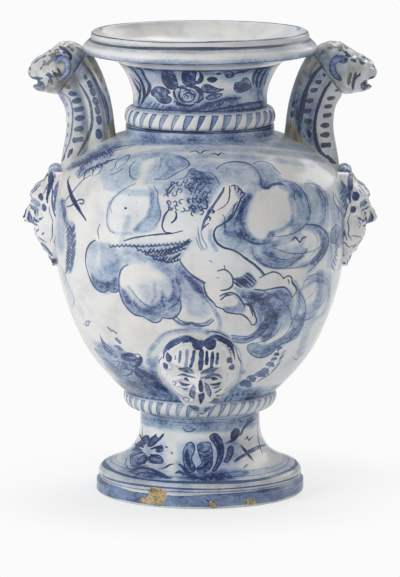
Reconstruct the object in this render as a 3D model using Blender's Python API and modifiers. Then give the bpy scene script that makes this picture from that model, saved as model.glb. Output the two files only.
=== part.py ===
"""Majolica amphora: a turned vessel with feline-headed handles and moulded masks.

Metres, +Z up. The origin is the centre of the resting face of the foot. The front,
which carries a mask of its own, faces -Y, and the handles stand on +X and -X.
"""

import math

import bmesh
import bpy
from mathutils import Matrix, Vector

# Walls, joints and fineness
WALL = 0.008
LUTE_GAP = 0.0003
TURN_STEPS = 48

# Foot
FOOT_RADIUS = 0.1126
FOOT_BAND_HEIGHT = 0.0128
FOOT_GROOVE_DEPTH = 0.004
FOOT_EDGE_ROUND = 0.0014
FOOT_ROLL_RADIUS = 0.1101
PLINTH_TOP_RADIUS = 0.1052
PLINTH_HEIGHT = 0.0280
RESTING_WIDTH = 0.0160
STEM_RADIUS = 0.0648
STEM_HEIGHT = 0.0680

# Body
BODY_RADIUS = 0.1605
LOWER_BODY_HEIGHT = 0.2040
UPPER_BODY_HEIGHT = 0.0985
COLLAR_RADIUS = 0.0798
FLOOR_THICKNESS = 0.0120

# Notched cords
STEM_CORD_DROP = 0.0040
STEM_CORD_BULGE = 0.0062
STEM_CORD_NOTCHES = 44
NECK_CORD_HEIGHT = 0.0192
NECK_CORD_FOOT = 0.0040
NECK_CORD_BULGE = 0.0068
NECK_CORD_NOTCHES = 36
NOTCH_DEPTH = 0.0012
NOTCH_SLANT = 0.55
CORD_ARC_POINTS = 6

# Neck and rim
NECK_RADIUS = 0.0720
NECK_TOP_RADIUS = 0.0876
NECK_HEIGHT = 0.0663
RIM_RADIUS = 0.1259
LIP_RADIUS = 0.1172
LIP_THICKNESS = 0.0046
RIM_HEIGHT = 0.0336
RIM_EDGE_DROP = 0.0190

# Handles and their heads
HANDLE_ROOT_RADIUS = 0.1190
HANDLE_ROOT_DROP = 0.0437
HANDLE_WIDTH = 0.0510
HANDLE_THICKNESS = 0.0320
HANDLE_SWELL = 0.45
HEAD_OVERHANG = 0.0096
HEAD_DROP = 0.0260
HEAD_LENGTH = 0.0525
HEAD_HEIGHT = 0.0570
HEAD_WIDTH = 0.0450
MOUTH_DEPTH = 0.0165
MOUTH_GAPE = 0.0095
MOUTH_CORNER_GAPE = 0.0014
MOUTH_DROP = 0.0103
EAR_ROD_RADIUS = 0.0036
EAR_SPREAD = 0.0214

# Moulded masks
MASK_HEIGHT = 0.1060
MASK_WIDTH = 0.0900
MASK_RELIEF = 0.0340
MASK_SINK = 0.0025
SIDE_MASK_CHIN_DROP = 0.0560
FRONT_MASK_OVERHANG = 0.0052
FRONT_MASK_LIFT = 0.0050
CURL_RADIUS = 0.0078
CURL_LENGTH = 0.0360
CURL_SINK = 0.0025

# Outline of the bowl, as shares of its growth in radius and height
BOWL_SHAPE = [(0.165, 0.062), (0.305, 0.123), (0.541, 0.252), (0.734, 0.419), (0.908, 0.673), (1.0, 1.0)]
# Outline of the shoulder from the widest line to the collar, in the same way
SHOULDER_SHAPE = [
    (1.0, 0.0), (0.972, 0.275), (0.852, 0.494), (0.484, 0.750), (0.177, 0.864), (0.022, 0.902), (0.0, 1.0),
]
# Outline of the flared stem, from its foot to its waist
STEM_SHAPE = [
    (1.0, 0.0), (0.83, 0.041), (0.61, 0.097), (0.41, 0.168),
    (0.24, 0.263), (0.06, 0.46), (0.0, 0.70), (0.0, 1.0),
]
# Outline of the neck, from its base to its flared top
NECK_SHAPE = [(0.0, 0.0), (0.0, 0.36), (0.02, 0.50), (0.14, 0.62), (0.34, 0.75), (0.65, 0.89), (1.0, 1.0)]
# Outline of the rim from the lip to the under edge: inset in shares of the ledge's width,
# drop in shares of the edge's drop
RIM_SHAPE = [
    (1.32, 0.0), (1.09, 0.095), (1.0, 0.274), (0.977, 0.40), (0.747, 0.50),
    (0.138, 0.774), (0.0, 1.0), (0.207, 1.179), (0.62, 1.274),
]
# Underside of the rim down to the neck, as shares of its reach and of its height over the neck
RIM_UNDERSIDE = [(0.53, 0.70), (0.19, 0.40), (0.0, 0.0)]
# Dish inside the rim, as shares of the way from the throat to the lip and of the rim's height
DISH_SHAPE = [(0.0, 0.0), (0.34, 0.253), (0.70, 0.531), (0.92, 0.798), (1.0, 0.97)]

# Handle stations: share of the run and of the rise to the head, width factor, slope in degrees
HANDLE_STATIONS = [
    (0.00, 0.00, 1.38, -22),
    (0.00, 0.19, 1.18, -15),
    (-0.07, 0.37, 1.03, -6),
    (-0.03, 0.52, 0.99, -5),
    (0.11, 0.66, 0.98, -12),
    (0.34, 0.78, 1.00, -24),
    (0.65, 0.895, 1.07, -40),
    (1.00, 1.00, 1.15, -54.4),
]
# Half of the fluted section: share of the half width, share of the half thickness
FLUTED_SECTION = [
    (1.00, 0.00),
    (0.97, 0.42),
    (0.83, 0.66),
    (0.66, 0.92),
    (0.44, 1.00),
    (0.22, 0.92),
    (0.06, 0.72),
    (-0.10, 0.92),
    (-0.30, 0.98),
    (-0.50, 0.90),
    (-0.64, 0.66),
    (-0.78, 0.78),
    (-0.92, 0.56),
    (-1.00, 0.20),
]
# Head stations: forward and upward shares of crown line and jaw line, share of the half width
HEAD_STATIONS = [
    (-0.324, 0.418, 0.324, -0.414, 0.82),
    (-0.086, 0.549, 0.371, -0.412, 0.91),
    (0.162, 0.593, 0.448, -0.407, 0.99),
    (0.352, 0.540, 0.543, -0.389, 1.02),
    (0.524, 0.432, 0.657, -0.372, 0.96),
    (0.686, 0.352, 0.771, -0.351, 0.83),
    (0.838, 0.277, 0.867, -0.319, 0.69),
    (0.943, 0.198, 0.933, -0.258, 0.55),
    (0.992, 0.102, 0.981, -0.126, 0.36),
]
HEAD_SIDES = 18
HEAD_ROUNDNESS = 0.85
CROWN_NARROWING = 0.14
# Ear scroll: forward and upward shares from the middle of the head's root, thickness factor
EAR_PATH = [
    (0.345, 0.28, 1.25),
    (0.235, 0.31, 1.15),
    (0.140, 0.235, 1.05),
    (0.115, 0.115, 1.00),
    (0.155, 0.005, 0.90),
    (0.260, -0.075, 0.75),
    (0.390, -0.085, 0.50),
]

# Mask outline as radii from the bridge of the nose, by degrees from the top, in shares of the height
MASK_CENTRE = 0.51
MASK_OUTLINE = [
    (0, 0.415),
    (20, 0.507),
    (38, 0.498),
    (70, 0.450),
    (92, 0.405),
    (116, 0.386),
    (140, 0.392),
    (162, 0.441),
    (180, 0.510),
]
# Relief down the middle of the mask without its nose, and of the nose, by share of the height
FACE_RELIEF = [
    (0.0, 0.10), (0.09, 0.36), (0.2, 0.50), (0.33, 0.60), (0.46, 0.64),
    (0.55, 0.60), (0.66, 0.58), (0.76, 0.74), (0.82, 0.68), (0.9, 0.42), (1.0, 0.16),
]
NOSE_RELIEF = [
    (0.43, 0.0), (0.47, 0.32), (0.50, 0.38), (0.56, 0.33), (0.64, 0.20), (0.72, 0.08), (0.76, 0.0),
]
NOSE_BREADTH = 0.17
# Hollow of an eye and ridge of a brow: relief, place across and up, spread across and up
EYE_HOLLOW = (-0.10, 0.38, 0.655, 0.17, 0.055)
BROW_RIDGE = (0.08, 0.36, 0.745, 0.22, 0.04)
EDGE_RELIEF = 0.12
MASK_SPOKES = 32
MASK_RINGS = 16
MASK_BACK = 0.0180

# Heights of the joints, from the foot up
STEM_Z = PLINTH_HEIGHT + LUTE_GAP
STEM_TOP_Z = STEM_Z + STEM_HEIGHT
BOWL_Z = STEM_TOP_Z + LUTE_GAP
WIDEST_Z = BOWL_Z + LOWER_BODY_HEIGHT
SHOULDER_Z = WIDEST_Z + LUTE_GAP
COLLAR_Z = SHOULDER_Z + UPPER_BODY_HEIGHT
NECK_Z = COLLAR_Z + LUTE_GAP
NECK_TOP_Z = NECK_Z + NECK_HEIGHT
RIM_Z = NECK_TOP_Z + LUTE_GAP
RIM_TOP_Z = RIM_Z + RIM_HEIGHT

# Anchors of the handles and masks, worked out from what carries them
HANDLE_ROOT = Vector((HANDLE_ROOT_RADIUS, COLLAR_Z - HANDLE_ROOT_DROP))
HEAD_ROOT = Vector((RIM_RADIUS + HEAD_OVERHANG, RIM_TOP_Z - RIM_EDGE_DROP - HEAD_DROP))
SIDE_MASK_Z = WIDEST_Z - SIDE_MASK_CHIN_DROP

GLAZE = (0.78, 0.80, 0.84)
BLUE_WASH = (0.40, 0.47, 0.62)
BLUE_GREY = (0.60, 0.65, 0.74)


def clear_scene():
    for obj in list(bpy.data.objects):
        bpy.data.objects.remove(obj, do_unlink=True)


def new_collection(name):
    collection = bpy.data.collections.new(name)
    bpy.context.scene.collection.children.link(collection)
    return collection


def glaze_material(name, colour, roughness):
    material = bpy.data.materials.new(name)
    material.use_nodes = True
    shader = material.node_tree.nodes["Principled BSDF"]
    shader.inputs["Base Color"].default_value = (*colour, 1.0)
    shader.inputs["Roughness"].default_value = roughness
    shader.inputs["Metallic"].default_value = 0.0
    return material


def add_piece(name, mesh, colour=GLAZE, roughness=0.22):
    mesh.materials.append(glaze_material(name + "_glaze", colour, roughness))
    mesh.shade_smooth()
    piece = bpy.data.objects.new(name, mesh)
    PIECES.objects.link(piece)
    return piece


def add_cutter(name, mesh):
    cutter = bpy.data.objects.new(name, mesh)
    cutter.hide_render = True
    cutter.display_type = "WIRE"
    CUTTERS.objects.link(cutter)
    return cutter


def cut(piece, *cutters):
    for cutter in cutters:
        seat = piece.modifiers.new("Seat on " + cutter.name, "BOOLEAN")
        seat.operation = "DIFFERENCE"
        seat.solver = "EXACT"
        seat.object = cutter


def smooth_curve(points, spans):
    """Catmull-Rom curve through points of any dimension, with `spans` steps between neighbours."""
    first = [2 * a - b for a, b in zip(points[0], points[1])]
    last = [2 * a - b for a, b in zip(points[-1], points[-2])]
    run = [first, *points, last]
    curve = []
    for before, start, stop, after in zip(run, run[1:], run[2:], run[3:]):
        for step in range(spans):
            t = step / spans
            curve.append(tuple(spline_value(t, *values) for values in zip(before, start, stop, after)))
    return curve + [tuple(points[-1])]


def spline_value(t, a, b, c, d):
    bend = 2 * a - 5 * b + 4 * c - d
    twist = 3 * b - a - 3 * c + d
    return 0.5 * (2 * b + (c - a) * t + bend * t**2 + twist * t**3)


def even_steps(curve, count):
    """The same curve as `count` points at equal distances along it."""
    lengths = [0.0]
    for a, b in zip(curve, curve[1:]):
        lengths.append(lengths[-1] + math.dist(a, b))
    points = []
    index = 0
    for step in range(count):
        target = lengths[-1] * step / (count - 1)
        while index < len(curve) - 2 and lengths[index + 1] < target:
            index += 1
        t = (target - lengths[index]) / (lengths[index + 1] - lengths[index])
        points.append(tuple(p + (q - p) * t for p, q in zip(curve[index], curve[index + 1])))
    return points


def table_value(table, x):
    """Smoothly stepped value of a table of (place, value) pairs."""
    if x <= table[0][0]:
        return table[0][1]
    for (x0, v0), (x1, v1) in zip(table, table[1:]):
        if x <= x1:
            t = (x - x0) / (x1 - x0)
            return v0 + (v1 - v0) * t * t * (3 - 2 * t)
    return table[-1][1]


def offset_outline(outline, distance):
    """Moves an outline that runs downwards out by `distance`, or in where it is negative."""
    moved = []
    for index, point in enumerate(outline):
        before = Vector(outline[max(index - 1, 0)])
        after = Vector(outline[min(index + 1, len(outline) - 1)])
        along = (after - before).normalized()
        moved.append((point[0] - along.y * distance, point[1] + along.x * distance))
    return moved


def shell_outline(outer, wall):
    """Closed outline of a turned wall whose two ends are level."""
    inner = offset_outline(outer, -wall)
    top, bottom = outer[0][1], outer[-1][1]
    kept = [point for point in inner[1:-1:2] if bottom < point[1] < top]
    first = (outer[0][0] - wall / level_share(outer[0], outer[1]), top)
    last = (outer[-1][0] - wall / level_share(outer[-2], outer[-1]), bottom)
    return outer + [last] + kept[::-1] + [first]


def level_share(upper, lower):
    """Share of a wall's thickness that a level cut shows, between two points of its outline."""
    return abs(upper[1] - lower[1]) / math.dist(upper, lower)


def turned_mesh(name, outline, steps, closed=True):
    """Mesh of an outline of (radius, height) points, turned about the vertical axis."""
    profile = bpy.data.meshes.new(name)
    edges = [(index, index + 1) for index in range(len(outline) - 1)]
    if closed:
        edges.append((len(outline) - 1, 0))
    profile.from_pydata([(radius, 0.0, height) for radius, height in outline], edges, [])
    blank = bpy.data.objects.new(name, profile)
    CUTTERS.objects.link(blank)
    turning = blank.modifiers.new("Turning", "SCREW")
    turning.axis = "Z"
    turning.steps = steps
    turning.render_steps = steps
    turning.use_merge_vertices = True
    turning.merge_threshold = 0.00001
    mesh = evaluated_mesh(blank)
    bpy.data.objects.remove(blank, do_unlink=True)
    return mesh


def evaluated_mesh(obj):
    bpy.context.view_layer.update()
    return bpy.data.meshes.new_from_object(obj.evaluated_get(bpy.context.evaluated_depsgraph_get()))


def loft_mesh(name, rings, side):
    """Closed skin over rings of equal count. `side` is -1 for the mirrored piece."""
    count = len(rings[0])
    points = [Vector((x * side, y, z)) for ring in rings for x, y, z in ring]
    faces = []
    for level in range(len(rings) - 1):
        for index in range(count):
            a = level * count + index
            b = level * count + (index + 1) % count
            faces.append((a, b, b + count, a + count))
    faces.append(tuple(range(count))[::-1])
    faces.append(tuple(range((len(rings) - 1) * count, len(rings) * count)))
    mesh = bpy.data.meshes.new(name)
    mesh.from_pydata(points, [], faces)
    face_outwards(mesh)
    return mesh


def face_outwards(mesh):
    work = bmesh.new()
    work.from_mesh(mesh)
    bmesh.ops.recalc_face_normals(work, faces=work.faces)
    if work.calc_volume(signed=True) < 0:
        bmesh.ops.reverse_faces(work, faces=work.faces)
    work.to_mesh(mesh)
    work.free()


def bowl_outline():
    """Outer outline of the lower body, from the widest line down to its foot."""
    growth = BODY_RADIUS - STEM_RADIUS
    points = [(STEM_RADIUS + growth * u, BOWL_Z + LOWER_BODY_HEIGHT * v) for u, v in BOWL_SHAPE]
    return even_steps(smooth_curve(points, 8), 12)[::-1]


def shoulder_outline():
    """Outer outline of the upper body, from the collar down to the widest line."""
    growth = BODY_RADIUS - COLLAR_RADIUS
    points = [(COLLAR_RADIUS + growth * u, SHOULDER_Z + UPPER_BODY_HEIGHT * v) for u, v in SHOULDER_SHAPE]
    return even_steps(smooth_curve(points, 8), 13)[::-1]


def stem_outline():
    growth = PLINTH_TOP_RADIUS - STEM_RADIUS
    points = [(STEM_RADIUS + growth * u, STEM_Z + STEM_HEIGHT * v) for u, v in STEM_SHAPE]
    return even_steps(smooth_curve(points, 6), 9)[::-1]


def neck_outline():
    growth = NECK_TOP_RADIUS - NECK_RADIUS
    points = [(NECK_RADIUS + growth * u, NECK_Z + NECK_HEIGHT * v) for u, v in NECK_SHAPE]
    return even_steps(smooth_curve(points, 6), 8)[::-1]


def make_foot():
    hollow = FOOT_RADIUS - RESTING_WIDTH
    groove_z = FOOT_BAND_HEIGHT + FOOT_EDGE_ROUND
    roll_z = (groove_z + PLINTH_HEIGHT) / 2
    plinth = [
        (PLINTH_TOP_RADIUS, PLINTH_HEIGHT),
        (FOOT_ROLL_RADIUS - 2 * FOOT_EDGE_ROUND, PLINTH_HEIGHT - FOOT_EDGE_ROUND),
        (FOOT_ROLL_RADIUS - 0.4 * FOOT_EDGE_ROUND, roll_z + 2 * FOOT_EDGE_ROUND),
        (FOOT_ROLL_RADIUS, roll_z - FOOT_EDGE_ROUND),
        (FOOT_RADIUS - FOOT_GROOVE_DEPTH, groove_z),
        (FOOT_RADIUS - 0.4 * FOOT_EDGE_ROUND, FOOT_BAND_HEIGHT - 0.3 * FOOT_EDGE_ROUND),
        (FOOT_RADIUS, FOOT_BAND_HEIGHT - FOOT_EDGE_ROUND),
        (FOOT_RADIUS, FOOT_EDGE_ROUND),
        (FOOT_RADIUS - FOOT_EDGE_ROUND, 0.0),
        (hollow, 0.0),
        (hollow - FOOT_EDGE_ROUND, 2 * FOOT_EDGE_ROUND),
        (PLINTH_TOP_RADIUS - 2 * WALL, PLINTH_HEIGHT),
    ]
    add_piece("foot_plinth", turned_mesh("foot_plinth", plinth, TURN_STEPS), BLUE_GREY)
    outer = stem_outline()
    outline = shell_outline(outer, WALL)
    outline[len(outer)] = (PLINTH_TOP_RADIUS - 2 * WALL, STEM_Z)
    add_piece("foot_stem", turned_mesh("foot_stem", outline, TURN_STEPS), BLUE_WASH)


def make_body():
    outer = bowl_outline()
    floor_z = BOWL_Z + FLOOR_THICKNESS
    inner = [point for point in offset_outline(outer, -WALL)[2::2] if point[1] > floor_z + LUTE_GAP]
    rim_inner = (outer[0][0] - WALL / level_share(outer[0], outer[1]), outer[0][1])
    bowl = [(0.0, floor_z), (STEM_RADIUS - WALL, floor_z), *inner[::-1], rim_inner]
    bowl = bowl + outer + [(STEM_RADIUS, BOWL_Z), (0.0, BOWL_Z)]
    add_piece("lower_body", turned_mesh("lower_body", bowl, TURN_STEPS, closed=False))

    outer = shoulder_outline()
    mouth = NECK_RADIUS - WALL
    inner = [point for point in offset_outline(outer, -WALL)[1:-1:2] if point[0] > mouth + WALL]
    last = (outer[-1][0] - WALL / level_share(outer[-2], outer[-1]), outer[-1][1])
    throat_z = inner[0][1]
    shoulder = outer + [last] + inner[::-1] + [(mouth, throat_z), (mouth, COLLAR_Z)]
    add_piece("upper_body", turned_mesh("upper_body", shoulder, TURN_STEPS))


def cord_arc(top, bottom, bulge):
    """Half round from `top` down to `bottom`, standing out by `bulge`."""
    start, run = Vector(top), Vector(bottom) - Vector(top)
    out = Vector((-run.y, run.x)).normalized()
    arc = []
    for step in range(CORD_ARC_POINTS):
        angle = math.pi * step / (CORD_ARC_POINTS - 1)
        point = start + run * (1 - math.cos(angle)) / 2 + out * bulge * math.sin(angle)
        arc.append((point.x, point.y))
    return arc


def notched_mesh(name, outline, notches):
    """Turned cord whose outer side, the arc that its outline starts with, has slanted, even notches."""
    steps = 2 * notches
    mesh = turned_mesh(name, outline, steps)
    low = min(height for radius, height in outline)
    high = max(height for radius, height in outline)
    for vertex in mesh.vertices:
        radius = math.hypot(vertex.co.x, vertex.co.y)
        angle = math.atan2(vertex.co.y, vertex.co.x)
        station = round(angle * steps / math.tau)
        place = min(range(len(outline)), key=lambda index: math.dist(outline[index], (radius, vertex.co.z)))
        if station % 2 and place < CORD_ARC_POINTS:
            radius -= NOTCH_DEPTH * math.sin(math.pi * place / (CORD_ARC_POINTS - 1))
        angle += NOTCH_SLANT * math.tau / notches * ((vertex.co.z - low) / (high - low) - 0.5)
        vertex.co.x = radius * math.cos(angle)
        vertex.co.y = radius * math.sin(angle)
    return mesh


def stem_cord_outline():
    """Cord under the bowl: it fills the corner between the stem and the bowl's first slope."""
    seat = offset_outline([bowl_outline()[-1], (STEM_RADIUS, BOWL_Z)], LUTE_GAP)
    inner = STEM_RADIUS + LUTE_GAP
    bottom = (inner + STEM_CORD_BULGE, STEM_TOP_Z - STEM_CORD_DROP)
    arc = cord_arc(seat[0], bottom, STEM_CORD_BULGE)
    return arc + [(inner, bottom[1] + LUTE_GAP), (inner, seat[1][1])]


def neck_cord_outline():
    inner = NECK_RADIUS + LUTE_GAP
    bottom = (inner + NECK_CORD_FOOT, NECK_Z)
    arc = cord_arc((inner, NECK_Z + NECK_CORD_HEIGHT), bottom, NECK_CORD_BULGE)
    return arc + [(inner, NECK_Z)]


def make_cords():
    add_piece("stem_cord", notched_mesh("stem_cord", stem_cord_outline(), STEM_CORD_NOTCHES))
    add_piece("neck_cord", notched_mesh("neck_cord", neck_cord_outline(), NECK_CORD_NOTCHES))


def rim_outline():
    """Outer outline of the flange, from the lip down to its seat on the neck."""
    ledge = RIM_RADIUS - LIP_RADIUS
    reach = RIM_RADIUS - NECK_TOP_RADIUS
    edge = [(RIM_RADIUS - ledge * u, RIM_TOP_Z - RIM_EDGE_DROP * v) for u, v in RIM_SHAPE]
    under = edge[-1][1] - RIM_Z
    return edge + [(NECK_TOP_RADIUS + reach * u, RIM_Z + under * v) for u, v in RIM_UNDERSIDE]


def make_neck_and_rim():
    neck = shell_outline(neck_outline(), WALL)
    add_piece("neck", turned_mesh("neck", neck, TURN_STEPS))
    throat = neck[-1][0]
    width = LIP_RADIUS - LIP_THICKNESS - throat
    dish = [(throat + width * u, RIM_Z + RIM_HEIGHT * v) for u, v in DISH_SHAPE]
    add_piece("rim", turned_mesh("rim", rim_outline() + dish, TURN_STEPS))


def make_vessel_cutters():
    """Solid stand-ins, larger by the lute gap, that seat the applied pieces on the vessel."""
    body = offset_outline(shoulder_outline() + bowl_outline(), LUTE_GAP)
    body = [(0.0, body[0][1]), *body, (STEM_RADIUS, BOWL_Z), (0.0, BOWL_Z)]
    rim = offset_outline(rim_outline(), LUTE_GAP)
    rim = [(0.0, RIM_TOP_Z), (rim[0][0], RIM_TOP_Z + LUTE_GAP), *rim[1:], (0.0, RIM_Z)]
    cord = offset_outline(stem_cord_outline()[:CORD_ARC_POINTS], 2 * LUTE_GAP)
    cord = [(0.0, cord[0][1]), *cord, (0.0, cord[-1][1])]
    return (
        add_cutter("body_seat", turned_mesh("body_seat", body, TURN_STEPS, closed=False)),
        add_cutter("rim_seat", turned_mesh("rim_seat", rim, TURN_STEPS, closed=False)),
        add_cutter("cord_seat", turned_mesh("cord_seat", cord, 2 * STEM_CORD_NOTCHES, closed=False)),
    )


def handle_rings(grow=0.0):
    """Fluted sections up the handle on +X, from inside the shoulder to the root of the head."""
    run = HEAD_ROOT - HANDLE_ROOT
    half = HANDLE_WIDTH / 2
    section = FLUTED_SECTION + [(u, -v) for u, v in FLUTED_SECTION[:0:-1]]
    rings = []
    for across, rise, width, slope in even_steps(smooth_curve(HANDLE_STATIONS, 4), 13):
        middle = Vector((HANDLE_ROOT.x + run.x * across, HANDLE_ROOT.y + run.y * rise))
        out = Vector((math.cos(math.radians(slope)), math.sin(math.radians(slope))))
        thickness = HANDLE_THICKNESS / 2 * (1 - HANDLE_SWELL + HANDLE_SWELL * width) + grow
        ring = []
        for u, v in section:
            place = middle + out * u * (half * width + grow)
            ring.append((place.x, v * thickness, place.y))
        rings.append(ring)
    return rings


def head_rings(grow=0.0, back=0.0):
    """Sections of the head on +X, from its root to its muzzle. `back` leaves a gap to the handle."""
    rings = []
    for ahead, crown, jaw_ahead, jaw, width in HEAD_STATIONS:
        top = Vector((HEAD_ROOT.x + ahead * HEAD_LENGTH, HEAD_ROOT.y + crown * HEAD_HEIGHT))
        low = Vector((HEAD_ROOT.x + jaw_ahead * HEAD_LENGTH, HEAD_ROOT.y + jaw * HEAD_HEIGHT))
        middle = (top + low) / 2
        axis = (top - low) / 2
        half = HEAD_WIDTH / 2 * width + grow
        ring = []
        for step in range(HEAD_SIDES):
            angle = math.tau * step / HEAD_SIDES
            up = math.copysign(abs(math.cos(angle)) ** HEAD_ROUNDNESS, math.cos(angle))
            side = math.copysign(abs(math.sin(angle)) ** HEAD_ROUNDNESS, math.sin(angle))
            place = middle + axis * up * (1 + grow / axis.length)
            ring.append((place.x, side * half * (1 - CROWN_NARROWING * up), place.y))
        rings.append(ring)
    if back:
        slope = math.radians(HANDLE_STATIONS[-1][3])
        forward = Vector((-math.sin(slope), math.cos(slope))) * back
        rings[0] = [(x + forward.x, y, z + forward.y) for x, y, z in rings[0]]
    return rings


def mouth_cutter(name, side):
    """Wedge that opens the jaws towards the muzzle."""
    work = bmesh.new()
    bmesh.ops.create_cube(work, size=1.0)
    tip = HEAD_ROOT.x + HEAD_LENGTH
    height = HEAD_ROOT.y - MOUTH_DROP
    for vertex in work.verts:
        front = vertex.co.x > 0
        gape = MOUTH_GAPE if front else MOUTH_CORNER_GAPE
        x = tip + MOUTH_GAPE if front else tip - MOUTH_DEPTH
        vertex.co = Vector((x * side, vertex.co.y * 2 * HEAD_WIDTH, height + vertex.co.z * gape))
    mesh = bpy.data.meshes.new(name)
    work.to_mesh(mesh)
    work.free()
    face_outwards(mesh)
    return add_cutter(name, mesh)


def ear_mesh(name, side, flank):
    """Tapering rod bent to an open scroll on one flank of the head."""
    curve = bpy.data.curves.new(name, "CURVE")
    curve.dimensions = "3D"
    curve.bevel_depth = EAR_ROD_RADIUS
    curve.bevel_resolution = 1
    curve.use_fill_caps = True
    path = even_steps(smooth_curve(EAR_PATH, 4), 9)
    spline = curve.splines.new("POLY")
    spline.points.add(len(path) - 1)
    for point, (ahead, rise, thickness) in zip(spline.points, path):
        x = (HEAD_ROOT.x + ahead * HEAD_LENGTH) * side
        point.co = (x, flank * EAR_SPREAD, HEAD_ROOT.y + rise * HEAD_HEIGHT, 1.0)
        point.radius = thickness
    rod = bpy.data.objects.new(name, curve)
    CUTTERS.objects.link(rod)
    mesh = evaluated_mesh(rod)
    bpy.data.objects.remove(rod, do_unlink=True)
    work = bmesh.new()
    work.from_mesh(mesh)
    bmesh.ops.remove_doubles(work, verts=work.verts, dist=0.00001)
    work.to_mesh(mesh)
    work.free()
    face_outwards(mesh)
    return mesh


def mound(across, height, shape):
    """Rounded rise or hollow on both halves of the mask."""
    relief, place, level, breadth, tall = shape
    return relief * math.exp(-(((abs(across) - place) / breadth) ** 2) - ((height - level) / tall) ** 2)


def mask_relief(across, height, ring, bearing):
    """Height of the mask's face in shares of its relief. `ring` runs from 0 in the middle to 1."""
    fall = 2.4 + 2.6 * math.cos(bearing) ** 2
    face = EDGE_RELIEF + (table_value(FACE_RELIEF, height) - EDGE_RELIEF) * (1 - ring**fall)
    nose = table_value(NOSE_RELIEF, height) * math.exp(-((across / NOSE_BREADTH) ** 2))
    return face + nose + mound(across, height, EYE_HOLLOW) + mound(across, height, BROW_RIDGE)


def mask_mesh(name, chin, up, out, grow=0.0):
    """Pressed mask that stands on `chin` and faces `out`, deep enough to be cut to its seat."""
    work = bmesh.new()
    bmesh.ops.create_uvsphere(work, u_segments=MASK_SPOKES, v_segments=MASK_RINGS, radius=1.0)
    across_axis = up.cross(out)
    widest = max(radius * math.sin(math.radians(angle)) for angle, radius in MASK_OUTLINE)
    for vertex in work.verts:
        polar = math.acos(max(-1.0, min(1.0, vertex.co.z)))
        bearing = math.atan2(vertex.co.x, vertex.co.y)
        reach = table_value(MASK_OUTLINE, abs(math.degrees(bearing))) * MASK_HEIGHT + grow
        front = polar < math.pi * 0.51
        ring = polar if front else (math.pi - polar) * 1.14
        ring = min(1.0, ring / (math.pi / 2))
        across = math.sin(bearing) * reach * ring * MASK_WIDTH / 2 / (widest * MASK_HEIGHT)
        rise = MASK_CENTRE * MASK_HEIGHT + math.cos(bearing) * reach * ring
        depth = -MASK_BACK - grow
        if front:
            relief = mask_relief(across * 2 / MASK_WIDTH, rise / MASK_HEIGHT, ring, bearing)
            depth = grow + MASK_RELIEF * relief
        vertex.co = chin + across_axis * across + up * rise + out * depth
    mesh = bpy.data.meshes.new(name)
    work.to_mesh(mesh)
    work.free()
    face_outwards(mesh)
    return mesh


def curl_mesh(name, side):
    """Small roll of clay that covers the joint of handle and mask."""
    work = bmesh.new()
    bmesh.ops.create_uvsphere(work, u_segments=12, v_segments=8, radius=1.0)
    bmesh.ops.rotate(work, verts=work.verts, matrix=Matrix.Rotation(math.pi / 2, 3, "X"))
    x = (BODY_RADIUS - MASK_SINK - CURL_SINK) * side
    z = SIDE_MASK_Z + MASK_HEIGHT - CURL_SINK
    for vertex in work.verts:
        y = math.copysign(abs(vertex.co.y) ** 0.8, vertex.co.y) * CURL_LENGTH / 2
        vertex.co = Vector((x + vertex.co.x * CURL_RADIUS, y, z + vertex.co.z * CURL_RADIUS))
    mesh = bpy.data.meshes.new(name)
    work.to_mesh(mesh)
    work.free()
    face_outwards(mesh)
    return mesh


def make_side(label, side, body_seat, rim_seat):
    """Handle, head, ears, mask and curl of one side. `side` is 1 on +X and -1 on -X."""
    name = label + "_handle"
    handle = add_piece(name, loft_mesh(name, handle_rings(), side), BLUE_GREY)
    cut(handle, body_seat, rim_seat)
    handle_seat = add_cutter(name + "_seat", loft_mesh(name + "_seat", handle_rings(LUTE_GAP), side))

    name = label + "_head"
    head = add_piece(name, loft_mesh(name, head_rings(back=LUTE_GAP), side))
    cut(head, rim_seat, mouth_cutter(label + "_mouth", side))
    head_seat = add_cutter(name + "_seat", loft_mesh(name + "_seat", head_rings(LUTE_GAP), side))
    for place, flank in (("front", -1), ("back", 1)):
        name = label + "_" + place + "_ear"
        cut(add_piece(name, ear_mesh(name, side, flank), BLUE_WASH), head_seat)

    name = label + "_mask"
    chin = Vector(((BODY_RADIUS - MASK_SINK) * side, 0.0, SIDE_MASK_Z))
    up, out = Vector((0.0, 0.0, 1.0)), Vector((side, 0.0, 0.0))
    mask = add_piece(name, mask_mesh(name, chin, up, out))
    cut(mask, body_seat, handle_seat)
    mask_seat = add_cutter(name + "_seat", mask_mesh(name + "_seat", chin, up, out, LUTE_GAP))
    name = label + "_mask_curl"
    cut(add_piece(name, curl_mesh(name, side), BLUE_WASH), body_seat, handle_seat, mask_seat)


def make_front_mask(body_seat, cord_seat):
    """Mask low on the front: its chin laps over the stem cord and its brow rests on the bowl."""
    cord = stem_cord_outline()
    reach = max(radius for radius, height in cord) + FRONT_MASK_OVERHANG
    chin = Vector((0.0, -reach, sum(height for radius, height in cord) / len(cord) + FRONT_MASK_LIFT))
    brow = chin
    for radius, height in smooth_curve(bowl_outline()[::-1], 12):
        brow = Vector((0.0, -radius, height))
        if (brow - chin).length >= MASK_HEIGHT:
            break
    up = (brow - chin).normalized()
    out = up.cross(Vector((1.0, 0.0, 0.0))) * -1
    mask = add_piece("front_mask", mask_mesh("front_mask", chin, up, out))
    cut(mask, body_seat, cord_seat)


def main():
    make_foot()
    make_body()
    make_cords()
    make_neck_and_rim()
    body_seat, rim_seat, cord_seat = make_vessel_cutters()
    make_side("left", -1, body_seat, rim_seat)
    make_side("right", 1, body_seat, rim_seat)
    make_front_mask(body_seat, cord_seat)


clear_scene()
PIECES = new_collection("majolica_amphora")
CUTTERS = new_collection("cutters")
main()
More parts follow.
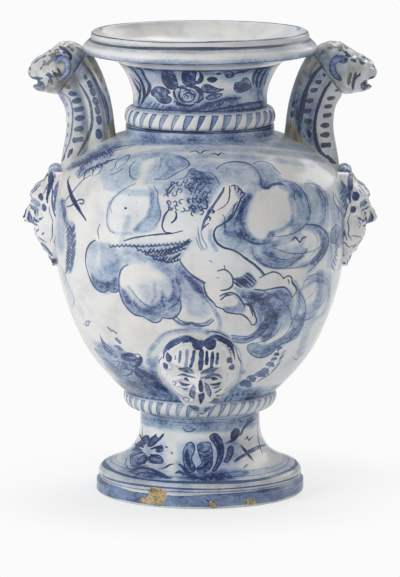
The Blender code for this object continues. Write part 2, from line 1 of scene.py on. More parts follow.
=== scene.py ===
"""Majolica amphora: glaze, painting and fine forms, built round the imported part.

Metres, +Z up. The front of the vessel faces -Y and its handles stand on +X and -X. The
painting is laid out in pixels of the photo's 400 x 577 frame, and is carried from there
onto the surfaces by the same camera that the stage sets up.
"""

import math

import bpy
import numpy as np
from bpy.props import FloatProperty, FloatVectorProperty, IntProperty, PointerProperty
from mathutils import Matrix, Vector, kdtree


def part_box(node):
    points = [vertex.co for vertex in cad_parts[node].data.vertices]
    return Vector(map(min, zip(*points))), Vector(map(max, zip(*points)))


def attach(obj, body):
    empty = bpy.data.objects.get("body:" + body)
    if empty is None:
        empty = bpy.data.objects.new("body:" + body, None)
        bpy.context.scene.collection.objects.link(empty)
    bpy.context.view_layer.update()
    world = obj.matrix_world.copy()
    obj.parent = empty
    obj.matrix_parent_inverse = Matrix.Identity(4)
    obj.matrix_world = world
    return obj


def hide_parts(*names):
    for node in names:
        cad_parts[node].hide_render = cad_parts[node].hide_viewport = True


bl_info = {
    "name": "Majolica Amphora",
    "version": (1, 0, 0),
    "blender": (4, 5, 0),
    "location": "View3D > Sidebar > Amphora",
    "description": "Builds a painted tin-glazed amphora round its packed frame",
    "category": "Add Mesh",
}

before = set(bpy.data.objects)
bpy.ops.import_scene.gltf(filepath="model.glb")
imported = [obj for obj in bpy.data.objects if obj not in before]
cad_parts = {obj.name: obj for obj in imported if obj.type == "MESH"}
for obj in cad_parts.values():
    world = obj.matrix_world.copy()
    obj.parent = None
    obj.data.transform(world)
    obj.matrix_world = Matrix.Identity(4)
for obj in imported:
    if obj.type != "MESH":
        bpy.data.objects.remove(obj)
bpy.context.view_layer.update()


def low(node):
    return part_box(node)[0].z


def high(node):
    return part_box(node)[1].z


def reach(node):
    """Largest radius of a turned node."""
    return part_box(node)[1].x


# Heights and radii that the frame gives
FOOT_RADIUS = reach("foot_plinth")
PLINTH_HEIGHT = high("foot_plinth")
PLINTH_TOP_RADIUS = reach("foot_stem")
STEM_Z = low("foot_stem")
STEM_TOP_Z = high("foot_stem")
BODY_RADIUS = reach("lower_body")
BOWL_Z = low("lower_body")
WIDEST_Z = (high("lower_body") + low("upper_body")) / 2
COLLAR_Z = high("upper_body")
NECK_Z = low("neck")
NECK_TOP_Z = high("neck")
NECK_TOP_RADIUS = reach("neck")
RIM_Z = low("rim")
RIM_TOP_Z = high("rim")
RIM_RADIUS = reach("rim")

# Sizes inside the nodes
WALL = 0.008
LUTE_GAP = 0.0003
THROWN_UNEVENNESS = 0.0003
TURNED_SHARP_ANGLE = math.radians(50)
CORD_SHARP_ANGLE = math.radians(60)
FLOOR_THICKNESS = 0.012
FLOOR_MIDDLE = 0.0001
FOOT_BAND_HEIGHT = 0.0128
FOOT_GROOVE_DEPTH = 0.004
FOOT_EDGE_ROUND = 0.0014
FOOT_ROLL_RADIUS = 0.1101
RESTING_WIDTH = 0.016
CHIP_DEPTH = 0.0009
CHIP_ROUGHNESS = 0.2
CHIP_GRAIN = 900
STEM_RADIUS = 0.0648
COLLAR_RADIUS = 0.0798
STEM_CORD_DROP = 0.004
STEM_CORD_BULGE = 0.0062
NECK_CORD_HEIGHT = 0.0192
NECK_CORD_FOOT = 0.004
NECK_CORD_BULGE = 0.0068
NOTCH_SLANT = 0.55
NECK_RADIUS = 0.072
LIP_RADIUS = 0.1172
LIP_THICKNESS = 0.0046
RIM_EDGE_DROP = 0.019
HANDLE_ROOT = Vector((0.1190, COLLAR_Z - 0.0437))
HEAD_ROOT = Vector((RIM_RADIUS + 0.0096, RIM_TOP_Z - RIM_EDGE_DROP - 0.0260))

# Outlines of the turned pieces, as shares of their growth in radius and in height
BOWL_SHAPE = [(0.0, 0.0), (0.165, 0.062), (0.305, 0.123), (0.541, 0.252), (0.734, 0.419), (0.908, 0.673)]
SHOULDER_SHAPE = [(0.972, 0.275), (0.852, 0.494), (0.484, 0.750), (0.177, 0.864), (0.022, 0.902), (0.0, 1.0)]
STEM_SHAPE = [
    (1.0, 0.0), (0.83, 0.041), (0.61, 0.097), (0.41, 0.168),
    (0.24, 0.263), (0.06, 0.46), (0.0, 0.70), (0.0, 1.0),
]
NECK_SHAPE = [(0.0, 0.0), (0.0, 0.36), (0.02, 0.50), (0.14, 0.62), (0.34, 0.75), (0.65, 0.89), (1.0, 1.0)]
# Rim, from the lip to the under edge: inset in shares of the ledge, drop in shares of the edge's drop
RIM_SHAPE = [
    (1.32, 0.0), (1.09, 0.095), (1.0, 0.274), (0.977, 0.40), (0.747, 0.50),
    (0.138, 0.774), (0.0, 1.0), (0.207, 1.179), (0.62, 1.274),
]
RIM_UNDERSIDE = [(0.53, 0.70), (0.19, 0.40), (0.0, 0.0)]
DISH_SHAPE = [(0.0, 0.0), (0.34, 0.253), (0.70, 0.531), (0.92, 0.798), (1.0, 0.97)]

# Handles with beast heads
HANDLE_WIDTH = 0.0510
HANDLE_THICKNESS = 0.0320
HANDLE_SWELL = 0.45
HEAD_LENGTH = 0.0525
HEAD_HEIGHT = 0.0570
HEAD_WIDTH = 0.0450
MOUTH_DEPTH = 0.0165
MOUTH_GAPE = 0.0095
MOUTH_DROP = 0.0103
HEAD_ROUNDNESS = 0.85
CROWN_NARROWING = 0.14
LEFT_HEAD_SHARE = 0.90
KNOB_HEIGHT = 0.0008
KNOB_PITCH = 0.0120
EAR_ROD_RADIUS = 0.0036
EAR_SPREAD = 0.0214
# Share of the run and of the rise to the head, width factor, slope in degrees
HANDLE_STATIONS = [
    (0.00, 0.00, 1.38, -22), (0.00, 0.19, 1.18, -15), (-0.07, 0.37, 1.03, -6), (-0.03, 0.52, 0.99, -5),
    (0.11, 0.66, 0.98, -12), (0.34, 0.78, 1.00, -24), (0.65, 0.895, 1.07, -40), (1.00, 1.00, 1.15, -54.4),
]
# Half of the fluted section: share of the half width, share of the half thickness
FLUTED_SECTION = [
    (1.00, 0.00), (0.97, 0.42), (0.83, 0.66), (0.66, 0.92), (0.44, 1.00), (0.22, 0.92), (0.06, 0.72),
    (-0.10, 0.92), (-0.30, 0.98), (-0.50, 0.90), (-0.64, 0.66), (-0.78, 0.78), (-0.92, 0.56), (-1.00, 0.20),
]
# Forward and upward shares of crown line and jaw line, share of the half width
HEAD_STATIONS = [
    (-0.324, 0.400, 0.324, -0.390, 0.60), (-0.086, 0.549, 0.371, -0.412, 0.82),
    (0.162, 0.593, 0.448, -0.407, 0.99), (0.352, 0.540, 0.543, -0.389, 1.02),
    (0.524, 0.432, 0.657, -0.372, 0.96), (0.686, 0.352, 0.771, -0.351, 0.83),
    (0.838, 0.277, 0.867, -0.319, 0.69), (0.943, 0.198, 0.933, -0.258, 0.55),
    (0.992, 0.102, 0.981, -0.126, 0.36),
]
# Rises and hollows on both flanks of a head: forward and upward shares, spread, height (metres)
HEAD_MOUNDS = [
    (0.40, 0.36, 0.0070, 0.0030), (0.58, 0.235, 0.0050, 0.0027), (0.545, 0.10, 0.0046, -0.0032),
    (0.52, 0.10, 0.0021, 0.0028), (0.42, -0.08, 0.0085, 0.0030), (0.86, 0.17, 0.0040, 0.0022),
    (0.935, 0.12, 0.0017, -0.0030), (0.80, -0.04, 0.0050, 0.0022), (0.86, -0.27, 0.0040, 0.0016),
    (0.18, 0.42, 0.0050, 0.0022), (0.66, -0.05, 0.0034, -0.0016),
]
# Forward and upward shares from the middle of the head's root, thickness factor
EAR_PATH = [
    (0.345, 0.28, 1.25), (0.235, 0.31, 1.15), (0.140, 0.235, 1.05), (0.115, 0.115, 1.00),
    (0.155, 0.005, 0.90), (0.260, -0.075, 0.75), (0.390, -0.085, 0.50),
]

# Moulded masks
MASK_HEIGHT = 0.1060
MASK_WIDTH = 0.0900
MASK_RELIEF = 0.0340
MASK_SINK = 0.0025
SIDE_MASK_Z = low("left_mask")
MASK_CENTRE = 0.51
FRONT_MASK_OVERHANG = 0.0052
FRONT_MASK_LIFT = 0.0050
CHIN_DROP = 0.0035
CHIN_FORWARD = 0.0040
SIDE_STROKE_SHARE = 0.55
CURL_RADIUS = 0.0078
CURL_LENGTH = 0.0360
CURL_SINK = 0.0025
# Radii from the bridge of the nose, by degrees from the top, in shares of the height
MASK_OUTLINE = [
    (0, 0.415), (20, 0.507), (38, 0.498), (70, 0.450), (92, 0.405), (116, 0.386), (140, 0.392), (162, 0.441),
    (180, 0.510),
]
# Relief down the middle of the mask without its nose, and of the nose, by share of the height
FACE_RELIEF = [
    (0.0, 0.10), (0.09, 0.36), (0.2, 0.50), (0.33, 0.60), (0.46, 0.64), (0.55, 0.60), (0.66, 0.58),
    (0.76, 0.74), (0.82, 0.68), (0.9, 0.42), (1.0, 0.16),
]
NOSE_RELIEF = [
    (0.43, 0.0), (0.47, 0.32), (0.50, 0.38), (0.56, 0.33), (0.64, 0.20), (0.72, 0.08), (0.76, 0.0),
]
NOSE_BREADTH = 0.17
# How far the jaw of a side mask slopes back, by share of the height
SIDE_JAW = [(0.0, 0.35), (0.1, 0.55), (0.2, 0.77), (0.34, 0.975), (1.0, 0.975)]
# Hollow of an eye and ridge of a brow: relief, place across and up, spread across and up
EYE_HOLLOW = (-0.10, 0.38, 0.655, 0.17, 0.055)
BROW_RIDGE = (0.08, 0.36, 0.745, 0.22, 0.04)
EDGE_RELIEF = 0.12
# Raised and cut strokes on both halves of a mask: places across and up, half width and height, all in mm
MASK_STROKES = [
    ([(5, 57), (12, 60), (20, 58.5), (27, 53)], 3.4, 1.7),
    ([(7.5, 48.6), (13.5, 51), (20, 50), (25, 46)], 1.5, 1.3),
    ([(9, 41.5), (14.5, 39.6), (20, 41), (25, 45)], 1.4, 1.1),
    ([(15, 45.2), (17.5, 45.2)], 3.6, 1.9),
    ([(3, 24.5), (7.5, 22.5), (10.5, 25.5), (8, 29.5)], 2.8, 1.9),
    ([(4.5, 20.8), (8.0, 20.2)], 1.5, -1.6),
    ([(0, 17.6), (7, 17.8), (14, 15.2), (18.5, 17.5)], 2.0, 1.6),
    ([(0, 13.6), (8, 13.4), (15.5, 12.6)], 1.5, -1.8),
    ([(0, 9.8), (8, 9.4), (13.5, 11.2)], 1.9, 1.5),
    ([(0, 5.0), (6, 4.6), (11, 6.4)], 3.0, 1.0),
    ([(20, 33), (27, 38), (31, 45)], 4.2, 1.3),
    ([(11, 30), (17, 27), (21, 20)], 1.6, -0.9),
    ([(3, 95), (10, 99), (19, 98), (27, 92.5), (32, 84), (34, 75)], 3.0, 2.0),
    ([(34, 75), (31.5, 69.5), (35, 65), (38.5, 62)], 3.2, 2.1),
    ([(36, 58), (37.5, 48), (36.5, 38), (32, 27), (25, 16), (17, 7)], 2.4, 1.4),
    ([(2, 68), (2.4, 80)], 1.2, -0.9), ([(8, 68), (9, 82)], 1.2, -0.9), ([(14, 67), (16, 80)], 1.2, -0.9),
    ([(20, 66), (23.5, 76)], 1.2, -0.9),
]
MASK_SKIRT = 0.0180
SKIRT_ROWS = 9
SKIRT_FLARE = 0.06

# How deep applied pieces reach into what they sit on, and the spacing of the outlines that seat them
BODY_SEAT = 0.003
RIM_SEAT = 0.002
SEAT_SPACING = 0.002

# Camera that the photo was taken with, and how its frame maps to it
PHOTO_HEIGHT = 577
VIEW_TARGET = Vector((0.0, 0.0, 0.2592))
VIEW_DISTANCE = 4.644
VIEW_ELEVATION = math.radians(8.6)
VIEW_FOCUS = 4300
VIEW_CENTRE = (199.8, 252.5)
SENSOR = 36.0

# Vertices on the back half of a turned piece stand this much further apart
BACK_COARSENESS = 1.5

# Colour of the studio paper, and how far from the vessel its plain part starts and is full
PAPER = (0.965, 0.965, 0.965)
FLOOR_NEAR = 0.12
FLOOR_FAR = 0.30
FLOOR_SHADE = (0.88, 0.88, 0.89)
ROOM_COLOUR = (0.97, 0.98, 1.0, 1.0)
ROOM_STRENGTH = 0.38
LIGHT_AIM = (0.0, 0.0, 0.26)
# Lights: name, place, width and height, watts, colour, whether the glaze mirrors it
LIGHTS = [
    ("key_softbox", (-2.3, -1.5, 1.7), (1.3, 1.6), 50.0, (1.0, 0.995, 0.985), False),
    ("front_softbox", (0.9, -2.6, 1.9), (0.5, 0.6), 7.0, (0.99, 0.995, 1.0), False),
    ("right_window", (1.7, 1.5, 1.5), (1.5, 1.3), 10.0, (1.0, 1.0, 1.0), True),
    ("top_softbox", (0.3, 1.0, 2.3), (1.4, 1.0), 18.0, (1.0, 1.0, 1.0), True),
]

LAYERS = ("wash", "stroke", "stroke_tone", "line", "line_tone", "bare", "stain")
EDGE_RAMP = 0.0016

# Painted levels waver up and down, and their edges are ragged by this much at most
LEVEL_WAVE = 0.0006
RAGGED_LIMIT = 0.0005
# Depth of the blue in the cords' notches, and of the weathering on handles and heads
STEM_CORD_TONE = 0.54
NECK_CORD_TONE = 0.82
WEATHERING = 0.20


def catmull(points, spans):
    """Smooth curve through points of any dimension, with `spans` steps between neighbours."""
    points = np.asarray(points, float)
    run = np.vstack([2 * points[0] - points[1], points, 2 * points[-1] - points[-2]])
    t = (np.arange(spans) / spans)[None, :, None]
    a, b, c, d = (run[i : len(run) - 3 + i][:, None, :] for i in range(4))
    bend = 2 * a - 5 * b + 4 * c - d
    twist = 3 * b - a - 3 * c + d
    curve = 0.5 * (2 * b + (c - a) * t + bend * t**2 + twist * t**3)
    return np.vstack([curve.reshape(-1, points.shape[1]), points[-1:]])


def spaced(curve, step):
    """The same curve with its points about `step` apart."""
    curve = np.asarray(curve, float)
    run = np.concatenate([[0.0], np.cumsum(np.linalg.norm(np.diff(curve, axis=0), axis=1))])
    count = max(2, int(round(run[-1] / step)) + 1)
    places = np.linspace(0.0, run[-1], count)
    return np.stack([np.interp(places, run, column) for column in curve.T], axis=1)


def smoothstep(low_edge, high_edge, value):
    t = np.clip((value - low_edge) / (high_edge - low_edge), 0.0, 1.0)
    return t * t * (3 - 2 * t)


def offset_curve(outline, distance):
    """Moves an outline that runs downwards out by `distance`, or in where it is negative."""
    ahead = np.gradient(outline, axis=0)
    ahead /= np.linalg.norm(ahead, axis=1)[:, None]
    return outline + np.stack([-ahead[:, 1], ahead[:, 0]], axis=1) * distance


def grown(shape, radii, heights):
    """Points (radius, height) of a table of shares between two radii and two heights."""
    shape = np.array(shape)
    radius = radii[0] + (radii[1] - radii[0]) * shape[:, 0]
    height = heights[0] + (heights[1] - heights[0]) * shape[:, 1]
    return np.stack([radius, height], axis=1)


def grid_mesh(name, points, closed_rows=False, closed_columns=True, caps=True):
    """Mesh over a grid of points, closed round its columns and capped at its two end rows."""
    rows, columns = points.shape[:2]
    index = np.arange(rows * columns).reshape(rows, columns)
    wide = np.hstack([index, index[:, :1]]) if closed_columns else index
    wide = np.vstack([wide, wide[:1]]) if closed_rows else wide
    quads = np.stack([wide[:-1, :-1], wide[1:, :-1], wide[1:, 1:], wide[:-1, 1:]], axis=-1).reshape(-1)
    starts = list(range(0, len(quads), 4))
    if caps and not closed_rows:
        starts += [len(quads), len(quads) + columns]
        quads = np.concatenate([quads, index[0], index[-1][::-1]])
    mesh = bpy.data.meshes.new(name)
    mesh.vertices.add(rows * columns)
    mesh.vertices.foreach_set("co", points.reshape(-1).astype(np.float32))
    mesh.loops.add(len(quads))
    mesh.loops.foreach_set("vertex_index", quads.astype(np.int32))
    mesh.polygons.add(len(starts))
    mesh.polygons.foreach_set("loop_start", np.array(starts, np.int32))
    mesh.update(calc_edges=True)
    mesh.validate()
    mesh.shade_smooth()
    return mesh


def face_angles(spacing):
    """Angles round the axis for a turned grid: finer on the front half, with a column on each side."""
    front = max(12, int(round(BODY_RADIUS * math.pi / spacing)))
    back = max(8, int(round(front / BACK_COARSENESS / 2))) * 2
    quarter = math.pi / 2
    left = np.linspace(-math.pi, -quarter, back // 2, endpoint=False)
    middle = np.linspace(-quarter, quarter, front, endpoint=False)
    right = np.linspace(quarter, math.pi, back // 2, endpoint=False)
    return np.concatenate([left, middle, right])


def turned_points(outline, angles):
    """Grid of an outline turned about the axis. Angle 0 is the front, at -Y, and 90 degrees is +X."""
    radius, height = outline[:, 0:1], outline[:, 1:2]
    x = radius * np.sin(angles)
    y = -radius * np.cos(angles)
    return np.stack([x, y, np.broadcast_to(height, x.shape)], axis=-1)


def bake_layout(mesh, rows, angles, outer_rows, row_places):
    """UV map of a turned piece: outer front half, outer back half and inner side, one strip each."""
    layout = mesh.uv_layers.new(name="OFBake")
    columns = len(angles)
    shares = np.append(angles, math.pi) / math.tau
    faces = np.arange(rows * columns)
    row, column = faces // columns, faces % columns
    across = shares[column[:, None] + np.array([0, 0, 1, 1])]
    down = row_places[np.minimum(row[:, None] + np.array([0, 1, 1, 0]), len(row_places) - 1)]
    outer = (row < outer_rows)[:, None]
    middle = shares[column] + 0.5 / columns
    front = (np.abs(middle) < 0.25)[:, None]
    behind = np.where(middle > 0, 0.0, 1.0)[:, None]
    border = row_places[outer_rows]
    inner_share = 0.12
    outer_share = (1 - inner_share) / 2
    u = np.where(outer, np.where(front, across + 0.25, across + behind - 0.25) * 2, across + 0.5)
    v_outer = np.where(front, 0.0, outer_share) + down / border * outer_share * 0.995
    v_inner = 1 - inner_share + (down - border) / max(1 - border, 1e-6) * inner_share * 0.99
    corners = np.full((len(mesh.loops), 2), 0.999, np.float32)
    corners[: u.size, 0] = u.reshape(-1) * 0.998 + 0.001
    corners[: u.size, 1] = np.where(outer, v_outer, v_inner).reshape(-1) * 0.998 + 0.001
    layout.data.foreach_set("uv", corners.reshape(-1))


class Canvas:
    """Vertices of one or more meshes that take paint and relief together."""

    def __init__(self, *meshes, turned=False):
        self.meshes = meshes
        self.points = np.vstack([vertex_values(mesh, "co") for mesh in meshes])
        self.normals = np.vstack([vertex_values(mesh, "normal") for mesh in meshes])
        self.outer = np.ones(len(self.points), bool)
        if turned:
            outward = (self.normals[:, :2] * self.points[:, :2]).sum(1)
            self.outer = outward > -0.25 * np.linalg.norm(self.points[:, :2], axis=1)
        self.layers = {name: np.zeros(len(self.points)) for name in LAYERS}

    def eye(self, azimuth):
        """View from one side, in the frame's pixels, of the vertices that face it."""
        turn = math.radians(azimuth)
        along, across = math.cos(turn), math.sin(turn)
        spin = np.array([[along, -across, 0], [across, along, 0], [0, 0, 1]])
        back = np.array([0.0, -math.cos(VIEW_ELEVATION), math.sin(VIEW_ELEVATION)])
        facing = (self.normals @ spin) @ back
        return self.view(to_photo(self.points @ spin), facing > 0.02)

    def view(self, flat, shown):
        """Flat coordinates of the vertices that show, and a tree that finds what lies under a place."""
        shown = np.nonzero(self.outer & shown)[0]
        tree = kdtree.KDTree(len(shown))
        for index, place in zip(shown.tolist(), flat[shown].tolist()):
            tree.insert((place[0], place[1], 0.0), index)
        tree.balance()
        return tree, shown, flat[shown]

    def locate(self, tree, places):
        """Surface points under places of a view."""
        found = []
        for x, y in places:
            near = tree.find_n((x, y, 0.0), 4)
            weights = np.array([1.0 / (distance + 0.05) ** 2 for _, _, distance in near])
            spots = self.points[[index for _, index, _ in near]]
            found.append((spots * weights[:, None]).sum(0) / weights.sum())
        return np.array(found)

    def near(self, path, margin):
        """Vertices in the box round a path."""
        lowest, highest = path.min(0) - margin, path.max(0) + margin
        keep = self.outer & (self.points[:, 2] > lowest[2]) & (self.points[:, 2] < highest[2])
        kept = np.nonzero(keep)[0]
        points = self.points[kept]
        return kept[((points > lowest) & (points < highest)).all(1)]

    def soak(self, layer, chosen, cover):
        """Soft cover from 0 to 1 that builds up over what a layer holds."""
        values = self.layers[layer]
        values[chosen] = 1 - (1 - values[chosen]) * (1 - cover)

    def edge(self, layer, chosen, gap, tone):
        """Cover with a crisp edge, from signed distances in metres, and its tone."""
        cover = np.clip(0.5 + gap / EDGE_RAMP, 0.0, 1.0)
        values = self.layers[layer]
        ahead = cover > values[chosen]
        values[chosen[ahead]] = cover[ahead]
        if f"{layer}_tone" in self.layers:
            tones = self.layers[f"{layer}_tone"]
            ahead |= tones[chosen] == 0
            tones[chosen[ahead]] = np.broadcast_to(tone, gap.shape)[ahead]

    def carve(self, layer, depth):
        """Sinks the surface under a layer's cover."""
        grain = np.sin(CHIP_GRAIN * self.points).prod(1)
        cover = self.layers[layer] * (1 - CHIP_ROUGHNESS + CHIP_ROUGHNESS * grain)
        sunk = self.points - self.normals * (depth * cover)[:, None]
        start = 0
        for mesh in self.meshes:
            stop = start + len(mesh.vertices)
            mesh.vertices.foreach_set("co", sunk[start:stop].astype(np.float32).ravel())
            mesh.update()
            start = stop

    def commit(self):
        """Writes the layers to the meshes as point attributes."""
        start = 0
        for mesh in self.meshes:
            stop = start + len(mesh.vertices)
            for name, values in self.layers.items():
                attribute = mesh.attributes.new(name, "FLOAT", "POINT")
                attribute.data.foreach_set("value", values[start:stop].astype(np.float32))
            start = stop


class Sheet:
    """Part of the photo's frame, enlarged. Motifs are laid out on it and scaled to the frame's pixels."""

    def __init__(self, left, top, scale, mirrored=False):
        self.corner = np.array([left, top], float)
        self.scale = scale
        self.mirrored = mirrored

    def pixels(self, places):
        pixels = self.corner + np.array(places, float) / self.scale
        if self.mirrored:
            pixels[:, 0] = 2 * VIEW_CENTRE[0] - pixels[:, 0]
        return pixels

    def behind(self):
        """The same sheet for a motif that is repeated on the back."""
        return Sheet(*self.corner, self.scale, True)


class Pen:
    """Brush that paints motifs on a canvas through one of its views."""

    def __init__(self, canvas, view, sheet, seed, step=2.0, width=1.0):
        self.canvas = canvas
        self.tree, self.shown, self.flat = view
        self.sheet = sheet
        self.chance = np.random.default_rng(seed)
        self.step = step
        self.width = width

    def path(self, places):
        """Smooth path through places, in the view's flat coordinates."""
        curve = self.sheet.pixels(places) if self.sheet else np.array(places, float)
        if len(curve) > 2:
            curve = catmull(curve, 6)
        return spaced(curve, self.step)

    def trail(self, kind, width, tone, places, pressure):
        """Stroke or line whose width follows the pressure along it and wavers a little."""
        path = self.canvas.locate(self.tree, self.path(places))
        share = np.linspace(0.0, 1.0, len(path))
        half = np.interp(share, np.linspace(0.0, 1.0, len(pressure)), pressure) * width * self.width / 2000
        half *= 1 + 0.16 * np.sin(share * self.chance.uniform(5, 14) + self.chance.uniform(0, 6))
        chosen = self.canvas.near(path, width * self.width / 2000 + 2 * EDGE_RAMP)
        gap = stroke_distance(self.canvas.points[chosen], path, half)
        self.canvas.edge(kind, chosen, gap, tone)

    def line(self, width, tone, places):
        """Thin line, its width in millimetres."""
        self.trail("line", width, tone, places, (0.75, 1.0, 0.95, 1.0, 0.6))

    def stroke(self, width, tone, places):
        """Brush stroke that swells from a fine start and lifts off again."""
        self.trail("stroke", width, tone, places, (0.45, 0.85, 1.0, 0.9, 0.35))

    def dab(self, width, tone, places):
        """Short full stroke with round ends."""
        self.trail("stroke", width, tone, places, (0.85, 1.0, 0.9))

    def band(self, width, cover, places):
        """Soft wash along a path, its width in the view's units."""
        path = self.path(places)
        chosen, flat = self.around(path, width)
        gap = stroke_distance(flat, path, np.zeros(len(path)))
        self.canvas.soak("wash", chosen, cover * smoothstep(-width / 2 * 1.25, -width / 2 * 0.45, gap))

    def shade(self, width, cover, places):
        """Wash with a crisp edge on the path that thins out to its left, seen along the path."""
        path = self.path(places)
        chosen, flat = self.around(path, width)
        along = np.gradient(path, axis=0)
        nearest = np.argmin(((flat[:, None] - path[None]) ** 2).sum(-1), axis=1)
        offset = flat - path[nearest]
        heading = along[nearest] / np.linalg.norm(along[nearest], axis=1)[:, None]
        left = heading[:, 1] * offset[:, 0] - heading[:, 0] * offset[:, 1]
        if self.sheet and self.sheet.mirrored:
            left = -left
        away = np.linalg.norm(offset, axis=1) * np.where(left > 0, 1.0, -1.0)
        fade = smoothstep(-0.8, 0.3, away) * (1 - smoothstep(0.1 * width, width, away))
        self.canvas.soak("wash", chosen, cover * fade)

    def around(self, path, margin):
        lowest, highest = path.min(0) - margin, path.max(0) + margin
        keep = np.nonzero(((self.flat > lowest) & (self.flat < highest)).all(1))[0]
        return self.shown[keep], self.flat[keep]

    def fill(self, softness, cover, places, layer="wash"):
        """Area within an outline, its edge soft over the view's units."""
        outline = self.path([*places, places[0]])
        chosen, flat = self.around(outline, softness)
        gap = -stroke_distance(flat, outline, np.zeros(len(outline)))
        inside = np.zeros(len(flat), bool)
        for (x0, y0), (x1, y1) in zip(outline, outline[1:]):
            if y0 != y1:
                level = (flat[:, 1] >= min(y0, y1)) & (flat[:, 1] < max(y0, y1))
                inside ^= level & (flat[:, 0] < x0 + (flat[:, 1] - y0) * (x1 - x0) / (y1 - y0))
        gap = np.where(inside, gap, -gap)
        self.canvas.soak(layer, chosen, cover * smoothstep(-softness / 2, softness / 2, gap))

    def petal(self, width, tone, places):
        """Filled leaf or petal with a darker outline; places run round it."""
        self.fill(1.0, min(1.0, tone * 1.05), places)
        self.line(width, min(1.0, tone * 1.35), [*places, places[0]])

    def curl(self, size, tone, places):
        """Small open curls of hair or ribbon at each place."""
        for x, y in places:
            start = self.chance.uniform(0, math.tau)
            sweep = self.chance.choice((-1, 1)) * self.chance.uniform(3.6, 5.2)
            spiral = []
            for share in range(7):
                angle = start + sweep * share / 6
                radius = size * (0.4 + 0.6 * share / 6)
                spiral.append((x + radius * math.cos(angle), y + radius * math.sin(angle)))
            self.line(1.15, tone, spiral)

    def feathers(self, size, tone, places):
        """Row of scalloped feather tips along a path."""
        row = spaced(catmull(places, 6), size * 1.05)
        for x, y in row:
            lean = self.chance.uniform(-0.25, 0.25) * size
            left, low_point = (x - size / 2, y - 0.2 * size), (x - 0.2 * size + lean, y + size / 2)
            self.line(1.2, tone, [left, low_point, (x + size / 2, y - 0.1 * size)])

    def hatch(self, width, tone, places, length, lean, gap):
        """Short parallel strokes along a path, each `length` long and leaning by `lean`."""
        for x, y in spaced(catmull(places, 6), gap):
            shift = self.chance.uniform(-0.15, 0.15) * length
            foot = (x - lean * length / 2, y + length / 2 + shift)
            head = (x + lean * length / 2, y - length / 2 + shift)
            self.stroke(width, tone * self.chance.uniform(0.8, 1.1), [foot, head])

    def draw(self, motifs):
        """Paints a table of motifs, each a method's name and what it takes."""
        for kind, *rest in motifs:
            getattr(self, kind)(*rest)


def vertex_values(mesh, field):
    values = np.empty(len(mesh.vertices) * 3, np.float32)
    mesh.vertices.foreach_get(field, values)
    return values.reshape(-1, 3).astype(float)


def to_photo(points):
    """Pixels of the photo's frame where points show."""
    rise, fall = math.cos(VIEW_ELEVATION), math.sin(VIEW_ELEVATION)
    height = points[:, 2] - VIEW_TARGET.z
    depth = VIEW_DISTANCE + points[:, 1] * rise - height * fall
    up = height * rise + points[:, 1] * fall
    x = VIEW_CENTRE[0] + VIEW_FOCUS * points[:, 0] / depth
    y = VIEW_CENTRE[1] - VIEW_FOCUS * up / depth
    return np.stack([x, y], axis=1)


class Socket:
    """A shader socket that takes part in Python expressions."""

    def __init__(self, graph, socket):
        self.graph = graph
        self.socket = socket

    def math(self, operation, *others):
        inputs = {0: self, **dict(enumerate(others, 1))}
        return self.graph.node("ShaderNodeMath", {"operation": operation}, inputs)

    def __add__(self, other):
        return self.math("ADD", other)

    __radd__ = __add__

    def __mul__(self, other):
        return self.math("MULTIPLY", other)

    __rmul__ = __mul__

    def __sub__(self, other):
        return self.math("SUBTRACT", other)

    def __rsub__(self, other):
        return self.graph.node("ShaderNodeMath", {"operation": "SUBTRACT"}, {0: other, 1: self})

    def over(self, other):
        """Cover of two layers laid on each other."""
        return 1 - (1 - self) * (1 - other)

    def step(self, start, stop):
        """Smooth step from 0 to 1 between two values."""
        settings = {"interpolation_type": "SMOOTHSTEP"}
        inputs = {"Value": self, "From Min": start, "From Max": stop, "To Min": 0.0, "To Max": 1.0}
        return self.graph.node("ShaderNodeMapRange", settings, inputs)


class Graph:
    """Node tree of a material."""

    def __init__(self, name):
        self.material = bpy.data.materials.new(name)
        self.material.use_nodes = True
        self.tree = self.material.node_tree
        self.tree.nodes.clear()

    def node(self, kind, settings=None, inputs=None, output=0):
        """Adds a node: its settings first, then the values or links of its sockets."""
        node = self.tree.nodes.new(kind)
        for name, value in (settings or {}).items():
            if name == "stops":
                self.set_stops(node.color_ramp, value)
            else:
                setattr(node, name, value)
        for name, value in (inputs or {}).items():
            if isinstance(value, Socket):
                self.tree.links.new(value.socket, node.inputs[name])
            else:
                node.inputs[name].default_value = value
        return Socket(self, node.outputs[output]) if node.outputs else node

    def set_stops(self, ramp, stops):
        while len(ramp.elements) > len(stops):
            ramp.elements.remove(ramp.elements[-1])
        while len(ramp.elements) < len(stops):
            ramp.elements.new(1.0)
        for element, (place, colour) in zip(ramp.elements, stops):
            element.position = place
            element.color = (*colour, 1.0)

    def mix(self, factor, first, second):
        """Colour between two colours."""
        sockets = {0: factor, 6: opaque(first), 7: opaque(second)}
        return self.node("ShaderNodeMix", {"data_type": "RGBA"}, sockets, output=2)

    def multiply(self, factor, first, second):
        settings = {"data_type": "RGBA", "blend_type": "MULTIPLY"}
        return self.node("ShaderNodeMix", settings, {0: factor, 6: first, 7: second}, output=2)

    def attribute(self, name):
        return self.node("ShaderNodeAttribute", {"attribute_name": name}, output="Fac")

    def noise(self, vector, scale, detail=2.0, roughness=0.5, distortion=0.0):
        inputs = {
            "Vector": vector, "Scale": scale, "Detail": detail,
            "Roughness": roughness, "Distortion": distortion,
        }
        return self.node("ShaderNodeTexNoise", None, inputs)

    def stretched(self, vector, scale):
        return self.node("ShaderNodeMapping", None, {"Vector": vector, "Scale": scale})


def opaque(colour):
    return colour if isinstance(colour, Socket) else (*colour, 1.0)


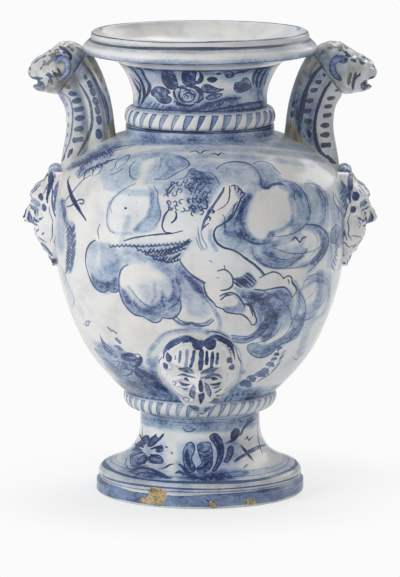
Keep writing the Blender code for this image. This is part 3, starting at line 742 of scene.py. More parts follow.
# Sheets that the motifs are laid out on: left and top pixel, enlargement
SKY_SHEET = Sheet(60, 130, 7.84)
CLOUD_SHEET = Sheet(190, 130, 7.84)
BOWL_SHEET = Sheet(85, 310, 6.817)
NECK_SHEET = Sheet(100, 10, 7.84)
FOOT_SHEET = Sheet(105, 400, 7.65)
LEFT_SHEET = Sheet(15, 30, 6.272)
RIGHT_SHEET = Sheet(275, 30, 6.272)
MASK_SHEET = Sheet(150, 320, 8.0)
WASH_SHEET = Sheet(100, 140, 3.2)

# Motifs: kind, width or softness, tone or cover, places
SKY_CLOUDS = [
    ("line", 1.2, 0.50, [(590, 420), (535, 445), (480, 480), (430, 520), (405, 555), (390, 600),
        (405, 650)]),
    ("line", 1.2, 0.48, [(385, 560), (370, 640), (366, 700), (372, 750), (395, 795), (430, 808)]),
    ("band", 3.5, 0.22, [(470, 490), (400, 560), (375, 660), (380, 760), (440, 810), (560, 810)]),
    ("fill", 4.0, 0.36, [(690, 440), (750, 470), (775, 560), (790, 640), (785, 700), (750, 770),
        (700, 800), (620, 808), (570, 785), (620, 740), (680, 680), (705, 600), (700, 520)]),
    ("band", 5.0, 0.34, [(720, 500), (715, 590), (680, 680), (590, 780)]),
    ("line", 1.3, 0.52, [(735, 440), (765, 490), (765, 560), (785, 640), (780, 700), (745, 745)]),
    ("line", 1.3, 0.62, [(590, 245), (550, 285), (545, 340), (560, 375), (600, 388)]),
    ("band", 5.0, 0.34, [(650, 225), (720, 205), (800, 195), (880, 200), (960, 225), (1000, 262)]),
    ("fill", 3.0, 0.34, [(790, 215), (870, 222), (960, 240), (1005, 275), (900, 335), (840, 372),
        (770, 392), (735, 385), (800, 350), (850, 305), (810, 270)]),
    ("line", 1.4, 0.62, [(930, 208), (985, 230), (1015, 268), (985, 300), (900, 345), (830, 385),
        (740, 385)]),
    ("line", 1.2, 0.45, [(790, 215), (790, 270), (765, 320)]),
    ("line", 1.2, 0.55, [(930, 390), (985, 365), (1020, 310), (1045, 300), (1080, 325), (1137, 330)]),
    ("fill", 3.0, 0.30, [(1040, 305), (1140, 335), (1150, 400), (1080, 372), (1010, 385), (960, 400)]),
    ("line", 1.7, 0.90, [(275, 865), (240, 885), (212, 930), (200, 990), (200, 1050), (215, 1110),
        (235, 1170), (265, 1225), (300, 1260), (345, 1273), (380, 1250)]),
    ("line", 1.4, 0.70, [(380, 1250), (400, 1268), (425, 1273), (450, 1262), (460, 1235), (455, 1195)]),
    ("fill", 3.0, 0.24, [(225, 900), (290, 872), (300, 950), (290, 1040), (330, 1130), (290, 1180),
        (225, 1100), (205, 1000)]),
    ("fill", 3.0, 0.62, [(235, 1110), (280, 1165), (340, 1185), (400, 1180), (440, 1150), (460, 1190),
        (452, 1245), (420, 1265), (380, 1245), (345, 1268), (300, 1255), (255, 1200)]),
    ("fill", 7.0, 0.20, [(330, 1060), (450, 1040), (480, 1090), (430, 1140), (350, 1110)]),
    ("fill", 8.0, 0.24, [(420, 960), (600, 940), (740, 1000), (900, 1060), (960, 1120), (940, 1200),
        (800, 1120), (620, 1040), (500, 1060), (440, 1030)]),
    ("line", 1.1, 0.90, [(310, 740), (295, 790), (305, 858)]),
    ("line", 1.4, 0.72, [(532, 1055), (490, 1080), (466, 1130), (460, 1190), (472, 1235)]),
    ("line", 1.6, 0.78, [(458, 1230), (475, 1300), (500, 1360), (540, 1410), (590, 1450), (652, 1462)]),
    ("line", 1.4, 0.74, [(652, 1462), (690, 1487), (740, 1510), (782, 1498), (800, 1470)]),
    ("line", 1.6, 0.78, [(800, 1470), (850, 1478), (900, 1468), (940, 1420), (948, 1370), (935, 1330)]),
    ("fill", 5.0, 0.50, [(470, 1230), (530, 1270), (570, 1330), (640, 1370), (720, 1370), (790, 1330),
        (800, 1260), (850, 1330), (890, 1260), (930, 1290), (945, 1380), (900, 1465), (800, 1472),
        (740, 1505), (680, 1480), (590, 1447), (520, 1390), (480, 1310)]),
    ("band", 5.0, 0.40, [(490, 1260), (550, 1350), (640, 1420), (740, 1430), (820, 1400), (900, 1400)]),
    ("band", 3.0, 0.38, [(580, 1330), (610, 1385), (680, 1410), (770, 1380), (800, 1310)]),
    ("band", 4.0, 0.26, [(740, 1200), (745, 1290), (720, 1360)]),
    ("band", 3.5, 0.30, [(880, 1180), (890, 1260), (850, 1330)]),
    ("band", 4.0, 0.36, [(915, 1170), (940, 1260), (930, 1330)]),
    ("line", 1.3, 0.62, [(800, 1305), (806, 1350), (818, 1392)]),
    ("line", 1.3, 0.62, [(868, 1388), (915, 1360), (940, 1300)]),
    ("line", 1.2, 0.50, [(575, 1340), (605, 1392), (660, 1422), (720, 1418)]),
    ("line", 1.4, 0.75, [(900, 1452), (935, 1490), (990, 1515), (1030, 1510), (1080, 1528), (1140, 1534)]),
    ("band", 4.0, 0.30, [(890, 1478), (930, 1520), (1030, 1545), (1100, 1550)]),
    ("band", 8.0, 0.40, [(925, 1060), (980, 1130), (1045, 1180), (1100, 1230), (1125, 1300)]),
    ("line", 1.2, 0.50, [(1060, 1195), (1105, 1240), (1125, 1310)]),
    ("line", 1.0, 0.80, [(180, 1512), (204, 1540), (202, 1504), (232, 1498), (216, 1532)]),
    ("dab", 2.4, 1.20, [(508, 612), (516, 614)]), ("dab", 1.3, 0.60, [(538, 508), (542, 510)]),
    ("dab", 1.3, 0.60, [(153, 648), (157, 652)]),
]
SKY_EDGE = [
    ("curl", 24, 0.88, [(176, 292), (236, 264), (290, 226), (346, 200), (404, 180), (300, 278),
        (362, 246), (248, 322), (196, 240)]),
    ("stroke", 2.6, 0.86, [(134, 326), (204, 262), (272, 214), (340, 182)]),
    ("stroke", 2.4, 0.82, [(236, 308), (304, 276), (390, 240), (458, 222)]),
    ("stroke", 2.4, 0.80, [(400, 156), (450, 140), (520, 118)]),
    ("fill", 4.0, 0.42, [(40, 300), (120, 250), (230, 190), (330, 150), (420, 120), (440, 160),
        (380, 230), (330, 290), (250, 330), (150, 370), (120, 340), (160, 290), (60, 320)]),
    ("stroke", 2.6, 0.80, [(60, 305), (150, 268), (250, 220), (340, 190)]),
    ("stroke", 2.2, 0.80, [(150, 380), (190, 330), (260, 290), (330, 270)]),
    ("stroke", 2.2, 0.80, [(190, 345), (240, 300), (300, 290)]),
    ("hatch", 2.0, 0.75, [(100, 280), (200, 240), (300, 200), (400, 160)], 36, -0.8, 22),
    ("hatch", 2.4, 0.80, [(84, 760), (92, 900), (86, 1010), (72, 1100)], 46, -0.6, 26),
    ("fill", 6.0, 0.34, [(-22, 560), (30, 540), (50, 700), (40, 860), (10, 980), (-22, 900)]),
    ("band", 13.0, 0.30, [(60, 270), (200, 210), (330, 150), (450, 100)]),
    ("stroke", 4.6, 1.00, [(75, 365), (58, 400), (75, 470), (100, 540), (140, 610), (202, 708)]),
    ("line", 1.7, 0.70, [(240, 350), (170, 400), (110, 470), (60, 530), (35, 560)]),
    ("line", 1.6, 0.80, [(50, 605), (100, 585), (140, 552), (175, 545), (188, 560), (175, 580),
        (150, 574)]),
    ("line", 1.3, 0.74, [(60, 300), (180, 240), (290, 190), (420, 140), (590, 112)]),
    ("line", 1.2, 0.68, [(100, 300), (210, 250), (310, 200), (400, 170), (520, 130)]),
    ("stroke", 2.4, 0.60, [(140, 380), (160, 325), (205, 285)]),
    ("stroke", 2.4, 0.60, [(185, 385), (200, 330), (250, 290)]),
    ("stroke", 2.2, 0.60, [(250, 365), (262, 320), (300, 270)]),
    ("line", 1.1, 0.74, [(270, 360), (310, 330), (330, 280), (300, 262), (262, 300)]),
    ("line", 1.1, 0.74, [(390, 320), (430, 290), (440, 250), (500, 212), (545, 195), (520, 250),
        (450, 300)]),
    ("line", 1.1, 0.68, [(385, 355), (450, 330), (500, 290)]),
    ("line", 1.1, 0.74, [(215, 235), (250, 200), (290, 215), (330, 175), (370, 185), (350, 215),
        (290, 235)]),
    ("line", 1.1, 0.68, [(360, 190), (430, 160), (500, 150), (560, 125), (590, 115)]),
    ("band", 9.0, 0.34, [(80, 740), (90, 850), (85, 960), (70, 1100)]),
    ("hatch", 2.2, 0.78, [(62, 780), (66, 900), (60, 1020), (56, 1090)], 60, 0.55, 30),
    ("hatch", 2.2, 0.78, [(100, 770), (108, 900), (100, 1010), (84, 1090)], 60, 0.55, 30),
    ("band", 5.0, 0.42, [(20, 560), (30, 640), (50, 720), (60, 760)]),
    ("line", 1.2, 0.88, [(20, 600), (45, 650), (30, 700), (60, 745)]),
    ("fill", 3.0, 0.20, [(0, 1050), (50, 1160), (84, 1250), (110, 1335), (95, 1400), (60, 1290),
        (16, 1170)]),
    ("line", 1.1, 0.61, [(0, 1050), (40, 1150), (80, 1250), (110, 1335), (95, 1400)]),
    ("line", 1.1, 0.61, [(20, 1170), (60, 1280), (78, 1390)]),
]
PUTTO_SKY = [
    ("fill", 3.0, 0.34, [(1040, 370), (1100, 372), (1185, 430), (1185, 560), (1110, 640), (1060, 660),
        (1010, 620), (1040, 520), (1000, 430)]),
    ("curl", 26, 0.72, [(880, 428), (846, 472), (836, 522), (846, 572), (872, 612), (896, 572),
        (920, 604), (950, 566), (962, 620), (1000, 612), (930, 420), (975, 398), (890, 500), (1010, 560),
        (940, 480), (1000, 440)]),
    ("curl", 26, 0.95, [(1030, 392), (1082, 392), (1130, 424), (1154, 480), (1158, 540), (1140, 596),
        (1104, 640), (1048, 650), (1040, 600), (1060, 520), (1030, 470), (1090, 560)]),
    ("line", 1.3, 0.85, [(838, 512), (850, 462), (884, 426), (930, 404)]),
    ("line", 1.2, 0.75, [(856, 500), (872, 466), (900, 444)]),
    ("line", 1.2, 0.75, [(842, 560), (852, 596), (880, 622)]),
    ("fill", 5.0, 0.22, [(990, 430), (1080, 395), (1150, 470), (1150, 580), (1080, 640), (1000, 610),
        (970, 520)]),
    ("hatch", 1.3, 0.90, [(1010, 430), (1060, 425), (1120, 455)], 38, 1.1, 34),
    ("hatch", 1.3, 0.90, [(1030, 490), (1090, 480), (1150, 515)], 40, 0.6, 32),
    ("hatch", 1.3, 0.95, [(1010, 555), (1080, 545), (1150, 570)], 40, -0.2, 32),
    ("hatch", 1.3, 0.95, [(1060, 610), (1110, 605)], 36, -0.6, 32),
    ("line", 1.5, 0.95, [(850, 628), (822, 664), (806, 712), (800, 758), (822, 800), (870, 806)]),
    ("line", 1.7, 0.95, [(905, 640), (912, 672), (900, 705), (872, 728)]),
    ("line", 1.3, 0.98, [(962, 790), (870, 812), (790, 816), (720, 824), (640, 835), (560, 850),
        (495, 872)]),
    ("fill", 4.0, 0.30, [(400, 905), (560, 895), (760, 890), (1020, 862), (1010, 910), (940, 1010),
        (860, 1045), (760, 1010), (640, 950), (520, 915)]),
    ("feathers", 34, 0.85, [(400, 905), (470, 902), (540, 898), (600, 908)]),
    ("feathers", 30, 0.90, [(600, 905), (680, 905), (760, 900), (840, 895), (930, 885), (1015, 868)]),
    ("feathers", 30, 0.95, [(620, 935), (680, 952), (760, 945), (840, 930), (920, 915), (1000, 890)]),
    ("feathers", 28, 1.00, [(680, 972), (750, 985), (830, 972), (900, 952), (970, 925)]),
    ("feathers", 28, 1.00, [(745, 1005), (800, 1020), (870, 1030), (935, 1010)]),
    ("hatch", 1.7, 0.95, [(700, 950), (800, 960), (900, 930), (1000, 880)], 46, 0.7, 24),
    ("hatch", 1.6, 0.95, [(780, 1005), (860, 1010), (930, 985)], 40, 0.7, 24),
    ("line", 1.4, 0.85, [(938, 1025), (975, 1080), (1020, 1125), (1070, 1160), (1140, 1200)]),
]
HIGH_CLOUDS = [
    ("line", 1.2, 0.55, [(0, 310), (40, 325), (90, 330), (150, 335), (200, 370), (228, 420)]),
    ("fill", 4.0, 0.32, [(0, 325), (150, 338), (215, 375), (230, 430), (190, 480), (150, 440),
        (120, 390), (0, 370)]),
    ("line", 1.5, 0.70, [(205, 305), (250, 270), (320, 250), (400, 250), (470, 270), (520, 310),
        (550, 370), (560, 430), (585, 455)]),
    ("shade", 5.0, 0.30, [(560, 430), (550, 370), (520, 310), (470, 270), (400, 250), (320, 250)]),
    ("line", 1.3, 0.60, [(490, 262), (560, 245), (630, 265), (670, 310), (712, 345)]),
    ("fill", 5.0, 0.42, [(500, 262), (600, 258), (670, 320), (715, 380), (690, 425), (600, 465),
        (565, 440), (555, 370), (530, 315)]),
    ("stroke", 3.2, 0.62, [(560, 450), (610, 455), (640, 430), (710, 420), (750, 440)]),
    ("band", 7.0, 0.42, [(468, 520), (410, 580), (395, 660), (405, 740), (400, 800)]),
    ("line", 1.3, 0.55, [(432, 545), (395, 600), (392, 680), (400, 740)]),
    ("band", 8.0, 0.58, [(400, 810), (450, 855), (530, 880), (600, 870), (640, 815)]),
    ("line", 1.5, 0.72, [(395, 800), (430, 850), (490, 885), (560, 892), (620, 880)]),
    ("band", 12.0, 0.46, [(730, 425), (800, 460), (840, 530), (870, 610), (870, 690), (820, 740)]),
    ("band", 5.0, 0.34, [(780, 520), (800, 600), (800, 700), (740, 770), (640, 810)]),
    ("line", 1.4, 0.60, [(730, 400), (820, 415), (890, 490), (930, 590), (935, 680), (908, 748)]),
    ("line", 1.3, 0.65, [(820, 490), (812, 530), (830, 548)]),
    ("line", 1.3, 0.60, [(895, 420), (980, 430), (1040, 500), (1060, 590), (1050, 680), (1020, 735)]),
    ("band", 7.0, 0.48, [(1000, 460), (1050, 550), (1050, 640), (1030, 730)]),
    ("line", 1.2, 0.55, [(960, 415), (1020, 445), (1070, 520), (1082, 610), (1070, 700)]),
    ("fill", 6.0, 0.42, [(790, 790), (850, 740), (950, 730), (1040, 760), (1090, 840), (1085, 910),
        (1030, 1000), (950, 1110), (920, 1110), (990, 990), (1030, 890), (990, 820), (900, 780)]),
    ("line", 1.7, 0.82, [(905, 740), (1000, 750), (1062, 800), (1085, 870), (1060, 960), (1000, 1040),
        (930, 1110)]),
    ("band", 6.0, 0.36, [(990, 770), (1040, 850), (1025, 950), (960, 1040)]),
    ("line", 1.0, 0.50, [(1000, 780), (1035, 850), (1020, 950), (945, 1035)]),
    ("line", 1.0, 0.42, [(955, 790), (1000, 860), (985, 940), (930, 1005)]),
    ("band", 4.0, 0.30, [(650, 880), (720, 850), (790, 830), (860, 800)]),
    ("band", 7.0, 0.48, [(490, 925), (505, 980), (560, 1035), (650, 1065), (760, 1060), (840, 1010),
        (900, 950)]),
    ("line", 1.3, 0.55, [(485, 925), (500, 985), (560, 1045), (650, 1080), (760, 1072), (850, 1010),
        (920, 930)]),
    ("line", 1.0, 0.42, [(590, 960), (640, 1020), (720, 1035), (800, 1000), (860, 940)]),
    ("band", 4.0, 0.30, [(740, 1000), (810, 960), (870, 900), (900, 840)]),
    ("fill", 6.0, 0.36, [(560, 920), (620, 900), (700, 890), (640, 960), (700, 1010), (620, 1030),
        (560, 980)]),
    ("line", 1.7, 1.00, [(800, 862), (825, 840), (850, 872), (862, 882), (880, 848), (912, 838)]),
    ("line", 1.4, 1.00, [(0, 175), (40, 162), (78, 186), (105, 165), (145, 158)]),
    ("line", 1.4, 1.00, [(165, 188), (200, 184), (215, 200), (240, 180), (270, 184)]),
    ("fill", 4.0, 0.30, [(215, 760), (300, 720), (380, 620), (440, 500), (480, 520), (410, 640),
        (400, 800), (440, 870), (490, 930), (500, 1020), (400, 965), (280, 918), (205, 860)]),
    ("fill", 5.0, 0.46, [(340, 1235), (420, 1262), (560, 1272), (720, 1252), (775, 1290), (770, 1400),
        (640, 1460), (560, 1460), (520, 1400), (440, 1350), (380, 1290)]),
    ("band", 6.0, 0.36, [(420, 1300), (560, 1310), (690, 1290)]),
    ("band", 6.0, 0.40, [(570, 1330), (560, 1400), (600, 1450), (600, 1540)]),
    ("band", 7.0, 0.36, [(700, 1380), (660, 1460), (620, 1540)]),
    ("band", 6.0, 0.34, [(850, 1280), (850, 1360), (830, 1440), (800, 1540)]),
    ("fill", 6.0, 0.34, [(890, 1180), (1000, 1122), (1070, 1100), (1105, 1150), (1085, 1260),
        (1035, 1360), (960, 1430), (880, 1440), (900, 1385), (980, 1330), (1000, 1250), (985, 1185)]),
    ("line", 1.2, 0.50, [(870, 1250), (905, 1180), (960, 1140), (1000, 1120)]),
    ("line", 1.2, 0.50, [(858, 1285), (852, 1350), (872, 1412)]),
    ("line", 1.1, 0.42, [(1000, 1120), (1000, 1200), (960, 1280), (900, 1340)]),
    ("line", 1.2, 0.45, [(1100, 1130), (1090, 1240), (1040, 1350), (960, 1430)]),
]
RIGHT_EDGE = [
    ("fill", 5.0, 0.34, [(1150, 420), (1230, 380), (1290, 500), (1310, 700), (1290, 900), (1230, 1000),
        (1180, 900), (1200, 700), (1170, 560)]),
    ("hatch", 2.2, 0.75, [(1190, 480), (1215, 620), (1222, 760)], 50, 0.5, 34),
    ("hatch", 2.2, 0.70, [(1200, 820), (1200, 950), (1170, 1080)], 56, 0.5, 32),
    ("petal", 1.3, 0.50, [(1100, 880), (1100, 810), (1138, 742), (1168, 765), (1170, 830), (1140, 888)]),
    ("line", 1.1, 0.60, [(1125, 860), (1140, 800), (1150, 760)]),
    ("stroke", 2.0, 0.75, [(1118, 480), (1130, 560), (1160, 620), (1165, 700)]),
    ("stroke", 3.0, 0.75, [(1168, 615), (1196, 680), (1186, 770), (1170, 820)]),
    ("line", 1.2, 0.70, [(1135, 500), (1160, 560), (1200, 600)]),
    ("band", 8.0, 0.45, [(1170, 620), (1190, 720), (1185, 820), (1160, 900)]),
    ("line", 1.2, 0.55, [(1100, 900), (1112, 980), (1095, 1045)]),
    ("line", 1.2, 0.50, [(1150, 890), (1150, 960), (1110, 1040), (1090, 1080)]),
    ("hatch", 2.0, 0.70, [(1150, 900), (1140, 1000), (1120, 1080)], 50, -0.5, 34),
]
PUTTO = [
    ("line", 1.2, 0.85, [(268, 450), (235, 505), (200, 560), (150, 625), (120, 685), (98, 740), (86, 800)]),
    ("line", 1.1, 0.75, [(262, 482), (228, 535), (190, 588), (165, 630), (135, 680), (112, 730),
        (92, 790)]),
    ("line", 1.6, 0.95, [(262, 452), (258, 480), (236, 505)]),
    ("line", 1.3, 0.95, [(145, 655), (158, 632), (182, 630), (190, 645), (168, 652)]),
    ("line", 1.3, 0.95, [(128, 705), (140, 682), (160, 690), (150, 712)]),
    ("line", 1.1, 0.85, [(105, 770), (125, 745), (150, 730)]),
    ("line", 1.1, 0.85, [(308, 460), (306, 530), (280, 588), (212, 632)]),
    ("line", 1.1, 0.60, [(255, 660), (272, 700), (245, 742), (210, 765)]),
    ("fill", 2.5, 0.34, [(340, 440), (400, 462), (420, 510), (382, 545), (350, 500)]),
    ("line", 1.2, 0.90, [(306, 440), (312, 470), (308, 500)]),
    ("line", 1.2, 0.90, [(322, 440), (345, 430), (352, 474)]),
    ("line", 1.2, 0.90, [(350, 432), (382, 452), (372, 492)]),
    ("line", 1.3, 0.95, [(380, 452), (406, 482), (388, 512)]),
    ("line", 1.3, 0.95, [(402, 488), (428, 498), (404, 532)]),
    ("line", 1.6, 0.95, [(402, 530), (375, 590), (350, 648), (310, 702), (262, 732), (215, 755)]),
    ("line", 1.2, 0.75, [(372, 560), (345, 600), (330, 650), (290, 700)]),
    ("line", 1.9, 1.00, [(215, 755), (190, 790), (188, 840), (215, 890), (270, 925), (330, 940),
        (390, 972), (440, 1012), (500, 1052), (550, 1095), (585, 1135)]),
    ("line", 1.2, 0.70, [(440, 1000), (490, 1050), (540, 1100), (575, 1140)]),
    ("line", 1.1, 0.60, [(60, 760), (70, 850), (95, 920), (128, 942)]),
    ("line", 1.1, 0.55, [(45, 840), (65, 900), (95, 950)]),
    ("line", 1.1, 0.55, [(85, 800), (95, 850), (125, 900), (130, 935)]),
    ("band", 5.0, 0.42, [(160, 790), (158, 860), (205, 940)]),
    ("line", 1.4, 0.90, [(545, 1158), (600, 1130), (650, 1112), (700, 1128), (736, 1166)]),
    ("line", 1.6, 0.95, [(730, 1165), (770, 1143), (796, 1160), (802, 1200), (832, 1238), (825, 1282),
        (798, 1312)]),
    ("line", 1.5, 0.92, [(798, 1312), (776, 1265), (735, 1233), (660, 1240), (580, 1256), (500, 1250)]),
    ("line", 1.3, 0.90, [(765, 1172), (776, 1188), (772, 1208)]),
    ("line", 1.5, 0.95, [(215, 1106), (265, 1094), (310, 1120), (335, 1170), (330, 1220), (292, 1250),
        (240, 1258)]),
    ("line", 1.2, 0.90, [(266, 1062), (276, 1096)]),
    ("fill", 2.5, 0.55, [(340, 1160), (400, 1150), (460, 1112), (505, 1160), (520, 1200), (480, 1242),
        (400, 1232), (358, 1200)]),
    ("stroke", 2.0, 0.95, [(342, 1165), (390, 1195), (442, 1238)]),
    ("stroke", 2.0, 0.95, [(368, 1160), (415, 1190), (462, 1236)]),
    ("stroke", 2.0, 0.95, [(398, 1155), (440, 1185), (482, 1226)]),
    ("stroke", 1.8, 0.95, [(425, 1140), (462, 1168), (502, 1206)]),
    ("stroke", 1.8, 0.95, [(442, 1122), (480, 1150), (520, 1190)]),
    ("stroke", 1.8, 0.95, [(345, 1190), (370, 1215), (402, 1236)]),
    ("fill", 3.0, 0.46, [(330, 1286), (400, 1340), (432, 1380), (420, 1430), (300, 1426), (262, 1388),
        (350, 1380), (375, 1340)]),
    ("line", 1.6, 0.92, [(235, 1302), (270, 1284), (330, 1275), (382, 1310), (416, 1360), (432, 1386)]),
    ("line", 1.6, 0.92, [(240, 1330), (280, 1300), (330, 1290)]),
    ("line", 1.5, 0.95, [(108, 1205), (114, 1260), (140, 1310), (190, 1360), (206, 1386), (252, 1400)]),
    ("line", 1.5, 0.92, [(252, 1400), (290, 1430), (360, 1442), (410, 1448), (456, 1486), (482, 1528)]),
    ("line", 1.6, 0.95, [(430, 1364), (470, 1368), (500, 1420), (506, 1452), (522, 1490), (510, 1522),
        (484, 1530)]),
    ("stroke", 2.2, 0.90, [(440, 1372), (468, 1382), (484, 1425), (490, 1460)]),
    ("line", 1.4, 0.80, [(0, 1128), (52, 1168), (108, 1206)]),
    ("band", 6.0, 0.36, [(0, 1170), (50, 1220), (90, 1300), (110, 1350)]),
    ("dab", 1.4, 0.55, [(205, 1160), (225, 1158)]), ("dab", 1.4, 0.50, [(150, 1025), (175, 1035)]),
]
BOWL_SCROLLS = [
    ("line", 1.3, 0.70, [(600, 60), (650, 95), (700, 100), (730, 90), (742, 105), (800, 112), (850, 95),
        (880, 65)]),
    ("line", 1.1, 0.50, [(620, 40), (660, 80), (720, 92)]),
    ("line", 1.1, 0.50, [(760, 92), (820, 88), (860, 60)]),
    ("band", 5.0, 0.40, [(640, 80), (700, 92), (800, 100), (860, 70)]),
    ("band", 5.0, 0.30, [(900, 30), (920, 90), (910, 140)]),
    ("fill", 2.5, 0.54, [(1000, 180), (1060, 186), (1120, 178), (1170, 140), (1215, 80), (1250, 5),
        (1300, 5), (1262, 90), (1205, 165), (1140, 205), (1080, 225), (1010, 215)]),
    ("line", 1.3, 0.62, [(995, 172), (1060, 180), (1120, 175), (1170, 138), (1215, 80), (1250, 5)]),
    ("line", 1.2, 0.55, [(1005, 215), (1080, 226), (1140, 205), (1205, 165), (1262, 90), (1300, 5)]),
    ("band", 3.0, 0.42, [(1010, 195), (1090, 200), (1160, 170), (1220, 100), (1262, 20)]),
    ("fill", 2.5, 0.54, [(1112, 245), (1120, 290), (1180, 325), (1255, 308), (1335, 238), (1395, 208),
        (1450, 170), (1480, 110), (1490, 50), (1440, 35), (1420, 110), (1340, 190), (1240, 235),
        (1160, 225)]),
    ("line", 1.5, 0.70, [(1150, 225), (1110, 242), (1112, 280), (1150, 315), (1200, 326), (1260, 302),
        (1330, 238), (1392, 212), (1450, 178), (1490, 90)]),
    ("line", 1.3, 0.60, [(1340, 85), (1310, 150), (1250, 198), (1165, 226)]),
    ("line", 1.3, 0.60, [(1445, 20), (1400, 110), (1350, 180), (1250, 235)]),
    ("band", 4.0, 0.42, [(1140, 280), (1200, 295), (1270, 262), (1350, 200), (1430, 130)]),
    ("fill", 3.0, 0.34, [(1400, 60), (1440, 30), (1568, 12), (1545, 60), (1470, 82)]),
    ("line", 1.2, 0.50, [(1470, 70), (1530, 60), (1568, 25)]),
    ("fill", 4.0, 0.36, [(1290, 5), (1330, 5), (1330, 60), (1290, 100), (1270, 90)]),
    ("line", 1.1, 0.60, [(1422, 325), (1444, 342), (1452, 315), (1476, 306)]),
    ("line", 1.1, 0.80, [(0, 78), (18, 112), (24, 86), (40, 76)]),
    ("line", 1.1, 0.40, [(1432, 400), (1375, 480), (1268, 528)]),
]
# Blue halo round the front mask on the bowl, which is also painted shadow of the mask on the body
MASK_SHADOW_RING = [
    ("band", 6.0, 0.32, [(430, 355), (440, 286), (490, 218), (545, 164), (634, 143), (750, 133),
        (832, 150)]),
    ("band", 5.5, 0.30, [(832, 150), (886, 150), (954, 170), (1002, 225), (1043, 286), (1057, 382),
        (1077, 422)]),
    ("line", 1.6, 0.70, [(835, 150), (880, 148), (940, 165), (975, 190)]),
    ("line", 1.1, 0.45, [(500, 200), (545, 160), (620, 138), (700, 132)]),
]
BOWL_GROUND = [
    ("fill", 4.0, 0.46, [(425, 335), (500, 318), (490, 420), (530, 500), (570, 570), (500, 560),
        (440, 450)]),
    ("band", 7.0, 0.38, [(460, 360), (480, 450), (530, 540), (620, 610)]),
    ("band", 4.0, 0.30, [(1060, 430), (1040, 500), (990, 570)]),
    ("fill", 7.0, 0.60, [(190, 470), (300, 488), (420, 478), (540, 520), (650, 612), (700, 650),
        (500, 650), (350, 605), (262, 568)]),
    ("fill", 7.0, 0.56, [(890, 650), (960, 585), (1010, 520), (1100, 532), (1230, 528), (1320, 520),
        (1290, 600), (1150, 628), (1000, 650)]),
    ("hatch", 2.0, 0.62, [(300, 575), (400, 600), (520, 625), (640, 640)], 34, 1.4, 40),
    ("hatch", 2.2, 0.80, [(960, 600), (1060, 580), (1150, 575)], 44, 0.5, 36),
    ("hatch", 2.0, 0.60, [(1150, 590), (1220, 575), (1290, 560)], 34, 1.2, 36),
    ("line", 1.2, 0.50, [(200, 480), (300, 520), (420, 540), (560, 590)]),
    ("line", 1.2, 0.50, [(300, 500), (400, 520), (500, 560)]),
]
BOWL_PLANTS = [
    ("fill", 6.0, 0.48, [(60, 220), (180, 240), (330, 330), (480, 470), (500, 580), (300, 560),
        (180, 420)]),
    ("petal", 1.2, 0.41, [(102, 175), (135, 225), (185, 270), (222, 325), (170, 305), (125, 255)]),
    ("line", 1.2, 0.75, [(100, 165), (118, 215), (150, 260), (212, 318)]),
    ("petal", 1.2, 0.36, [(60, 258), (112, 288), (155, 345), (118, 330), (82, 300)]),
    ("line", 1.1, 0.60, [(62, 262), (110, 305), (150, 345)]),
    ("petal", 1.2, 0.53, [(245, 305), (300, 292), (342, 310), (345, 340), (300, 348), (255, 335)]),
    ("stroke", 3.0, 0.75, [(255, 320), (300, 305), (338, 322)]),
    ("petal", 1.3, 0.58, [(300, 350), (345, 335), (385, 320), (384, 360), (350, 388), (312, 378)]),
    ("line", 1.3, 0.80, [(340, 300), (370, 305), (382, 330), (360, 372), (318, 385)]),
    ("stroke", 3.2, 0.67, [(345, 375), (368, 350), (380, 325)]),
    ("line", 1.2, 0.70, [(235, 352), (222, 400), (240, 442), (285, 448), (322, 420), (325, 380)]),
    ("line", 1.1, 0.65, [(248, 372), (262, 355), (285, 370), (275, 400), (252, 402), (246, 380)]),
    ("line", 1.1, 0.65, [(290, 410), (312, 402), (322, 425), (302, 445), (285, 432)]),
    ("fill", 2.0, 0.40, [(240, 360), (330, 370), (325, 430), (280, 450), (235, 440)]),
    ("line", 1.1, 0.60, [(150, 350), (200, 385), (240, 430), (300, 462), (350, 470)]),
    ("line", 1.1, 0.55, [(160, 380), (200, 425), (262, 470), (322, 490)]),
    ("line", 1.1, 0.55, [(190, 345), (218, 352), (232, 335)]),
    ("petal", 1.3, 0.59, [(345, 392), (420, 425), (468, 465), (405, 478), (352, 450), (338, 418)]),
    ("stroke", 2.6, 0.71, [(350, 405), (405, 440), (462, 465)]),
    ("fill", 3.0, 0.34, [(110, 330), (180, 340), (230, 400), (250, 460), (200, 450), (150, 400)]),
    ("dab", 3.2, 0.55, [(155, 120), (178, 140)]), ("dab", 3.0, 0.55, [(192, 142), (210, 156)]),
    ("stroke", 4.4, 0.62, [(204, 196), (222, 206), (242, 228)]),
    ("stroke", 4.6, 0.65, [(204, 245), (228, 255), (256, 276)]),
    ("stroke", 8.0, 0.71, [(1062, 505), (1090, 492), (1125, 522)]),
    ("stroke", 6.5, 0.71, [(1108, 462), (1130, 455), (1152, 488)]),
    ("stroke", 7.0, 0.71, [(1160, 440), (1185, 432), (1225, 452)]),
    ("stroke", 5.5, 0.67, [(1208, 405), (1228, 408), (1242, 436)]),
    ("stroke", 5.0, 0.67, [(1235, 372), (1260, 366), (1288, 385)]),
    ("stroke", 4.2, 0.67, [(1268, 345), (1285, 330), (1306, 336)]),
    ("stroke", 3.6, 0.78, [(1285, 308), (1302, 298), (1322, 308)]),
    ("stroke", 3.0, 0.75, [(1310, 275), (1322, 258), (1342, 262)]),
    ("line", 1.1, 0.60, [(1080, 520), (1180, 455), (1260, 385), (1310, 300), (1328, 250)]),
    ("hatch", 1.8, 0.62, [(1190, 480), (1250, 440), (1300, 390), (1335, 330), (1352, 285)], 34, 1.1, 26),
]
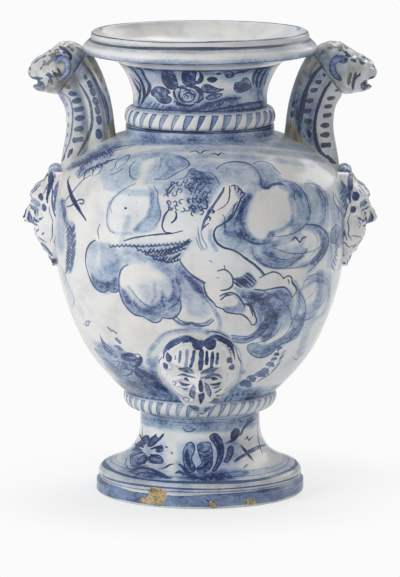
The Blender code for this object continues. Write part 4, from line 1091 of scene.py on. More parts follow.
NECK_PLANTS = [
    ("fill", 8.0, 0.30, [(300, 430), (700, 425), (700, 560), (420, 600), (400, 620), (300, 500)]),
    ("fill", 8.0, 0.34, [(700, 425), (1330, 430), (1330, 640), (1200, 660), (1100, 600), (760, 470)]),
    ("fill", 9.0, 0.34, [(620, 640), (960, 640), (1320, 620), (1320, 820), (560, 820)]),
    ("fill", 4.0, 0.26, [(215, 432), (280, 425), (330, 480), (390, 575), (388, 640), (330, 720),
        (295, 775), (282, 640), (255, 530)]),
    ("stroke", 5.6, 1.00, [(222, 440), (262, 472), (310, 535), (340, 610), (345, 680), (322, 740)]),
    ("stroke", 5.2, 1.00, [(272, 437), (322, 470), (352, 530), (386, 590), (376, 650), (350, 692)]),
    ("stroke", 5.6, 1.00, [(232, 500), (276, 585), (312, 655), (300, 740)]),
    ("stroke", 3.0, 0.95, [(262, 530), (318, 605), (298, 705)]),
    ("petal", 1.4, 0.92, [(330, 425), (370, 436), (405, 432), (408, 456), (380, 468), (345, 458)]),
    ("line", 1.2, 0.80, [(468, 448), (500, 472), (528, 484)]),
    ("petal", 1.3, 0.85, [(480, 500), (505, 478), (545, 475), (582, 505), (600, 552), (606, 604),
        (560, 622), (515, 600), (485, 548)]),
    ("stroke", 4.0, 0.92, [(515, 505), (545, 555), (570, 605)]),
    ("petal", 1.4, 0.90, [(640, 540), (646, 492), (682, 470), (742, 470), (752, 500), (742, 545),
        (752, 580), (690, 588), (652, 575)]),
    ("stroke", 5.0, 0.95, [(662, 560), (665, 510), (700, 482)]),
    ("petal", 1.4, 0.90, [(775, 480), (806, 515), (800, 558), (765, 580), (762, 560), (785, 520)]),
    ("petal", 1.3, 0.85, [(398, 640), (430, 606), (480, 603), (530, 625), (548, 650), (515, 664),
        (556, 690), (550, 722), (505, 735), (455, 715), (430, 682), (402, 668)]),
    ("stroke", 4.0, 0.90, [(430, 640), (470, 660), (505, 700)]),
    ("fill", 3.0, 0.34, [(570, 640), (620, 592), (700, 596), (798, 632), (806, 700), (740, 738),
        (650, 752), (582, 740)]),
    ("line", 1.5, 0.95, [(632, 592), (680, 600), (752, 600), (802, 640), (800, 692), (762, 716)]),
    ("stroke", 3.6, 1.00, [(748, 620), (786, 655), (768, 702)]),
    ("line", 1.4, 0.95, [(572, 648), (598, 612), (632, 618), (618, 665), (640, 700)]),
    ("line", 1.4, 0.90, [(598, 746), (640, 742), (604, 716), (576, 722)]),
    ("line", 1.4, 0.95, [(650, 640), (700, 625), (746, 650), (740, 690), (700, 722), (655, 712),
        (642, 678)]),
    ("line", 1.3, 0.90, [(662, 682), (676, 664), (692, 682), (680, 702)]),
    ("line", 1.3, 0.90, [(702, 660), (722, 668), (714, 692)]),
    ("stroke", 3.4, 1.00, [(606, 604), (655, 612), (705, 638)]),
    ("stroke", 3.2, 1.00, [(706, 606), (770, 622), (800, 672)]),
    ("stroke", 3.0, 1.00, [(618, 640), (622, 690), (662, 728)]),
    ("stroke", 2.6, 1.00, [(650, 668), (690, 648), (738, 668), (728, 712)]),
    ("stroke", 3.0, 0.98, [(578, 632), (584, 676), (612, 712)]),
    ("stroke", 3.2, 0.98, [(736, 728), (776, 716), (812, 690)]),
    ("stroke", 3.0, 0.98, [(596, 728), (646, 744), (700, 760)]),
    ("stroke", 4.4, 0.80, [(690, 800), (800, 760), (960, 706), (1100, 690)]),
    ("stroke", 3.4, 0.80, [(820, 800), (960, 772), (1110, 745), (1290, 716)]),
    ("stroke", 3.2, 1.00, [(662, 745), (700, 752), (742, 738)]),
    ("petal", 1.3, 0.92, [(795, 602), (832, 582), (880, 600), (930, 620), (972, 622), (900, 645),
        (842, 650), (802, 636)]),
    ("petal", 1.3, 0.86, [(825, 690), (862, 666), (920, 655), (960, 660), (930, 682), (880, 700),
        (842, 702)]),
    ("petal", 1.4, 0.95, [(840, 545), (860, 528), (900, 530), (915, 545), (890, 565), (855, 562)]),
    ("dab", 3.4, 0.88, [(918, 502), (932, 500)]), ("dab", 2.8, 0.84, [(872, 462), (890, 460)]),
    ("line", 1.1, 0.60, [(800, 472), (830, 465), (856, 450)]),
    ("petal", 1.4, 0.95, [(975, 490), (1008, 480), (1050, 500), (1036, 526), (1000, 532), (980, 512)]),
    ("stroke", 3.8, 1.00, [(1040, 508), (1090, 488), (1140, 480), (1200, 452)]),
    ("line", 1.3, 0.78, [(1092, 492), (1102, 462), (1132, 450)]),
    ("petal", 1.4, 0.86, [(1048, 612), (1060, 572), (1100, 566), (1130, 530), (1162, 545), (1186, 600),
        (1160, 625), (1100, 645), (1062, 640)]),
    ("fill", 4.0, 0.50, [(1190, 545), (1212, 470), (1262, 430), (1332, 432), (1320, 500), (1290, 580),
        (1240, 612), (1202, 592)]),
    ("stroke", 5.0, 1.00, [(1200, 582), (1206, 510), (1250, 452), (1300, 430)]),
    ("stroke", 5.0, 1.00, [(1226, 600), (1232, 530), (1270, 462), (1312, 440)]),
    ("stroke", 5.0, 1.00, [(1252, 606), (1266, 540), (1300, 480), (1326, 450)]),
    ("stroke", 3.4, 0.98, [(1286, 598), (1300, 530), (1322, 480)]),
    ("line", 1.5, 0.85, [(1242, 620), (1235, 680), (1256, 722)]),
    ("line", 1.5, 0.82, [(1262, 640), (1282, 702)]),
    ("fill", 5.0, 0.40, [(300, 702), (350, 676), (420, 690), (500, 745), (690, 762), (690, 802),
        (480, 802), (330, 792), (285, 782)]),
    ("hatch", 1.6, 0.78, [(390, 735), (460, 765), (540, 775)], 50, 0.9, 34),
    ("fill", 5.0, 0.64, [(690, 792), (722, 750), (820, 720), (960, 680), (1080, 672), (1106, 692),
        (1082, 722), (1160, 740), (1300, 702), (1300, 772), (1100, 802), (900, 812), (720, 812)]),
    ("hatch", 1.8, 0.88, [(800, 770), (870, 760), (950, 745)], 44, 1.2, 34),
]
FOOT_PLANTS = [
    ("fill", 9.0, 0.30, [(150, 380), (420, 300), (460, 500), (420, 600), (130, 600)]),
    ("fill", 9.0, 0.36, [(560, 330), (1000, 300), (1000, 560), (800, 640), (560, 620)]),
    ("line", 1.4, 0.80, [(590, 210), (618, 238), (650, 242), (692, 224)]),
    ("stroke", 2.4, 0.90, [(288, 205), (284, 250), (292, 295)]),
    ("petal", 1.3, 0.86, [(268, 312), (300, 276), (336, 280), (330, 320), (290, 346)]),
    ("petal", 1.3, 0.86, [(320, 352), (342, 300), (386, 274), (402, 310), (360, 352)]),
    ("petal", 1.3, 0.90, [(398, 362), (430, 346), (442, 380), (412, 402), (386, 386)]),
    ("stroke", 2.6, 0.90, [(404, 298), (428, 280), (450, 260)]),
    ("stroke", 3.6, 0.92, [(232, 348), (258, 325), (285, 345)]),
    ("stroke", 3.2, 0.88, [(205, 385), (232, 362), (262, 362)]),
    ("petal", 1.4, 0.66, [(190, 482), (195, 420), (230, 395), (282, 395), (310, 430), (300, 480),
        (250, 502), (205, 506)]),
    ("stroke", 3.4, 1.00, [(262, 262), (280, 292), (302, 330)]),
    ("stroke", 3.2, 0.98, [(330, 345), (352, 305), (392, 262)]),
    ("stroke", 3.0, 0.98, [(352, 354), (392, 320), (446, 274)]),
    ("stroke", 3.6, 1.00, [(348, 376), (392, 362), (436, 368)]),
    ("stroke", 3.4, 1.00, [(296, 364), (262, 344), (226, 338)]),
    ("stroke", 3.2, 0.98, [(284, 386), (246, 376), (200, 392)]),
    ("stroke", 3.2, 0.98, [(284, 406), (240, 412), (188, 442)]),
    ("stroke", 3.0, 0.98, [(294, 424), (262, 446), (236, 484)]),
    ("stroke", 3.2, 1.00, [(318, 428), (314, 458), (296, 494)]),
    ("stroke", 3.0, 0.98, [(342, 416), (376, 430), (424, 452)]),
    ("stroke", 3.0, 0.96, [(332, 434), (354, 472), (404, 482)]),
    ("petal", 1.3, 0.76, [(320, 452), (350, 426), (400, 420), (436, 450), (440, 482), (390, 486),
        (342, 480)]),
    ("line", 1.3, 0.74, [(150, 492), (168, 442), (212, 402)]),
    ("line", 1.3, 0.74, [(152, 492), (190, 532), (250, 518), (330, 498)]),
    ("fill", 3.0, 0.72, [(170, 546), (250, 502), (330, 512), (420, 562), (520, 598), (400, 606),
        (250, 582)]),
    ("stroke", 4.2, 0.96, [(185, 548), (300, 520), (400, 552), (500, 600)]),
    ("stroke", 3.6, 0.92, [(220, 566), (330, 556), (480, 602)]),
    ("stroke", 2.6, 0.86, [(404, 532), (452, 520), (500, 494), (532, 490)]),
    ("dab", 2.2, 0.62, [(462, 358), (474, 362)]), ("dab", 2.2, 0.62, [(504, 402), (514, 410)]),
    ("petal", 1.4, 0.70, [(600, 472), (595, 400), (620, 342), (655, 322), (680, 350), (678, 402),
        (660, 452), (690, 532), (642, 560), (610, 532)]),
    ("stroke", 5.5, 0.95, [(625, 380), (628, 440), (650, 520)]),
    ("petal", 1.4, 0.62, [(705, 346), (740, 325), (790, 325), (812, 352), (820, 430), (810, 512),
        (770, 550), (722, 562), (700, 522), (740, 482), (722, 430), (710, 390)]),
    ("stroke", 2.2, 0.88, [(710, 382), (760, 402), (802, 372)]),
    ("stroke", 2.2, 0.88, [(716, 412), (770, 432), (816, 410)]),
    ("stroke", 3.8, 0.95, [(700, 530), (745, 520), (792, 470)]),
    ("petal", 1.5, 0.74, [(800, 282), (826, 258), (862, 266), (896, 320), (906, 400), (890, 462),
        (850, 532), (820, 542), (850, 480), (860, 400), (832, 332), (806, 302)]),
    ("stroke", 4.6, 0.95, [(832, 282), (872, 350), (880, 430)]),
    ("petal", 1.4, 0.70, [(905, 472), (930, 430), (940, 372), (968, 350), (982, 390), (962, 442),
        (930, 482)]),
    ("stroke", 2.4, 0.82, [(920, 332), (960, 316), (1000, 292), (1020, 240)]),
    ("petal", 1.3, 0.90, [(965, 250), (1000, 220), (1028, 236), (1015, 282), (975, 310), (960, 282)]),
    ("stroke", 4.6, 0.80, [(1030, 272), (1070, 202), (1100, 170), (1142, 150)]),
    ("line", 1.5, 0.90, [(1070, 302), (1090, 280), (1096, 310), (1132, 274)]),
    ("stroke", 4.4, 0.76, [(990, 470), (1060, 422), (1130, 382), (1226, 340)]),
    ("stroke", 4.2, 0.95, [(1038, 348), (1080, 400), (1134, 468)]),
    ("stroke", 2.4, 0.90, [(1165, 160), (1168, 260), (1180, 342), (1206, 426)]),
    ("stroke", 2.2, 0.58, [(1058, 522), (1092, 490)]),
    ("fill", 5.0, 0.66, [(560, 602), (640, 560), (760, 562), (900, 532), (1040, 530), (1100, 560),
        (1000, 600), (800, 622), (620, 616)]),
    ("hatch", 1.8, 0.75, [(640, 600), (760, 590), (900, 570)], 30, 1.6, 44),
    ("stroke", 5.0, 0.90, [(540, 560), (570, 550), (602, 576)]),
    ("stroke", 6.0, 0.86, [(565, 492), (600, 520), (640, 575), (690, 600)]),
]
FOOT_CHIPS = [
    ("fill", 1.6, 1.0, [(335, 690), (370, 665), (430, 680), (470, 710), (462, 760), (440, 800),
        (380, 800), (300, 790), (252, 772), (262, 748), (318, 745)], "bare"),
    ("fill", 1.4, 1.0, [(792, 778), (820, 772), (850, 800), (862, 830), (820, 828), (796, 806)], "bare"),
    ("fill", 1.4, 1.0, [(1062, 772), (1090, 756), (1140, 762), (1160, 782), (1130, 800),
        (1072, 800)], "bare"),
    ("fill", 1.2, 0.9, [(608, 645), (622, 642), (626, 654), (612, 656)], "bare"),
    ("line", 1.1, 0.95, [(758, 748), (785, 775), (830, 805), (852, 828)]),
    ("dab", 3.0, 0.90, [(375, 735), (398, 745)]),
]
LEFT_HANDLE = [
    # Blue-grey painted shade behind the ear, over the joint of handle and head
    ("fill", 6.0, 0.40, [(380, 150), (440, 130), (480, 200), (450, 300), (370, 330), (350, 260)]),
    ("band", 5.0, 0.36, [(350, 340), (400, 430), (430, 540), (420, 640)]),
    ("band", 5.0, 0.34, [(268, 330), (300, 420), (296, 540), (270, 640)]),
    ("dab", 5.0, 0.79, [(318, 352), (332, 360)]), ("dab", 5.9, 0.74, [(350, 398), (374, 402)]),
    ("dab", 6.4, 0.74, [(370, 448), (405, 440)]), ("dab", 6.1, 0.70, [(380, 502), (418, 494)]),
    ("dab", 6.1, 0.70, [(385, 556), (425, 550)]), ("dab", 5.9, 0.67, [(380, 624), (420, 616)]),
    ("dab", 6.1, 0.67, [(372, 692), (414, 686)]), ("dab", 5.2, 0.74, [(438, 288), (443, 302)]),
    ("dab", 5.4, 0.79, [(464, 330), (472, 350)]), ("dab", 5.9, 0.72, [(482, 378), (492, 402)]),
    ("dab", 5.9, 0.72, [(498, 432), (508, 458)]), ("dab", 6.1, 0.74, [(513, 490), (518, 514)]),
    ("dab", 6.4, 0.77, [(524, 552), (530, 580)]), ("dab", 7.6, 0.84, [(522, 636), (528, 664)]),
    ("stroke", 4.2, 0.81, [(406, 340), (440, 395), (470, 460), (482, 560), (470, 640), (430, 720),
        (390, 790)]),
    ("stroke", 5.0, 0.84, [(458, 242), (490, 290), (525, 360), (560, 450), (582, 560), (580, 690)]),
    ("stroke", 2.4, 0.64, [(285, 392), (330, 420), (356, 480), (360, 570), (346, 680), (318, 760),
        (286, 832)]),
    ("dab", 2.8, 0.51, [(322, 462), (326, 476)]), ("dab", 2.8, 0.51, [(334, 520), (336, 536)]),
    ("dab", 2.8, 0.46, [(334, 590), (334, 604)]), ("dab", 2.8, 0.46, [(328, 652), (326, 668)]),
    ("dab", 2.8, 0.46, [(318, 716), (315, 730)]), ("dab", 4.2, 0.51, [(500, 244), (507, 258)]),
    ("dab", 4.2, 0.51, [(537, 310), (543, 322)]), ("dab", 4.2, 0.46, [(566, 366), (572, 380)]),
    ("dab", 4.2, 0.46, [(586, 418), (592, 434)]),
    ("stroke", 5.0, 0.81, [(330, 800), (345, 770), (360, 745)]),
    ("stroke", 3.4, 0.77, [(290, 830), (305, 800), (312, 770)]),
    ("fill", 5.0, 0.30, [(480, 300), (560, 430), (595, 560), (590, 690), (540, 700), (560, 560),
        (520, 420)]),
    ("fill", 6.0, 0.45, [(270, 305), (400, 285), (420, 330), (380, 370), (300, 372)], "stain"),
    ("fill", 6.0, 0.60, [(330, 80), (420, 95), (500, 200), (540, 300), (480, 270), (400, 180)], "stain"),
    ("fill", 6.0, 0.80, [(560, 680), (610, 560), (690, 640), (640, 700)], "stain"),
    ("fill", 8.0, 0.35, [(440, 640), (500, 700), (420, 800), (360, 800), (420, 720)], "stain"),
]
RIGHT_HANDLE = [
    # Blue-grey painted shade behind the ear, over the joint of handle and head
    ("fill", 7.0, 0.36, [(200, 180), (290, 120), (345, 150), (335, 230), (280, 320), (200, 320)]),
    ("fill", 9.0, 0.30, [(120, 240), (220, 260), (260, 420), (250, 600), (280, 760), (130, 640),
        (100, 440)]),
    ("band", 6.0, 0.40, [(190, 260), (140, 380), (130, 500), (150, 620)]),
    ("dab", 3.4, 0.99, [(380, 380), (395, 376)]), ("dab", 5.0, 1.00, [(338, 430), (366, 426)]),
    ("dab", 5.2, 1.00, [(318, 482), (350, 478)]), ("dab", 5.2, 1.00, [(312, 538), (345, 532)]),
    ("dab", 5.6, 1.00, [(294, 600), (332, 596)]), ("dab", 6.0, 1.00, [(294, 660), (334, 656)]),
    ("dab", 6.0, 1.00, [(300, 724), (340, 720)]), ("dab", 4.2, 1.00, [(304, 280), (312, 286)]),
    ("dab", 5.0, 1.00, [(266, 328), (280, 326)]), ("dab", 5.2, 0.99, [(234, 380), (256, 376)]),
    ("dab", 5.4, 0.99, [(206, 446), (228, 444)]), ("dab", 5.4, 0.99, [(190, 510), (214, 508)]),
    ("dab", 5.4, 0.99, [(196, 574), (218, 574)]), ("dab", 6.0, 1.00, [(205, 636), (216, 660)]),
    ("stroke", 4.6, 1.00, [(348, 325), (310, 380), (280, 450), (252, 550), (250, 660), (280, 760),
        (370, 832)]),
    ("stroke", 5.6, 1.00, [(318, 210), (260, 260), (215, 330), (182, 420), (160, 540), (150, 640),
        (170, 710)]),
    ("dab", 3.4, 0.75, [(182, 262), (188, 272)]), ("dab", 3.6, 0.81, [(158, 330), (160, 345)]),
    ("dab", 3.6, 0.75, [(114, 460), (112, 475)]), ("dab", 4.0, 0.87, [(106, 518), (104, 540)]),
    ("dab", 3.6, 0.70, [(100, 598), (98, 614)]),
    ("stroke", 2.2, 0.72, [(372, 520), (366, 580), (380, 680), (400, 760), (418, 840)]),
    ("stroke", 5.0, 0.99, [(330, 790), (352, 820), (380, 835)]),
    ("fill", 6.0, 0.35, [(160, 540), (210, 460), (240, 560), (240, 700), (170, 710)]),
    ("fill", 6.0, 0.55, [(200, 170), (300, 130), (330, 180), (230, 260), (150, 380), (130, 340)], "stain"),
    ("fill", 6.0, 0.85, [(60, 640), (100, 560), (140, 640), (220, 740), (140, 720)], "stain"),
    ("fill", 6.0, 0.40, [(360, 740), (420, 760), (430, 850), (380, 840)], "stain"),
]
LEFT_HEAD = [
    ("dab", 4.0, 0.72, [(184, 214), (196, 212)]), ("dab", 4.2, 0.76, [(218, 196), (230, 190)]),
    ("dab", 3.8, 0.74, [(226, 164), (236, 156)]), ("dab", 3.8, 0.78, [(176, 172), (188, 164)]),
    ("dab", 4.0, 0.80, [(254, 130), (266, 124)]), ("dab", 4.0, 0.76, [(288, 116), (300, 110)]),
    ("dab", 4.2, 0.80, [(308, 140), (320, 132)]),
    ("stroke", 3.0, 0.85, [(206, 330), (216, 312), (228, 330), (240, 344)]),
    # Blue-grey painted shade behind the ear, over the joint of handle and head
    ("fill", 6.0, 0.40, [(380, 150), (440, 130), (480, 200), (450, 300), (370, 330), (350, 260)]),
    ("fill", 5.0, 0.26, [(100, 330), (200, 300), (300, 320), (280, 360), (160, 370)]),
    ("dab", 3.4, 0.72, [(178, 198), (186, 200)]), ("dab", 3.4, 0.70, [(200, 214), (208, 218)]),
    ("dab", 3.2, 0.67, [(262, 182), (272, 188)]), ("dab", 3.0, 0.70, [(256, 134), (264, 140)]),
    ("dab", 3.0, 0.65, [(214, 132), (222, 138)]), ("dab", 3.2, 0.60, [(356, 118), (364, 124)]),
    ("dab", 3.2, 0.60, [(384, 106), (392, 112)]), ("dab", 3.0, 0.58, [(404, 122), (414, 128)]),
    ("fill", 7.0, 0.55, [(300, 250), (360, 290), (300, 320), (250, 310)], "stain"),
    ("stroke", 5.0, 1.00, [(278, 104), (304, 118), (330, 140), (350, 168), (330, 196), (308, 198)]),
    ("dab", 3.6, 0.87, [(318, 108), (336, 104)]), ("dab", 3.2, 0.81, [(350, 118), (362, 128)]),
    ("dab", 3.0, 0.75, [(262, 132), (272, 142)]), ("dab", 3.2, 0.75, [(298, 88), (312, 92)]),
    ("stroke", 2.6, 0.81, [(118, 208), (150, 182), (192, 156)]),
    ("stroke", 3.0, 0.93, [(208, 160), (232, 150), (250, 152), (244, 172), (222, 172)]),
    ("dab", 3.8, 0.90, [(222, 192), (212, 206)]), ("dab", 3.2, 0.87, [(188, 212), (176, 220)]),
    ("dab", 3.0, 0.87, [(166, 234), (160, 246)]),
    ("stroke", 3.0, 0.93, [(188, 278), (210, 290), (226, 312), (236, 344)]),
    ("stroke", 3.0, 0.93, [(206, 270), (222, 285), (240, 300)]),
    ("stroke", 3.0, 0.95, [(234, 256), (248, 280), (266, 312)]),
    ("stroke", 2.8, 0.95, [(262, 238), (280, 262), (288, 284)]),
    ("stroke", 2.6, 0.87, [(252, 262), (268, 280), (282, 290)]), ("dab", 3.2, 0.99, [(88, 236), (96, 246)]),
    ("dab", 2.8, 0.93, [(84, 268), (90, 280)]),
    ("stroke", 4.4, 0.84, [(96, 292), (118, 304), (150, 308), (172, 300)]),
    ("fill", 1.6, 0.85, [(112, 318), (150, 314), (186, 334), (168, 352), (134, 346)]),
    ("petal", 1.4, 0.66, [(112, 345), (150, 352), (182, 342), (178, 384), (142, 394), (108, 375)]),
    ("fill", 5.0, 0.36, [(140, 190), (250, 130), (300, 180), (220, 250), (140, 250)], "stain"),
    ("fill", 5.0, 0.50, [(300, 80), (400, 95), (430, 160), (380, 130), (320, 110)], "stain"),
    ("fill", 5.0, 0.30, [(200, 320), (300, 300), (300, 380), (190, 385)], "stain"),
]
RIGHT_HEAD = [
    ("dab", 4.4, 0.80, [(388, 102), (402, 98)]), ("dab", 4.2, 0.84, [(430, 114), (444, 112)]),
    ("dab", 4.8, 0.90, [(484, 188), (498, 190)]), ("dab", 4.2, 0.84, [(540, 202), (552, 206)]),
    ("dab", 4.4, 0.86, [(450, 162), (464, 160)]), ("dab", 4.0, 0.70, [(334, 114), (348, 110)]),
    ("dab", 4.0, 0.70, [(294, 142), (306, 136)]),
    # Blue-grey painted shade behind the ear, over the joint of handle and head
    ("fill", 7.0, 0.36, [(200, 180), (290, 120), (345, 150), (335, 230), (280, 320), (200, 320)]),
    ("dab", 3.4, 0.72, [(370, 104), (378, 110)]), ("dab", 3.2, 0.70, [(402, 126), (410, 132)]),
    ("dab", 3.2, 0.65, [(438, 104), (448, 110)]),
    ("stroke", 2.6, 0.77, [(500, 150), (522, 168), (540, 190)]),
    ("stroke", 2.6, 0.77, [(540, 150), (560, 170), (576, 190)]),
    ("stroke", 4.2, 0.99, [(474, 270), (464, 310), (460, 345)]),
    ("stroke", 4.2, 0.99, [(506, 268), (494, 310), (488, 360)]),
    ("stroke", 3.0, 0.93, [(534, 268), (520, 290)]),
    ("fill", 8.0, 0.40, [(420, 240), (480, 260), (470, 330), (400, 300)], "stain"),
    ("stroke", 5.0, 0.93, [(410, 100), (432, 128), (450, 145)]),
    ("dab", 3.6, 0.81, [(385, 92), (400, 104)]), ("dab", 3.0, 0.75, [(340, 110), (352, 118)]),
    ("dab", 3.0, 0.75, [(296, 130), (302, 145)]), ("dab", 3.4, 0.81, [(458, 150), (470, 164)]),
    ("dab", 4.0, 0.90, [(484, 188), (500, 196)]), ("dab", 3.2, 0.87, [(516, 180), (528, 190)]),
    ("dab", 3.4, 0.93, [(532, 204), (546, 212)]),
    ("stroke", 3.0, 0.87, [(540, 168), (570, 180), (598, 202)]),
    ("dab", 3.0, 0.87, [(618, 232), (624, 244)]),
    ("stroke", 3.2, 0.99, [(478, 268), (464, 300), (452, 340)]),
    ("stroke", 4.0, 1.00, [(532, 280), (502, 305), (488, 340), (486, 372)]),
    ("stroke", 3.4, 0.93, [(632, 285), (608, 300), (578, 312), (556, 318)]),
    ("fill", 1.6, 0.90, [(540, 335), (575, 320), (606, 325), (600, 345), (560, 352)]),
    ("petal", 1.4, 0.80, [(536, 340), (560, 330), (604, 345), (604, 376), (576, 385), (542, 366)]),
    ("fill", 5.0, 0.36, [(450, 190), (540, 220), (560, 260), (500, 270), (450, 240)], "stain"),
    ("fill", 5.0, 0.55, [(290, 120), (340, 80), (440, 84), (430, 120), (360, 110), (310, 170)], "stain"),
]
MASK_PAINT = [
    ("stroke", 6.0, 0.88, [(106, 305), (112, 262), (140, 215), (190, 178), (250, 158), (320, 152),
        (385, 162), (420, 185)]),
    ("line", 1.2, 0.95, [(130, 275), (160, 225), (220, 190), (290, 176), (345, 182)]),
    ("dab", 11.0, 0.80, [(372, 190), (390, 194)]),
    ("line", 1.2, 0.95, [(335, 200), (360, 225), (400, 226), (425, 200)]),
    ("stroke", 6.0, 0.88, [(436, 172), (490, 138), (545, 134), (600, 160), (645, 205), (668, 262),
        (676, 320)]),
    ("line", 1.2, 0.95, [(500, 160), (560, 165), (610, 200), (640, 255), (648, 300)]),
    ("dab", 11.5, 0.88, [(466, 190), (488, 192)]),
    ("line", 1.2, 0.95, [(440, 205), (465, 230), (505, 226), (522, 196)]),
    ("dab", 9.0, 0.92, [(134, 300), (146, 304)]), ("dab", 7.4, 0.85, [(118, 364), (126, 370)]),
    ("dab", 9.0, 0.85, [(630, 322), (640, 328)]), ("dab", 7.4, 0.75, [(650, 372), (658, 378)]),
    ("dab", 2.2, 0.55, [(200, 288), (200, 314)]), ("dab", 3.4, 0.66, [(240, 252), (238, 295), (234, 336)]),
    ("dab", 3.6, 0.46, [(296, 245), (293, 305), (284, 372)]),
    ("dab", 3.8, 0.86, [(352, 252), (342, 310), (326, 370)]),
    ("dab", 5.6, 0.92, [(410, 248), (408, 320), (402, 398)]),
    ("dab", 3.8, 0.98, [(452, 258), (454, 300), (450, 348)]),
    ("dab", 4.0, 0.88, [(500, 260), (497, 315), (488, 376)]),
    ("dab", 3.4, 0.80, [(540, 270), (538, 305), (532, 346)]),
    ("fill", 1.2, 0.66, [(230, 394), (270, 378), (315, 386), (352, 424), (318, 430), (266, 414)]),
    ("line", 1.5, 0.92, [(230, 392), (270, 378), (315, 388), (352, 424)]),
    ("fill", 1.2, 0.66, [(402, 432), (438, 400), (495, 380), (548, 380), (515, 412), (460, 430)]),
    ("line", 1.5, 0.92, [(402, 430), (440, 400), (495, 380), (548, 380)]),
    ("stroke", 2.4, 0.72, [(218, 446), (260, 436), (310, 450), (366, 464)]),
    ("dab", 4.2, 0.92, [(284, 474), (298, 484)]),
    ("stroke", 3.6, 0.62, [(404, 466), (450, 456), (490, 440), (545, 440), (576, 468)]),
    ("dab", 4.8, 0.90, [(502, 470), (518, 478)]), ("line", 1.4, 0.85, [(440, 470), (490, 462), (545, 470)]),
    ("stroke", 3.4, 0.78, [(234, 496), (270, 518), (316, 516)]),
    ("stroke", 2.0, 0.66, [(245, 540), (275, 554), (306, 550)]),
    ("stroke", 3.4, 0.82, [(478, 514), (525, 516), (572, 500)]),
    ("stroke", 2.2, 0.70, [(496, 542), (530, 540), (566, 524)]),
    ("line", 1.3, 0.62, [(180, 500), (190, 488), (206, 508), (194, 522), (182, 512)]),
    ("fill", 1.2, 0.66, [(352, 516), (364, 556), (352, 632), (314, 600), (328, 548)]),
    ("line", 1.3, 0.88, [(352, 516), (330, 548), (316, 600), (350, 632)]),
    ("stroke", 6.4, 1.00, [(402, 492), (408, 560), (410, 620), (404, 668)]),
    ("fill", 1.2, 0.74, [(434, 500), (464, 520), (486, 584), (478, 618), (452, 590), (438, 540)]),
    ("line", 1.3, 0.85, [(434, 500), (464, 522), (486, 584), (478, 618)]),
    ("stroke", 2.2, 0.80, [(516, 582), (545, 570), (578, 546)]),
    ("stroke", 2.8, 0.90, [(528, 606), (558, 604), (590, 590)]),
    ("stroke", 2.0, 0.70, [(590, 566), (612, 548), (626, 530)]),
    ("line", 1.6, 0.72, [(84, 468), (136, 540), (205, 596), (284, 644)]),
    ("line", 1.3, 0.62, [(150, 520), (205, 575), (262, 612)]),
    ("line", 1.6, 0.74, [(256, 636), (276, 620), (306, 628), (310, 650), (292, 652)]),
    ("petal", 1.2, 0.62, [(472, 662), (516, 632), (556, 640), (532, 668)]),
    ("fill", 1.2, 0.96, [(300, 680), (345, 684), (388, 698), (386, 732), (335, 718)]),
    ("fill", 1.2, 0.96, [(428, 704), (480, 694), (544, 688), (500, 722), (438, 742)]),
    ("line", 1.6, 0.85, [(300, 682), (338, 728), (400, 748), (462, 744), (546, 688)]),
    ("fill", 1.5, 0.34, [(388, 698), (428, 702), (434, 742), (388, 734)]),
    ("line", 1.4, 0.60, [(104, 292), (104, 236), (142, 176), (226, 128), (330, 116), (398, 130),
        (432, 158), (472, 122), (544, 106), (612, 128), (668, 188), (700, 280)]),
    ("line", 1.8, 0.75, [(560, 118), (636, 156), (686, 232), (706, 300), (742, 372), (720, 446),
        (668, 524), (612, 604), (556, 674)]),
    ("line", 2.0, 0.80, [(96, 296), (60, 344), (58, 396), (92, 462), (140, 530)]),
    ("dab", 1.6, 0.45, [(616, 430), (622, 436)]), ("dab", 1.6, 0.45, [(150, 424), (156, 430)]),
]
SIDE_FRAME = [
    ("stroke", 2.8, 0.90, [(350, 500), (362, 580), (385, 660)]),
    ("stroke", 2.8, 0.90, [(450, 500), (438, 580), (415, 660)]),
    ("stroke", 2.6, 0.85, [(300, 480), (320, 570), (360, 650)]),
    ("stroke", 2.6, 0.85, [(500, 480), (480, 570), (440, 650)]),
    ("stroke", 7.0, 0.62, [(150, 120), (100, 180), (72, 260), (66, 320)]),
    ("stroke", 7.6, 0.60, [(60, 350), (52, 420), (82, 500), (130, 570)]),
    ("stroke", 8.0, 0.86, [(140, 590), (190, 650), (260, 705), (340, 745)]),
    ("line", 1.3, 0.85, [(110, 330), (96, 400), (120, 480), (175, 560)]),
    ("stroke", 7.0, 0.62, [(650, 120), (700, 180), (730, 260), (736, 320)]),
    ("stroke", 7.6, 0.60, [(740, 350), (750, 420), (720, 500), (672, 570)]),
    ("stroke", 8.0, 0.86, [(662, 590), (610, 650), (540, 705), (460, 745)]),
    ("line", 1.3, 0.85, [(692, 330), (704, 400), (680, 480), (626, 560)]),
    ("stroke", 2.6, 0.70, [(170, 440), (200, 475), (230, 500)]),
    ("stroke", 3.4, 0.62, [(160, 380), (176, 396)]),
    ("stroke", 2.6, 0.70, [(630, 440), (600, 475), (575, 500)]),
    ("stroke", 3.4, 0.62, [(640, 380), (625, 396)]),
]
